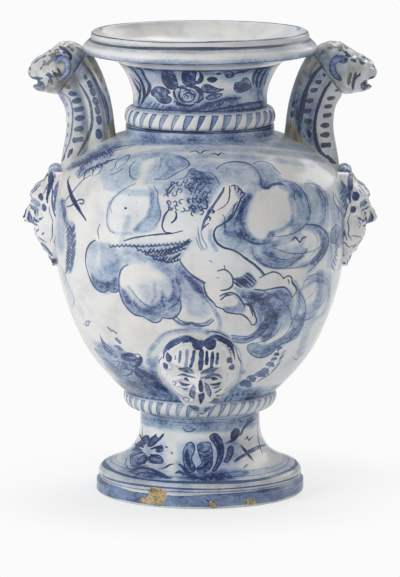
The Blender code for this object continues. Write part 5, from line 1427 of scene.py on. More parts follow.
BODY_WASHES = [
    ("fill", 9.0, 0.19, [(120, 462), (190, 450), (252, 476), (262, 530), (200, 556), (140, 530)]),
    ("fill", 9.0, 0.17, [(300, 44), (400, 36), (500, 46), (520, 92), (440, 108), (330, 100)]),
    ("band", 8.0, 0.20, [(20, 150), (120, 170), (230, 160)]),
    ("band", 7.0, 0.18, [(90, 250), (70, 330), (100, 350)]),
    ("band", 7.0, 0.34, [(0, 24), (100, 10), (250, 6), (400, 8), (560, 16), (700, 32)]),
    ("band", 6.0, 0.26, [(60, 62), (200, 34), (400, 28), (600, 44), (720, 66)]),
    ("band", 5.0, 0.20, [(180, 66), (330, 52), (520, 60), (680, 84)]),
    ("fill", 8.0, 0.26, [(0, 50), (110, 40), (130, 90), (100, 140), (40, 150), (0, 120)]),
    ("fill", 7.0, 0.26, [(140, 140), (180, 70), (290, 60), (400, 80), (520, 90), (560, 130), (470, 150),
        (400, 140), (340, 180), (200, 150)]),
    ("fill", 5.0, 0.26, [(280, 96), (330, 100), (385, 132), (372, 170), (350, 210), (346, 240),
        (330, 200), (300, 130)]),
    ("fill", 5.0, 0.24, [(462, 160), (520, 130), (545, 150), (500, 170), (476, 230), (468, 280),
        (500, 326), (450, 330), (400, 300), (382, 262), (425, 232), (450, 196)]),
    ("band", 7.0, 0.30, [(470, 190), (458, 262), (490, 316), (560, 334), (640, 306)]),
    ("band", 3.0, 0.36, [(430, 210), (404, 250), (398, 300)]),
    ("band", 3.0, 0.36, [(446, 230), (430, 280), (450, 320)]),
    ("fill", 6.0, 0.26, [(600, 140), (680, 146), (722, 212), (726, 280), (660, 262), (640, 200)]),
    ("band", 7.0, 0.36, [(528, 352), (590, 396), (660, 398), (712, 360), (724, 300)]),
    ("band", 9.0, 0.28, [(668, 138), (735, 196), (752, 290), (736, 400)]),
    ("band", 4.0, 0.34, [(640, 160), (664, 210), (656, 270), (610, 300)]),
    ("fill", 7.0, 0.34, [(484, 328), (560, 350), (640, 336), (650, 372), (570, 410), (506, 392)]),
    ("fill", 6.0, 0.40, [(436, 474), (520, 486), (604, 476), (620, 540), (596, 600), (520, 640),
        (500, 600), (494, 540), (450, 500)]),
    ("band", 7.0, 0.46, [(484, 496), (544, 540), (560, 596), (524, 640)]),
    ("band", 6.0, 0.34, [(624, 456), (652, 530), (640, 600), (576, 660)]),
    ("band", 8.0, 0.26, [(704, 424), (696, 520), (664, 600), (640, 680)]),
    ("band", 4.0, 0.30, [(640, 480), (690, 450), (730, 470), (724, 540), (680, 580)]),
    ("fill", 7.0, 0.40, [(0, 326), (48, 346), (62, 400), (50, 470), (0, 484)]),
    ("fill", 9.0, 0.30, [(64, 352), (200, 380), (262, 420), (330, 480), (352, 548), (300, 566),
        (240, 488), (180, 404)]),
    ("band", 5.0, 0.36, [(268, 420), (300, 470), (352, 520), (372, 560)]),
    ("band", 4.0, 0.30, [(90, 470), (130, 520), (190, 540), (240, 500)]),
    ("line", 1.3, 0.60, [(640, 150), (672, 200), (664, 262), (616, 300), (560, 310)]),
    ("line", 1.2, 0.52, [(690, 150), (722, 190), (730, 250), (716, 300)]),
    ("line", 1.3, 0.62, [(556, 346), (620, 364), (692, 350), (722, 306)]),
    ("line", 1.3, 0.62, [(498, 384), (560, 410), (640, 406), (700, 380)]),
    ("line", 1.2, 0.50, [(520, 360), (580, 382), (650, 372)]),
    ("line", 1.2, 0.55, [(456, 206), (452, 262), (474, 312)]),
    ("line", 1.2, 0.50, [(412, 240), (398, 280), (416, 312)]),
    ("line", 1.3, 0.60, [(452, 500), (522, 522), (562, 572), (542, 634)]),
    ("line", 1.2, 0.55, [(524, 484), (592, 522), (612, 582), (582, 640)]),
    ("line", 1.2, 0.55, [(628, 470), (656, 524), (644, 592), (600, 650)]),
    ("line", 1.2, 0.50, [(480, 520), (510, 560), (516, 606)]),
    ("line", 1.1, 0.45, [(650, 440), (700, 430), (734, 462), (720, 530)]),
    ("line", 1.2, 0.50, [(290, 440), (330, 496), (360, 540)]),
    ("line", 1.2, 0.50, [(100, 480), (140, 524), (196, 540)]),
]


def table_value(table, places):
    """Smoothly stepped values of a table of (place, value) pairs."""
    table = np.array(table, float)
    index = np.clip(np.searchsorted(table[:, 0], places) - 1, 0, len(table) - 2)
    start, stop = table[index], table[index + 1]
    t = smoothstep(0.0, 1.0, (places - start[..., 0]) / (stop[..., 0] - start[..., 0]))
    return start[..., 1] + (stop[..., 1] - start[..., 1]) * t


def stroke_distance(points, path, widths):
    """Signed distance of points to the edge of a stroke of varying half widths: positive inside."""
    best = np.full(len(points), -1e3)
    for start, stop, first, last in zip(path, path[1:], widths, widths[1:]):
        along = stop - start
        share = np.clip((points - start) @ along / max(along @ along, 1e-12), 0.0, 1.0)
        gap = np.linalg.norm(points - start - share[:, None] * along, axis=1)
        best = np.maximum(best, first + (last - first) * share - gap)
    return best


def seated(points, outline, depth):
    """Draws points that lie deep in a turned body back to `depth` below its outline."""
    floor = offset_curve(outline, -depth)
    flat = points.reshape(-1, 3)
    radius = np.hypot(flat[:, 0], flat[:, 1])
    wall = np.interp(flat[:, 2], floor[::-1, 1], floor[::-1, 0], left=0.0, right=0.0)
    deep = np.nonzero(radius < wall)[0]
    place = np.stack([radius[deep], flat[deep, 2]], axis=1)
    nearest = floor[np.argmin(((place[:, None] - floor[None, ::2]) ** 2).sum(-1), axis=1) * 2]
    moved = flat.copy()
    moved[deep, :2] *= (nearest[:, 0] / radius[deep])[:, None]
    moved[deep, 2] = nearest[:, 1]
    return moved.reshape(points.shape)


def handle_points(side):
    """Fluted sections up a handle, from inside the shoulder to the root of the head."""
    run = HEAD_ROOT - HANDLE_ROOT
    section = FLUTED_SECTION + [(u, -v) for u, v in FLUTED_SECTION[:0:-1]]
    wrapped = np.array(section[-1:] + section + section[:2])
    section = catmull(wrapped, 6)[6:-12]
    stations = catmull(HANDLE_STATIONS, 18)
    across, rise, width, slope = (column[:, None] for column in stations.T)
    slope = np.radians(slope)
    thickness = HANDLE_THICKNESS / 2 * (1 - HANDLE_SWELL + HANDLE_SWELL * width)
    reach = section[:, 0] * HANDLE_WIDTH / 2 * width
    x = HANDLE_ROOT.x + run.x * across + np.cos(slope) * reach
    z = HANDLE_ROOT.y + run.y * rise + np.sin(slope) * reach
    y = section[:, 1] * thickness
    return np.stack([x * side, y, z], axis=-1)


def head_length(side):
    """The left head was pressed a little shorter than the right one."""
    return HEAD_LENGTH * (LEFT_HEAD_SHARE if side < 0 else 1.0)


def mound_height(x, z, mounds):
    total = np.zeros_like(x)
    for ahead, rise, spread, height in mounds:
        gap = np.hypot(x - HEAD_ROOT.x - ahead * HEAD_LENGTH, z - HEAD_ROOT.y - rise * HEAD_HEIGHT)
        total += height * np.exp(-((gap / spread) ** 2))
    return total


def head_points(side):
    """Beast head at the top of a handle, with brows, eyes, nostrils, cheeks and an open mouth."""
    stations = catmull(HEAD_STATIONS, 9)
    muzzle = stations[-1]
    for share in (0.86, 0.66, 0.40, 0.12):
        closing = muzzle.copy()
        middle = (muzzle[1] + muzzle[3]) / 2
        closing[[1, 3]] = middle + (muzzle[[1, 3]] - middle) * share
        closing[4] = muzzle[4] * share
        closing[[0, 2]] += 0.045 * (1 - share**2)
        stations = np.vstack([stations, closing])
    ahead, crown, jaw_ahead, jaw, width = (column[:, None] for column in stations.T)
    turn = np.linspace(0.0, math.tau, 108, endpoint=False)
    up = np.copysign(np.abs(np.cos(turn)) ** HEAD_ROUNDNESS, np.cos(turn))
    flank = np.copysign(np.abs(np.sin(turn)) ** HEAD_ROUNDNESS, np.sin(turn))
    length = head_length(side)
    x = HEAD_ROOT.x + length * ((ahead + jaw_ahead) / 2 + (ahead - jaw_ahead) / 2 * up)
    z = HEAD_ROOT.y + HEAD_HEIGHT * ((crown + jaw) / 2 + (crown - jaw) / 2 * up)
    y = HEAD_WIDTH / 2 * width * flank * (1 - CROWN_NARROWING * up)
    y += np.sign(flank) * mound_height(x, z, HEAD_MOUNDS) * np.minimum(1.0, np.abs(flank) * 1.6)
    knobs = KNOB_HEIGHT * np.sin(x / KNOB_PITCH * math.tau + 2 * np.sin(3 * turn)) * np.cos(5 * turn + 1.0)
    y += knobs * flank
    z += knobs * up
    crest = np.maximum(0.0, up) ** 6 * np.clip(1 - np.abs(x - HEAD_ROOT.x - 0.35 * length) / 0.03, 0, 1)
    furrow = np.exp(-((y / 0.0028) ** 2))
    z -= 0.0016 * crest * furrow
    tip = HEAD_ROOT.x + length
    inward = np.clip((x - tip + MOUTH_DEPTH) / MOUTH_DEPTH, 0.0, 1.3)
    gape = 0.0008 + MOUTH_GAPE / 2 * inward
    shut = np.clip(1 - (np.abs(z - HEAD_ROOT.y + MOUTH_DROP) / gape) ** 2, 0.0, 1.0) ** 0.5
    shut *= inward > 0
    y *= 1 - 0.62 * shut * np.minimum(1.0, 4 * inward)
    x -= 0.75 * MOUTH_DEPTH * shut * np.clip(inward - 0.35, 0.0, 1.0)
    return np.stack([x * side, y, z], axis=-1)


def ear_points(side, flank):
    """Tapering rod bent to an open scroll on one flank of a head."""
    path = catmull(EAR_PATH, 10)
    ahead, rise = path[:, 0] * head_length(side), path[:, 1] * HEAD_HEIGHT
    middle = np.stack([ahead + HEAD_ROOT.x, rise + HEAD_ROOT.y], axis=1)
    ahead = np.gradient(middle, axis=0)
    ahead /= np.linalg.norm(ahead, axis=1)[:, None]
    thickness = path[:, 2] * EAR_ROD_RADIUS
    ends = np.sin(np.linspace(0, 1, 5) * math.pi / 2)[:-1]
    middle = np.vstack([np.repeat(middle[:1], 4, 0), middle, np.repeat(middle[-1:], 4, 0)])
    reach = thickness[0] * (1 - ends[::-1] ** 2) ** 0.5
    middle[:4] -= ahead[:1] * (thickness[0] * ends[::-1])[:, None]
    middle[-4:] += ahead[-1:] * (thickness[-1] * ends)[:, None]
    thickness = np.concatenate([reach, thickness, thickness[-1] * (1 - ends**2) ** 0.5])
    ahead = np.vstack([np.repeat(ahead[:1], 4, 0), ahead, np.repeat(ahead[-1:], 4, 0)])
    turn = np.linspace(0.0, math.tau, 28, endpoint=False)
    x = middle[:, :1] - ahead[:, 1:] * np.cos(turn) * thickness[:, None]
    z = middle[:, 1:] + ahead[:, :1] * np.cos(turn) * thickness[:, None]
    y = flank * EAR_SPREAD + np.sin(turn) * thickness[:, None]
    return np.stack([x * side, y, z], axis=-1)


def mask_relief(across, height, ring, bearing, strength):
    """Relief of a mask in metres over places in shares of its half width and height."""
    fall = 2.4 + 2.6 * np.cos(bearing) ** 2
    face = EDGE_RELIEF + (table_value(FACE_RELIEF, height) - EDGE_RELIEF) * (1 - ring**fall)
    nose = table_value(NOSE_RELIEF, height) * np.exp(-((across / NOSE_BREADTH) ** 2))
    relief = face + nose
    for rise, place, level, breadth, tall in (EYE_HOLLOW, BROW_RIDGE):
        aside = (np.abs(across) - place) / breadth
        relief += rise * np.exp(-(aside**2) - ((height - level) / tall) ** 2)
    depth = MASK_RELIEF * relief
    flat = np.stack([np.abs(across) * MASK_WIDTH / 2, height * MASK_HEIGHT], axis=-1).reshape(-1, 2)
    for path, half_width, rise in MASK_STROKES:
        path = catmull(np.array(path) / 1000, 5)
        share = 1 + stroke_distance(flat, path, np.zeros(len(path))) / (half_width / 1000)
        bulge = smoothstep(0.0, 1.0, share).reshape(across.shape)
        lift = max(rise, 0) * strength + min(rise, 0)
        depth += lift / 1000 * bulge * np.clip((1 - ring) * 12, 0.0, 1.0)
    return depth


def mask_points(chin, up, out, spacing, sloping):
    """Pressed mask that stands on `chin`, faces `out` and bends round the body; its jaw may slope back."""
    spokes = int(round(2.2 * MASK_HEIGHT * math.pi / 2 / spacing / 4)) * 4
    rings = int(round(MASK_HEIGHT / 2 / spacing))
    bearing = np.linspace(0.0, math.tau, spokes, endpoint=False)
    bearing = np.where(bearing > math.pi, bearing - math.tau, bearing)
    ring = np.linspace(0.004, 1.0, rings)[:, None]
    reach = table_value(MASK_OUTLINE, np.abs(np.degrees(bearing)))
    widest = max(radius * math.sin(math.radians(angle)) for angle, radius in MASK_OUTLINE)
    drawn_in = ring * (1 - SKIRT_FLARE * ring**4 * np.abs(np.sin(bearing)))
    across = np.sin(bearing) * reach * drawn_in / widest
    height = MASK_CENTRE + np.cos(bearing) * reach * drawn_in
    strength = SIDE_STROKE_SHARE if sloping else 1.0
    depth = mask_relief(across, height, np.broadcast_to(ring, across.shape), bearing, strength)
    if sloping:
        depth *= table_value(SIDE_JAW, height)
    else:
        depth += CHIN_FORWARD * smoothstep(0.2, 0.0, height)
    depth -= (across * MASK_WIDTH / 2) ** 2 / (2 * BODY_RADIUS)
    skirt = np.linspace(0.0, math.pi / 2, SKIRT_ROWS + 1)[1:, None]
    flare = 1 + SKIRT_FLARE * np.sin(skirt) * np.abs(np.sin(bearing))
    across = np.vstack([across, across[-1:] * flare])
    height = np.vstack([height, MASK_CENTRE + (height[-1:] - MASK_CENTRE) * flare])
    depth = np.vstack([depth, depth[-1] - (depth[-1] + MASK_SKIRT) * (1 - np.cos(skirt))])
    flat = np.stack([across * MASK_WIDTH / 2, height * MASK_HEIGHT], axis=-1)
    side, up, out, chin = (np.array(axis) for axis in (up.cross(out), up, out, chin))
    return chin + flat[..., :1] * side + flat[..., 1:] * up + depth[..., None] * out


def curl_points(side):
    """Small roll of clay that covers the joint of handle and mask."""
    along = np.linspace(-1.0, 1.0, 41)[:, None] * math.pi / 2 * 0.995
    turn = np.linspace(0.0, math.tau, 48, endpoint=False)
    y = np.copysign(np.abs(np.sin(along)) ** 0.8, np.sin(along)) * CURL_LENGTH / 2
    groove = 1 - 0.05 * np.cos(3 * turn + 14 * np.sin(along))
    x = BODY_RADIUS - MASK_SINK - CURL_SINK + CURL_RADIUS * np.cos(along) * np.cos(turn) * groove
    z = SIDE_MASK_Z + MASK_HEIGHT - CURL_SINK + CURL_RADIUS * np.cos(along) * np.sin(turn) * groove
    return np.stack([x * side, y + 0 * turn, z], axis=-1)


def outward_mesh(name, points):
    """Closed mesh over rows of points, with its faces turned out."""
    mesh = grid_mesh(name, points)
    centre = points.reshape(-1, 3).mean(0)
    corners = vertex_values(mesh, "co") - centre
    if (vertex_values(mesh, "normal") * corners).sum() < 0:
        mesh.flip_normals()
    return mesh


def settings():
    return bpy.context.scene.amphora_sizes


def colours():
    return bpy.context.scene.amphora_colours


def glaze_material(name):
    """Tin glaze over buff clay, with cobalt washes, strokes and lines painted into it."""
    name = f"{name}_glaze"
    if name in bpy.data.materials:
        return bpy.data.materials[name]
    look = colours()
    graph = Graph(name)
    place = graph.node("ShaderNodeTexCoord", output="Object")
    drift = graph.noise(place, 9.0, 3.0, 0.55)
    cloud = graph.noise(place, 38.0, 4.0, 0.6)
    grain = graph.noise(place, 420.0, 3.0, 0.65)
    turning = graph.noise(graph.stretched(place, (5.0, 5.0, 150.0)), 1.0, 4.0, 0.6)
    brush = graph.noise(graph.stretched(place, (95.0, 95.0, 160.0)), 1.0, 5.0, 0.7, 1.2)
    wobble = (grain - 0.5) * 0.34 + (cloud - 0.5) * 0.16

    white = graph.mix(drift.step(0.36, 0.66), look.glaze, look.glaze_warm)
    white = graph.mix(cloud.step(0.40, 0.78) * 0.55, white, look.glaze_grey)
    white = graph.mix(grain.step(0.52, 0.80) * 0.30, white, look.glaze_grey)
    white = graph.mix(turning.step(0.55, 0.80) * 0.25, white, look.glaze_grey)

    streaks = 0.48 + 0.62 * brush.step(0.30, 0.72) + 0.30 * grain.step(0.30, 0.70)
    mottle = 0.72 + 0.5 * cloud.step(0.30, 0.70)
    wash = graph.attribute("wash") * streaks * mottle
    stroke = (graph.attribute("stroke") + wobble).step(0.42, 0.58)
    line = (graph.attribute("line") + wobble).step(0.38, 0.56)
    stroke = stroke * graph.attribute("stroke_tone") * (0.52 + 0.52 * mottle * streaks)
    line = line * graph.attribute("line_tone") * (0.80 + 0.22 * brush.step(0.25, 0.65))
    pigment = wash.over(stroke).over(line)
    ramp = {
        "stops": [
            (0.0, (1.0, 1.0, 1.0)), (0.22, look.blue_faint), (0.5, look.blue_light),
            (0.74, look.blue_mid), (1.0, look.blue_deep),
        ]
    }
    tint = graph.node("ShaderNodeValToRGB", ramp, {"Fac": pigment}, output="Color")
    veil = graph.mix(drift.step(0.40, 0.62), look.green_veil, look.violet_veil)
    tint = graph.multiply((0.25 + 0.75 * cloud.step(0.35, 0.65)) * pigment.step(0.0, 0.4), tint, veil)
    painted = graph.multiply(1.0, white, tint)

    stain = graph.attribute("stain") * (0.55 + 0.9 * cloud)
    painted = graph.mix(stain, painted, look.stain)
    inputs = {"Vector": place, "Scale": 95.0, "Randomness": 1.0}
    cells = graph.node("ShaderNodeTexVoronoi", {"feature": "F1"}, inputs, output="Distance")
    speck = 1 - (cells + (drift - 0.5) * 0.25).step(0.035, 0.075)
    pinhole = speck * cloud.step(0.50, 0.60)
    painted = graph.mix(pinhole * 0.75, painted, look.speck)
    bare = (graph.attribute("bare") + wobble * 1.6).step(0.44, 0.56)
    clay = graph.mix((0.55 * grain + 0.45 * cloud).step(0.44, 0.58), look.clay, look.clay_dark)
    colour = graph.mix(bare, painted, clay)

    shine = 0.10 + 0.10 * drift + 0.10 * grain.step(0.45, 0.75) + 0.30 * pinhole + 0.07 * pigment
    roughness = shine + bare * (0.85 - shine)
    relief = 0.55 * drift + 0.30 * turning + 0.16 * cloud + 0.04 * grain - 0.10 * pinhole - 0.05 * pigment
    relief = relief - 0.35 * bare + 0.12 * bare * grain
    normal = graph.node(
        "ShaderNodeBump", None, {"Strength": 0.55, "Distance": 0.0016, "Height": relief}, output="Normal"
    )
    shader = graph.node(
        "ShaderNodeBsdfPrincipled",
        None,
        {
            "Base Color": colour, "Roughness": roughness, "Normal": normal,
            "Coat Weight": (1 - bare) * 0.35, "Coat Roughness": 0.24, "IOR": 1.5,
        },
        output="BSDF",
    )
    graph.node("ShaderNodeOutputMaterial", None, {"Surface": shader})
    return graph.material


def add_piece(mesh, slot, node):
    """Adds a finished mesh as the piece that stands for a CAD node and takes a slot's finish."""
    mesh.materials.append(glaze_material(slot))
    piece = bpy.data.objects.new(f"glazed_{node}", mesh)
    bpy.context.scene.collection.objects.link(piece)
    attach(piece, "root")
    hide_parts(node)


def wobbled(points):
    """Slight unevenness of a hand-thrown wall: it only ever draws the wall in."""
    x, y, z = points[..., 0], points[..., 1], points[..., 2]
    angle = np.arctan2(x, -y)
    wave = np.sin(2 * angle + 1.3 + 9 * z) + 0.6 * np.sin(3 * angle - 40 * z) + 0.5 * np.sin(260 * z + angle)
    shrink = 1 - THROWN_UNEVENNESS * (0.5 + 0.25 * np.clip(wave, -2, 2)) / BODY_RADIUS
    moved = points.copy()
    moved[..., 0] *= shrink
    moved[..., 1] *= shrink
    return moved


def turned_mesh(name, outer, inner, spacing):
    """Turned wall from its outer and inner outlines, both from the top down."""
    outline = np.vstack([outer, inner[::-1]])
    angles = face_angles(spacing * BODY_RADIUS / outer[:, 0].max())
    points = wobbled(turned_points(outline, angles))
    mesh = grid_mesh(name, points, closed_rows=True)
    run = np.concatenate([[0.0], np.cumsum(np.linalg.norm(np.diff(outline, axis=0), axis=1))])
    bake_layout(mesh, len(outline), angles, len(outer) - 1, run / run[-1])
    mesh.set_sharp_from_angle(angle=TURNED_SHARP_ANGLE)
    return mesh


def vessel_outline(spacing):
    """Outer outline of the whole body, from the collar down to the stem."""
    bowl = grown(BOWL_SHAPE, (STEM_RADIUS, BODY_RADIUS), (BOWL_Z, WIDEST_Z))
    shoulder = grown(SHOULDER_SHAPE, (COLLAR_RADIUS, BODY_RADIUS), (WIDEST_Z, COLLAR_Z))
    widest = np.array([[BODY_RADIUS, WIDEST_Z]])
    curve = catmull(np.vstack([bowl, widest, shoulder]), 24)[::-1]
    curve[:, 0] = np.minimum(curve[:, 0], BODY_RADIUS)
    return spaced(curve, spacing)


def coarser(outline, share):
    """The outline with its points `share` times as far apart, for sides that hardly show."""
    spacing = np.linalg.norm(outline[1] - outline[0])
    return spaced(outline, spacing * share)


def body_meshes(spacing):
    outline = vessel_outline(spacing)
    split = int(np.argmin(np.abs(outline[:, 1] - WIDEST_Z)))
    outline[split, 1] = WIDEST_Z
    shoulder, bowl = outline[: split + 1], outline[split:]
    hollow = offset_curve(outline, -WALL)
    mouth = NECK_RADIUS - WALL
    inside = hollow[: split + 1]
    inside = inside[inside[:, 0] > mouth + WALL / 2]
    inside = np.vstack([[mouth, COLLAR_Z], [mouth, inside[0, 1] + WALL / 4], coarser(inside, 3)])
    inside[-1, 1] = WIDEST_Z
    upper = turned_mesh("upper_body", shoulder, inside, spacing)
    floor_z = BOWL_Z + FLOOR_THICKNESS
    inside = hollow[split:]
    inside = coarser(inside[inside[:, 1] > floor_z + LUTE_GAP], 3)
    floor = np.array([[STEM_RADIUS - WALL, floor_z], [FLOOR_MIDDLE, floor_z]])
    inside = np.vstack([inside, floor])
    inside[0, 1] = WIDEST_Z
    foot = np.array([[FLOOR_MIDDLE, BOWL_Z]])
    lower = turned_mesh("lower_body", np.vstack([bowl, foot]), inside, spacing)
    return upper, lower


def neck_outline(spacing):
    points = grown(NECK_SHAPE, (NECK_RADIUS, NECK_TOP_RADIUS), (NECK_Z, NECK_TOP_Z))
    return spaced(catmull(points, 16)[::-1], spacing)


def neck_mesh(spacing):
    outer = neck_outline(spacing)
    inner = coarser(offset_curve(outer, -WALL), 2)
    inner[0, 1], inner[-1, 1] = NECK_TOP_Z, NECK_Z
    return turned_mesh("neck", outer, inner, spacing)


def rim_outline(spacing):
    """Outer outline of the flange, from the lip down to its seat on the neck."""
    ledge = RIM_RADIUS - LIP_RADIUS
    edge = [(RIM_RADIUS - ledge * u, RIM_TOP_Z - RIM_EDGE_DROP * v) for u, v in RIM_SHAPE]
    under = edge[-1][1] - RIM_Z
    spread = RIM_RADIUS - NECK_TOP_RADIUS
    foot = [(NECK_TOP_RADIUS + spread * u, RIM_Z + under * v) for u, v in RIM_UNDERSIDE]
    outer = spaced(catmull(edge + foot, 16), spacing * 0.7)
    outer[:, 0] = np.minimum(outer[:, 0], RIM_RADIUS)
    outer[:, 1] = np.clip(outer[:, 1], RIM_Z, RIM_TOP_Z)
    return outer


def rim_mesh(spacing):
    throat = NECK_TOP_RADIUS - WALL * 1.15
    width = LIP_RADIUS - LIP_THICKNESS - throat
    dish = [(throat + width * u, RIM_Z + (RIM_TOP_Z - RIM_Z) * v) for u, v in DISH_SHAPE]
    return turned_mesh("rim", rim_outline(spacing), spaced(catmull(dish, 12)[::-1], spacing), spacing)


def foot_meshes(spacing):
    groove_z = FOOT_BAND_HEIGHT + FOOT_EDGE_ROUND
    roll_z = (groove_z + PLINTH_HEIGHT) / 2
    edge = FOOT_EDGE_ROUND
    profile = [
        (PLINTH_TOP_RADIUS, PLINTH_HEIGHT + LUTE_GAP / 2),
        (FOOT_ROLL_RADIUS - 2 * edge, PLINTH_HEIGHT - edge),
        (FOOT_ROLL_RADIUS - 0.4 * edge, roll_z + 2 * edge),
        (FOOT_ROLL_RADIUS, roll_z - edge),
        (FOOT_RADIUS - 0.9 * FOOT_GROOVE_DEPTH, groove_z + edge),
        (FOOT_RADIUS - FOOT_GROOVE_DEPTH, groove_z),
        (FOOT_RADIUS - 0.4 * edge, FOOT_BAND_HEIGHT - 0.3 * edge),
        (FOOT_RADIUS, FOOT_BAND_HEIGHT - edge),
        (FOOT_RADIUS, 0.5 * FOOT_BAND_HEIGHT),
        (FOOT_RADIUS, edge),
        (FOOT_RADIUS - edge, 0.0),
    ]
    outer = spaced(catmull(profile, 10), spacing * 0.7)
    outer[:, 0] = np.minimum(outer[:, 0], FOOT_RADIUS)
    outer[:, 1] = np.maximum(outer[:, 1], 0.0)
    hollow = FOOT_RADIUS - RESTING_WIDTH
    joint = (PLINTH_TOP_RADIUS - 2 * WALL, PLINTH_HEIGHT + LUTE_GAP / 2)
    inner = np.array([joint, (hollow - edge, 2 * edge), (hollow, 0.0)])
    plinth = turned_mesh("foot_plinth", outer, spaced(inner, 2 * spacing), spacing)
    points = grown(STEM_SHAPE, (STEM_RADIUS, PLINTH_TOP_RADIUS), (STEM_Z - LUTE_GAP / 2, STEM_TOP_Z))
    outer = spaced(catmull(points, 16)[::-1], spacing)
    inner = coarser(offset_curve(outer, -WALL), 2)
    inner[0, 1], inner[-1] = outer[0, 1], (PLINTH_TOP_RADIUS - 2 * WALL, outer[-1, 1])
    inner = inner[(inner[:, 1] <= outer[0, 1]) & (inner[:, 1] >= outer[-1, 1])]
    return plinth, turned_mesh("foot_stem", outer, inner, spacing)


def cord_mesh(name, top, bottom, bulge, inner, notches, depth, slant, spacing):
    """Rolled cord laid round the vessel, pressed with slanted notches."""
    top, bottom = np.array(top), np.array(bottom)
    along = bottom - top
    out = np.array([-along[1], along[0]]) / np.linalg.norm(along)
    turn = np.linspace(0.0, math.pi, 22)[:, None]
    arc = top + along * (1 - np.cos(turn)) / 2 + out * bulge * np.sin(turn)
    outline = np.vstack([arc, [[inner, bottom[1]], [inner, top[1]]]])
    angles = face_angles(spacing * BODY_RADIUS / arc[:, 0].max())
    points = turned_points(outline, angles)
    share = np.concatenate([np.linspace(0.0, 1.0, len(arc)), [1.0, 0.0]])[:, None]
    phase = notches * (angles + slant * math.tau / notches * (share - 0.5))
    press = (0.5 + 0.5 * np.cos(phase)) ** 3 * np.sin(math.pi * share)
    shrink = 1 - depth * press / arc[:, 0].max()
    points[..., 0] *= shrink
    points[..., 1] *= shrink
    mesh = grid_mesh(name, points, closed_rows=True)
    run = np.linspace(0.0, 1.0, len(outline))
    bake_layout(mesh, len(outline), angles, len(arc) - 1, run)
    mesh.set_sharp_from_angle(angle=CORD_SHARP_ANGLE)
    return mesh


class AMPHORA_PG_sizes(bpy.types.PropertyGroup):
    """Sizes that the frame leaves open."""

    spacing: FloatProperty(
        name="Surface spacing", description="Distance between the vertices that hold the painting",
        default=0.0009, min=0.0005, max=0.01, unit="LENGTH",
    )
    handle_spacing: FloatProperty(
        name="Handle spacing", description="Distance between the vertices of handles, heads and masks",
        default=0.0009, min=0.0004, max=0.01, unit="LENGTH",
    )
    stem_notches: IntProperty(
        name="Stem cord notches", description="Notches round the cord under the bowl", default=44, min=8,
    )
    neck_notches: IntProperty(
        name="Neck cord notches", description="Notches round the cord at the neck", default=36, min=8,
    )
    notch_depth: FloatProperty(
        name="Notch depth", description="Depth of the notches in both cords", default=0.0012, unit="LENGTH",
    )


def colour_property(name, description, default):
    return FloatVectorProperty(
        name=name, description=description, default=default, subtype="COLOR", size=3, min=0.0, max=1.0,
    )


class AMPHORA_PG_colours(bpy.types.PropertyGroup):
    """Colours of the glaze, the cobalt and the clay."""

    glaze: colour_property("Glaze", "Tin glaze where it lies thick", (0.75, 0.755, 0.765))
    glaze_warm: colour_property("Warm glaze", "Tin glaze where the clay shows through", (0.76, 0.74, 0.70))
    glaze_grey: colour_property("Grey glaze", "Fine grey mottling of the glaze", (0.46, 0.49, 0.51))
    blue_faint: colour_property("Faint blue", "Cobalt in its thinnest wash", (0.65, 0.745, 0.87))
    blue_light: colour_property("Light blue", "Cobalt in a wash", (0.325, 0.445, 0.66))
    blue_mid: colour_property("Middle blue", "Cobalt in a full stroke", (0.105, 0.170, 0.375))
    blue_deep: colour_property("Deep blue", "Cobalt where it pools", (0.018, 0.034, 0.130))
    green_veil: colour_property("Green veil", "Shift of the cobalt to grey green", (0.95, 1.0, 0.97))
    violet_veil: colour_property("Violet veil", "Shift of the cobalt to grey violet", (1.0, 0.94, 1.0))
    stain: colour_property("Stain", "Ochre tint where glaze pools in hollows", (0.30, 0.27, 0.17))
    speck: colour_property("Speck", "Pinholes in the glaze", (0.10, 0.075, 0.055))
    clay: colour_property("Clay", "Bare fired clay in the chips", (0.60, 0.48, 0.27))
    clay_dark: colour_property("Dark clay", "Grime on the bare clay", (0.17, 0.13, 0.085))
    floor: colour_property("Floor", "Studio floor and backdrop", (0.93, 0.93, 0.93))


class AMPHORA_OT_foot(bpy.types.Operator):
    """Throw the foot: plinth and stem"""

    bl_idname = "amphora.foot"
    bl_label = "Foot"

    def execute(self, context):
        plinth, stem = foot_meshes(settings().spacing)
        canvas = Canvas(plinth, stem, turned=True)
        paint_foot(canvas)
        canvas.carve("bare", CHIP_DEPTH)
        canvas.commit()
        add_piece(plinth, "blue_washed_glaze", "foot_plinth")
        add_piece(stem, "blue_washed_glaze", "foot_stem")
        return {"FINISHED"}


class AMPHORA_OT_body(bpy.types.Operator):
    """Throw the body in its two halves and paint the scene on it"""

    bl_idname = "amphora.body"
    bl_label = "Body"

    def execute(self, context):
        upper, lower = body_meshes(settings().spacing)
        canvas = Canvas(upper, lower, turned=True)
        paint_body(canvas)
        canvas.commit()
        add_piece(upper, "painted_tin_glaze", "upper_body")
        add_piece(lower, "painted_tin_glaze", "lower_body")
        return {"FINISHED"}


class AMPHORA_OT_neck(bpy.types.Operator):
    """Throw the neck and its flanged rim"""

    bl_idname = "amphora.neck"
    bl_label = "Neck and rim"

    def execute(self, context):
        neck = neck_mesh(settings().spacing)
        canvas = Canvas(neck, turned=True)
        paint_neck(canvas)
        canvas.commit()
        add_piece(neck, "painted_tin_glaze", "neck")
        rim = rim_mesh(settings().spacing)
        canvas = Canvas(rim, turned=True)
        paint_rim(canvas)
        canvas.commit()
        add_piece(rim, "painted_tin_glaze", "rim")
        return {"FINISHED"}


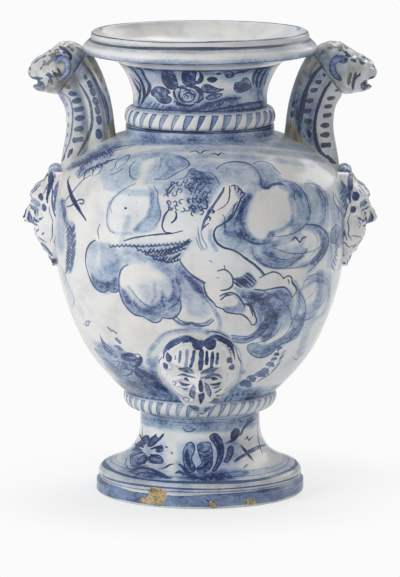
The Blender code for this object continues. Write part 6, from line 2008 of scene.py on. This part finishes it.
class AMPHORA_OT_cords(bpy.types.Operator):
    """Roll the two notched cords and lay them round the stem and the neck"""

    bl_idname = "amphora.cords"
    bl_label = "Notched cords"

    def execute(self, context):
        sizes = settings()
        inner = STEM_RADIUS + LUTE_GAP
        bottom = (inner + STEM_CORD_BULGE, STEM_TOP_Z - STEM_CORD_DROP)
        seat = grown(BOWL_SHAPE[1:2], (STEM_RADIUS, BODY_RADIUS), (BOWL_Z, WIDEST_Z))[0]
        stem = cord_mesh(
            "stem_cord", seat, bottom, STEM_CORD_BULGE, inner,
            sizes.stem_notches, sizes.notch_depth, NOTCH_SLANT, sizes.spacing * 0.8,
        )
        inner = NECK_RADIUS + LUTE_GAP
        top, bottom = (inner, NECK_Z + NECK_CORD_HEIGHT), (inner + NECK_CORD_FOOT, NECK_Z)
        neck = cord_mesh(
            "neck_cord", top, bottom, NECK_CORD_BULGE, inner,
            sizes.neck_notches, sizes.notch_depth, NOTCH_SLANT, sizes.spacing * 0.8,
        )
        cords = (
            ("stem_cord", stem, sizes.stem_notches, STEM_CORD_TONE),
            ("neck_cord", neck, sizes.neck_notches, NECK_CORD_TONE),
        )
        for node, mesh, notches, strength in cords:
            canvas = Canvas(mesh, turned=True)
            paint_cord(canvas, notches, NOTCH_SLANT, strength)
            canvas.commit()
            add_piece(mesh, "painted_tin_glaze", node)
        return {"FINISHED"}


class AMPHORA_OT_handles(bpy.types.Operator):
    """Build the two fluted handles with their beast heads and scrolled ears"""

    bl_idname = "amphora.handles"
    bl_label = "Handles"

    def execute(self, context):
        body, rim = vessel_outline(SEAT_SPACING), rim_outline(SEAT_SPACING)
        for label, side in (("left", -1), ("right", 1)):
            handle = seated(seated(handle_points(side), body, BODY_SEAT), rim, RIM_SEAT)
            head = seated(head_points(side), rim, RIM_SEAT)
            mesh = outward_mesh("handle", handle)
            add_applied(mesh, "blue_washed_glaze", f"{label}_handle", paint_handle, side)
            mesh = outward_mesh("head", head)
            add_applied(mesh, "painted_tin_glaze", f"{label}_head", paint_head, side)
            for place, flank in (("front", -1), ("back", 1)):
                mesh = outward_mesh("ear", ear_points(side, flank))
                add_applied(mesh, "blue_washed_glaze", f"{label}_{place}_ear", paint_ear, side)
        return {"FINISHED"}


class AMPHORA_OT_masks(bpy.types.Operator):
    """Press the three masks and the curls over the side ones"""

    bl_idname = "amphora.masks"
    bl_label = "Masks"

    def execute(self, context):
        spacing = settings().handle_spacing
        body = vessel_outline(SEAT_SPACING)
        chin, up, out = front_mask_place(body)
        leaning = mask_points(chin - up * CHIN_DROP, up, out, spacing, False)
        flat = mask_view(leaning)
        mesh = outward_mesh("mask", seated(leaning, body, BODY_SEAT))
        add_applied(mesh, "painted_tin_glaze", "front_mask", paint_mask, flat, out, False)
        for label, side in (("left", -1), ("right", 1)):
            chin = Vector(((BODY_RADIUS - MASK_SINK) * side, 0.0, SIDE_MASK_Z))
            points = mask_points(chin, Vector((0, 0, 1)), Vector((side, 0, 0)), spacing, True)
            mesh = outward_mesh("mask", seated(points, body, BODY_SEAT))
            add_applied(mesh, "painted_tin_glaze", f"{label}_mask", paint_mask, flat, (side, 0, 0), True)
            curl = outward_mesh("curl", curl_points(side))
            add_applied(curl, "blue_washed_glaze", f"{label}_mask_curl", paint_curl)
        return {"FINISHED"}


def mask_view(points):
    """Where the camera sees a mask's vertices, with its skirt laid out flat round them."""
    flat = to_photo(points.reshape(-1, 3)).reshape(*points.shape[:2], 2)
    edge, middle = flat[-1 - SKIRT_ROWS], flat[0].mean(0)
    for row in range(SKIRT_ROWS):
        flat[row - SKIRT_ROWS] = edge + (edge - middle) * 0.02 * (row + 1)
    return flat.reshape(-1, 2)


def add_applied(mesh, slot, node, paint, *extra):
    """Paints a piece that was modelled by hand and adds it."""
    canvas = Canvas(mesh)
    paint(canvas, *extra)
    canvas.commit()
    add_piece(mesh, slot, node)


def front_mask_place(body):
    """Chin, up and outward direction of the front mask, which leans on the bowl over its cord."""
    out = reach("stem_cord") + FRONT_MASK_OVERHANG
    cord_low, cord_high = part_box("stem_cord")
    chin = Vector((0.0, -out, (cord_low.z + cord_high.z) / 2 + FRONT_MASK_LIFT))
    rising = body[::-1]
    lengths = np.hypot(rising[:, 0] - out, rising[:, 1] - chin.z)
    leaning = (lengths >= MASK_HEIGHT) & (rising[:, 1] > chin.z)
    radius, height = rising[np.argmax(leaning)]
    up = (Vector((0.0, -radius, height)) - chin).normalized()
    return chin, up, up.cross(Vector((1.0, 0.0, 0.0))) * -1


class AMPHORA_OT_stage(bpy.types.Operator):
    """Set up the floor, the soft lights and the camera of the photo"""

    bl_idname = "amphora.stage"
    bl_label = "Stage"

    def execute(self, context):
        scene = context.scene
        scene.view_settings.view_transform = "Standard"
        make_floor(colours().floor)
        make_lights(scene)
        make_camera(scene)
        return {"FINISHED"}


def make_floor(colour):
    """Wide pale floor: it takes the vessel's shadow, and further off the camera sees plain paper."""
    points = np.array([[(x, y, 0.0) for x in (-9.0, 9.0)] for y in (-7.0, 16.0)])
    mesh = grid_mesh("floor", points, closed_columns=False, caps=False)
    graph = Graph("floor_paper")
    place = graph.node("ShaderNodeTexCoord", output="Object")
    tone = graph.noise(place, 3.0, 2.0)
    shade = graph.mix(tone * 0.04, colour, FLOOR_SHADE)
    diffuse = graph.node("ShaderNodeBsdfDiffuse", None, {"Color": shade}, output="BSDF")
    inputs = {"Color": (*PAPER, 1.0), "Strength": 1.0}
    paper = graph.node("ShaderNodeEmission", None, inputs, output="Emission")
    away = graph.node("ShaderNodeVectorMath", {"operation": "LENGTH"}, {0: place}, output="Value")
    seen = graph.node("ShaderNodeLightPath", output="Is Camera Ray")
    far = (0.66 + 0.34 * away.step(FLOOR_NEAR, FLOOR_FAR)) * seen
    surface = graph.node("ShaderNodeMixShader", None, {0: far, 1: diffuse, 2: paper}, output="Shader")
    graph.node("ShaderNodeOutputMaterial", None, {"Surface": surface})
    mesh.materials.append(graph.material)
    floor = bpy.data.objects.new("floor", mesh)
    bpy.context.scene.collection.objects.link(floor)


def add_light(name, place, size, power, colour, mirrored):
    light = bpy.data.lights.new(name, "AREA")
    light.shape = "RECTANGLE"
    light.size, light.size_y = size
    light.energy = power
    light.color = colour
    lamp = bpy.data.objects.new(name, light)
    lamp.visible_glossy = mirrored
    lamp.location = place
    lamp.rotation_euler = (Vector(LIGHT_AIM) - Vector(place)).to_track_quat("-Z", "Y").to_euler()
    bpy.context.scene.collection.objects.link(lamp)


def make_lights(scene):
    for light in LIGHTS:
        add_light(*light)
    world = bpy.data.worlds.new("studio")
    scene.world = world
    world.use_nodes = True
    tree = world.node_tree
    tree.nodes.clear()
    path = tree.nodes.new("ShaderNodeLightPath")
    seen = tree.nodes.new("ShaderNodeMath")
    seen.operation = "MAXIMUM"
    tree.links.new(path.outputs["Is Camera Ray"], seen.inputs[0])
    tree.links.new(path.outputs["Is Transmission Ray"], seen.inputs[1])
    room = tree.nodes.new("ShaderNodeBackground")
    room.inputs["Color"].default_value = ROOM_COLOUR
    room.inputs["Strength"].default_value = ROOM_STRENGTH
    paper = tree.nodes.new("ShaderNodeBackground")
    paper.inputs["Color"].default_value = (*PAPER, 1.0)
    blend = tree.nodes.new("ShaderNodeMixShader")
    tree.links.new(seen.outputs[0], blend.inputs[0])
    tree.links.new(room.outputs[0], blend.inputs[1])
    tree.links.new(paper.outputs[0], blend.inputs[2])
    output = tree.nodes.new("ShaderNodeOutputWorld")
    tree.links.new(blend.outputs[0], output.inputs["Surface"])


def make_camera(scene):
    """Camera of the photo: its aim lies above the frame's middle, so it tilts a little lower."""
    lens = bpy.data.cameras.new("camera")
    lens.sensor_width = SENSOR
    lens.lens = SENSOR * VIEW_FOCUS / PHOTO_HEIGHT
    lens.clip_end = 50.0
    camera = bpy.data.objects.new("camera", lens)
    back = Vector((0.0, -math.cos(VIEW_ELEVATION), math.sin(VIEW_ELEVATION)))
    camera.location = VIEW_TARGET + back * VIEW_DISTANCE
    tilt = math.atan((PHOTO_HEIGHT / 2 - VIEW_CENTRE[1]) / VIEW_FOCUS)
    camera.rotation_euler = (math.pi / 2 - VIEW_ELEVATION - tilt, 0.0, 0.0)
    scene.collection.objects.link(camera)
    scene.camera = camera


# Washes and lines right round the body: kind, height, half width, tone
BODY_LEVELS = [
    # The first two washes lie just below the collar line, under the neck cord: they are the shoulder's blue
    # band and also painted shade of the cord
    ("wash", COLLAR_Z - 0.004, 0.0060, 0.52), ("wash", COLLAR_Z - 0.009, 0.0040, 0.30),
    ("line", COLLAR_Z - 0.0012, 0.0010, 0.85), ("wash", BOWL_Z + 0.012, 0.0100, 0.40),
]
FOOT_LEVELS = [
    ("stroke", 0.0084, 0.0062, 0.62), ("line", 0.0172, 0.0005, 0.60), ("line", 0.0208, 0.0009, 0.80),
    ("wash", 0.0190, 0.0026, 0.26), ("line", PLINTH_HEIGHT - 0.0004, 0.0010, 0.80),
    ("wash", PLINTH_HEIGHT - 0.0030, 0.0020, 0.20), ("wash", STEM_Z + 0.0020, 0.0030, 0.30),
    ("stain", 0.0240, 0.0025, 0.22), ("wash", STEM_TOP_Z - 0.0090, 0.0120, 0.42),
    ("wash", STEM_TOP_Z - 0.0170, 0.0060, 0.26), ("line", STEM_TOP_Z - 0.0085, 0.0005, 0.56),
    ("line", STEM_TOP_Z - 0.0056, 0.0004, 0.50), ("line", STEM_TOP_Z - 0.0118, 0.0004, 0.50),
    ("line", STEM_TOP_Z - 0.0150, 0.0003, 0.42), ("wash", STEM_TOP_Z - 0.0128, 0.0016, 0.30),
    ("line", STEM_Z + 0.0058, 0.0002, 0.34), ("line", STEM_Z + 0.0030, 0.0003, 0.44),
]
NECK_LEVELS = [
    ("wash", NECK_TOP_Z - 0.0020, 0.0030, 0.50), ("line", NECK_TOP_Z - 0.0012, 0.0006, 0.60),
    ("line", NECK_Z + NECK_CORD_HEIGHT + 0.0018, 0.0008, 0.80),
    ("wash", NECK_Z + NECK_CORD_HEIGHT + 0.0040, 0.0030, 0.40),
]
RIM_LEVELS = [
    ("line", RIM_TOP_Z - 0.0012, 0.0006, 0.80), ("line", RIM_TOP_Z - 0.0085, 0.0013, 0.98),
    ("wash", RIM_TOP_Z - 0.0100, 0.0030, 0.36), ("stain", RIM_TOP_Z - 0.0095, 0.0030, 0.30),
    ("wash", RIM_TOP_Z - 0.0225, 0.0034, 0.46), ("stain", RIM_TOP_Z - 0.0020, 0.0016, 0.20),
    ("line", RIM_TOP_Z - 0.0238, 0.0007, 0.85),
]


def paint_levels(canvas, levels):
    """Washes and lines that run right round: (kind, height, half width, tone) in metres."""
    x, y, z = canvas.points.T
    angle = np.arctan2(x, -y)
    for index, (kind, height, half, tone) in enumerate(levels):
        wave = LEVEL_WAVE * (np.sin(2 * angle + index) + 0.5 * np.sin(5 * angle + 2 * index))
        ragged = np.sin(3 * angle + 1.7 * index) + 0.5 * np.sin(11 * angle + index)
        thick = half + min(0.25 * half, RAGGED_LIMIT) * ragged
        gap = thick - np.abs(z - height - wave)
        chosen = np.nonzero(canvas.outer & (gap > -0.004))[0]
        if kind in ("wash", "stain"):
            patch = 0.85 + 0.15 * np.sin(7 * angle[chosen] + index)
            canvas.soak(kind, chosen, tone * (smoothstep(-0.002, 0.0015, gap[chosen]) * patch))
        else:
            canvas.edge(kind, chosen, gap[chosen], tone)


def paint_body(canvas):
    """Sky with clouds, a putto seen from behind, plants at the bowl's foot and plumes by the masks."""
    front = canvas.eye(0)
    pens = {sheet: Pen(canvas, front, sheet, 3, width=1.2) for sheet in (SKY_SHEET, CLOUD_SHEET, BOWL_SHEET)}
    Pen(canvas, front, WASH_SHEET, 2).draw(BODY_WASHES)
    pens[SKY_SHEET].draw(SKY_CLOUDS + SKY_EDGE + PUTTO_SKY)
    pens[CLOUD_SHEET].draw(HIGH_CLOUDS + RIGHT_EDGE + PUTTO)
    # The painted shadow round the front mask goes on the front only, where the mask stands
    pens[BOWL_SHEET].draw(BOWL_SCROLLS + MASK_SHADOW_RING + BOWL_GROUND + BOWL_PLANTS)
    back = canvas.eye(180)
    Pen(canvas, back, WASH_SHEET, 4).draw(BODY_WASHES)
    Pen(canvas, back, SKY_SHEET, 5).draw(SKY_CLOUDS + SKY_EDGE)
    Pen(canvas, back, CLOUD_SHEET, 5).draw(HIGH_CLOUDS + RIGHT_EDGE)
    Pen(canvas, back, BOWL_SHEET, 5).draw(BOWL_SCROLLS + BOWL_GROUND + BOWL_PLANTS)
    paint_levels(canvas, BODY_LEVELS)


def paint_foot(canvas):
    """Plants on the flared stem, blue bands round the plinth and chips in its edge."""
    for azimuth, seed in ((0, 7), (180, 9)):
        view = canvas.eye(azimuth)
        Pen(canvas, view, FOOT_SHEET, seed).draw(FOOT_PLANTS)
    Pen(canvas, canvas.eye(0), FOOT_SHEET, 7).draw(FOOT_CHIPS)
    paint_levels(canvas, FOOT_LEVELS)


def paint_neck(canvas):
    """Flowers round the neck, between a pale wash above and the ground below."""
    Pen(canvas, canvas.eye(0), NECK_SHEET, 11).draw(NECK_PLANTS)
    Pen(canvas, canvas.eye(180), NECK_SHEET, 12).draw(NECK_PLANTS)
    paint_levels(canvas, NECK_LEVELS)


def paint_rim(canvas):
    """Thin lines along the lip and in the groove, and a blue lower edge."""
    paint_levels(canvas, RIM_LEVELS)
    x, y, z = canvas.points.T
    radius = np.hypot(x, y)
    crest = 0.0012 - np.abs(radius - LIP_RADIUS + LIP_THICKNESS * 0.6)
    chosen = np.nonzero((crest > -0.003) & (z > RIM_TOP_Z - 0.004) & (y > 0.03))[0]
    canvas.edge("line", chosen, crest[chosen] * smoothstep(0.0, 0.05, y[chosen] - 0.03), 0.8)


def paint_cord(canvas, notches, slant, strength):
    """One slanted wedge of blue in each notch, with a darker edge."""
    x, y, z = canvas.points.T
    bottom, top = z.min(), z.max()
    share = (top - z) / (top - bottom)
    pitch = math.tau / notches
    angle = np.arctan2(x, -y) + slant * pitch * (share - 0.5)
    index = np.round(angle / pitch)
    chance = np.random.default_rng(notches)
    notch = index.astype(int) % notches
    size = chance.uniform(0.7, 1.15, notches)[notch]
    tone = strength * chance.uniform(0.42, 0.80, notches)[notch]
    across = (angle - index * pitch) * np.hypot(x, y)
    width = np.hypot(x, y) * pitch * (0.30 * np.clip(1.02 - share, 0, 1) ** 0.6 + 0.03) * size
    gap = np.minimum(width - np.abs(across), (0.93 - share) * (top - bottom))
    gap = np.minimum(gap, (share - 0.10) * (top - bottom))
    chosen = np.nonzero(canvas.outer)[0]
    canvas.edge("stroke", chosen, gap[chosen], tone[chosen])
    canvas.edge("line", chosen, 0.0005 - np.abs(gap[chosen] - 0.0006), tone[chosen] + 0.1)
    canvas.soak("wash", chosen, 0.30 * (smoothstep(0.75, 1.0, share) + smoothstep(0.18, 0.0, share))[chosen])


def paint_both_sides(canvas, sheet, motifs, seed):
    """The same motifs on the front flank and, seen from behind, on the back flank."""
    Pen(canvas, canvas.eye(0), sheet, seed).draw(motifs)
    Pen(canvas, canvas.eye(180), sheet.behind(), seed + 1).draw(motifs)


def weathered(canvas, amount):
    """Olive grey tint and thin blue washes in patches."""
    x, y, z = canvas.points.T
    patch = 0.5 + 0.5 * np.sin(95 * x + 60 * z) * np.sin(120 * z - 50 * y + 1.0)
    canvas.soak("stain", np.arange(len(x)), amount * (0.35 + 0.65 * patch))
    canvas.soak("wash", np.arange(len(x)), 0.15 * amount + 0.85 * amount * (1 - patch))


def paint_handle(canvas, side):
    weathered(canvas, WEATHERING)
    sheet, motifs = (LEFT_SHEET, LEFT_HANDLE) if side < 0 else (RIGHT_SHEET, RIGHT_HANDLE)
    paint_both_sides(canvas, sheet, motifs, 21)


def paint_head(canvas, side):
    weathered(canvas, WEATHERING)
    sheet, motifs = (LEFT_SHEET, LEFT_HEAD) if side < 0 else (RIGHT_SHEET, RIGHT_HEAD)
    paint_both_sides(canvas, sheet, motifs, 31)


def paint_ear(canvas, side):
    """Scrolls in a full blue, painted lighter along their crests as a highlight, and deeper on the right."""
    # The front and back faces of each scroll are painted lighter: a painted highlight
    crest = np.abs(canvas.normals[:, 1]) ** 3
    canvas.soak("wash", np.arange(len(canvas.points)), 0.88 + 0.10 * side - 0.26 * crest)


def paint_curl(canvas):
    x, y, z = canvas.points.T
    canvas.soak("wash", np.arange(len(x)), 0.30 + 0.45 * (0.5 + 0.5 * np.sin(520 * y + 260 * z)) ** 2)


def paint_mask(canvas, flat, out, framed):
    """Arched hair, brows, eyes, nose and mouth in full strokes, with a painted frame on the side masks."""
    view = canvas.view(flat, canvas.normals @ np.array(out) > -0.3)
    pen = Pen(canvas, view, MASK_SHEET, 41, step=1.0)
    pen.draw(MASK_PAINT)
    if framed:
        pen.draw(SIDE_FRAME)


class AMPHORA_PT_panel(bpy.types.Panel):
    """Sizes, colours and steps of the amphora"""

    bl_idname = "AMPHORA_PT_panel"
    bl_label = "Majolica Amphora"
    bl_space_type = "VIEW_3D"
    bl_region_type = "UI"
    bl_category = "Amphora"

    def draw(self, context):
        layout = self.layout
        for group in (context.scene.amphora_sizes, context.scene.amphora_colours):
            box = layout.box()
            for name in group.bl_rna.properties.keys():
                if name not in ("rna_type", "name"):
                    box.prop(group, name)
        for operator in STEPS:
            layout.operator(operator.bl_idname)


STEPS = (
    AMPHORA_OT_stage, AMPHORA_OT_foot, AMPHORA_OT_body, AMPHORA_OT_neck,
    AMPHORA_OT_cords, AMPHORA_OT_handles, AMPHORA_OT_masks,
)
CLASSES = (AMPHORA_PG_sizes, AMPHORA_PG_colours, *STEPS, AMPHORA_PT_panel)


def register():
    for item in CLASSES:
        bpy.utils.register_class(item)
    bpy.types.Scene.amphora_sizes = PointerProperty(type=AMPHORA_PG_sizes)
    bpy.types.Scene.amphora_colours = PointerProperty(type=AMPHORA_PG_colours)


def unregister():
    del bpy.types.Scene.amphora_colours
    del bpy.types.Scene.amphora_sizes
    for item in reversed(CLASSES):
        bpy.utils.unregister_class(item)


def main():
    register()
    for step in STEPS:
        module, name = step.bl_idname.split(".")
        getattr(getattr(bpy.ops, module), name)()


if __name__ == "__main__":
    main()
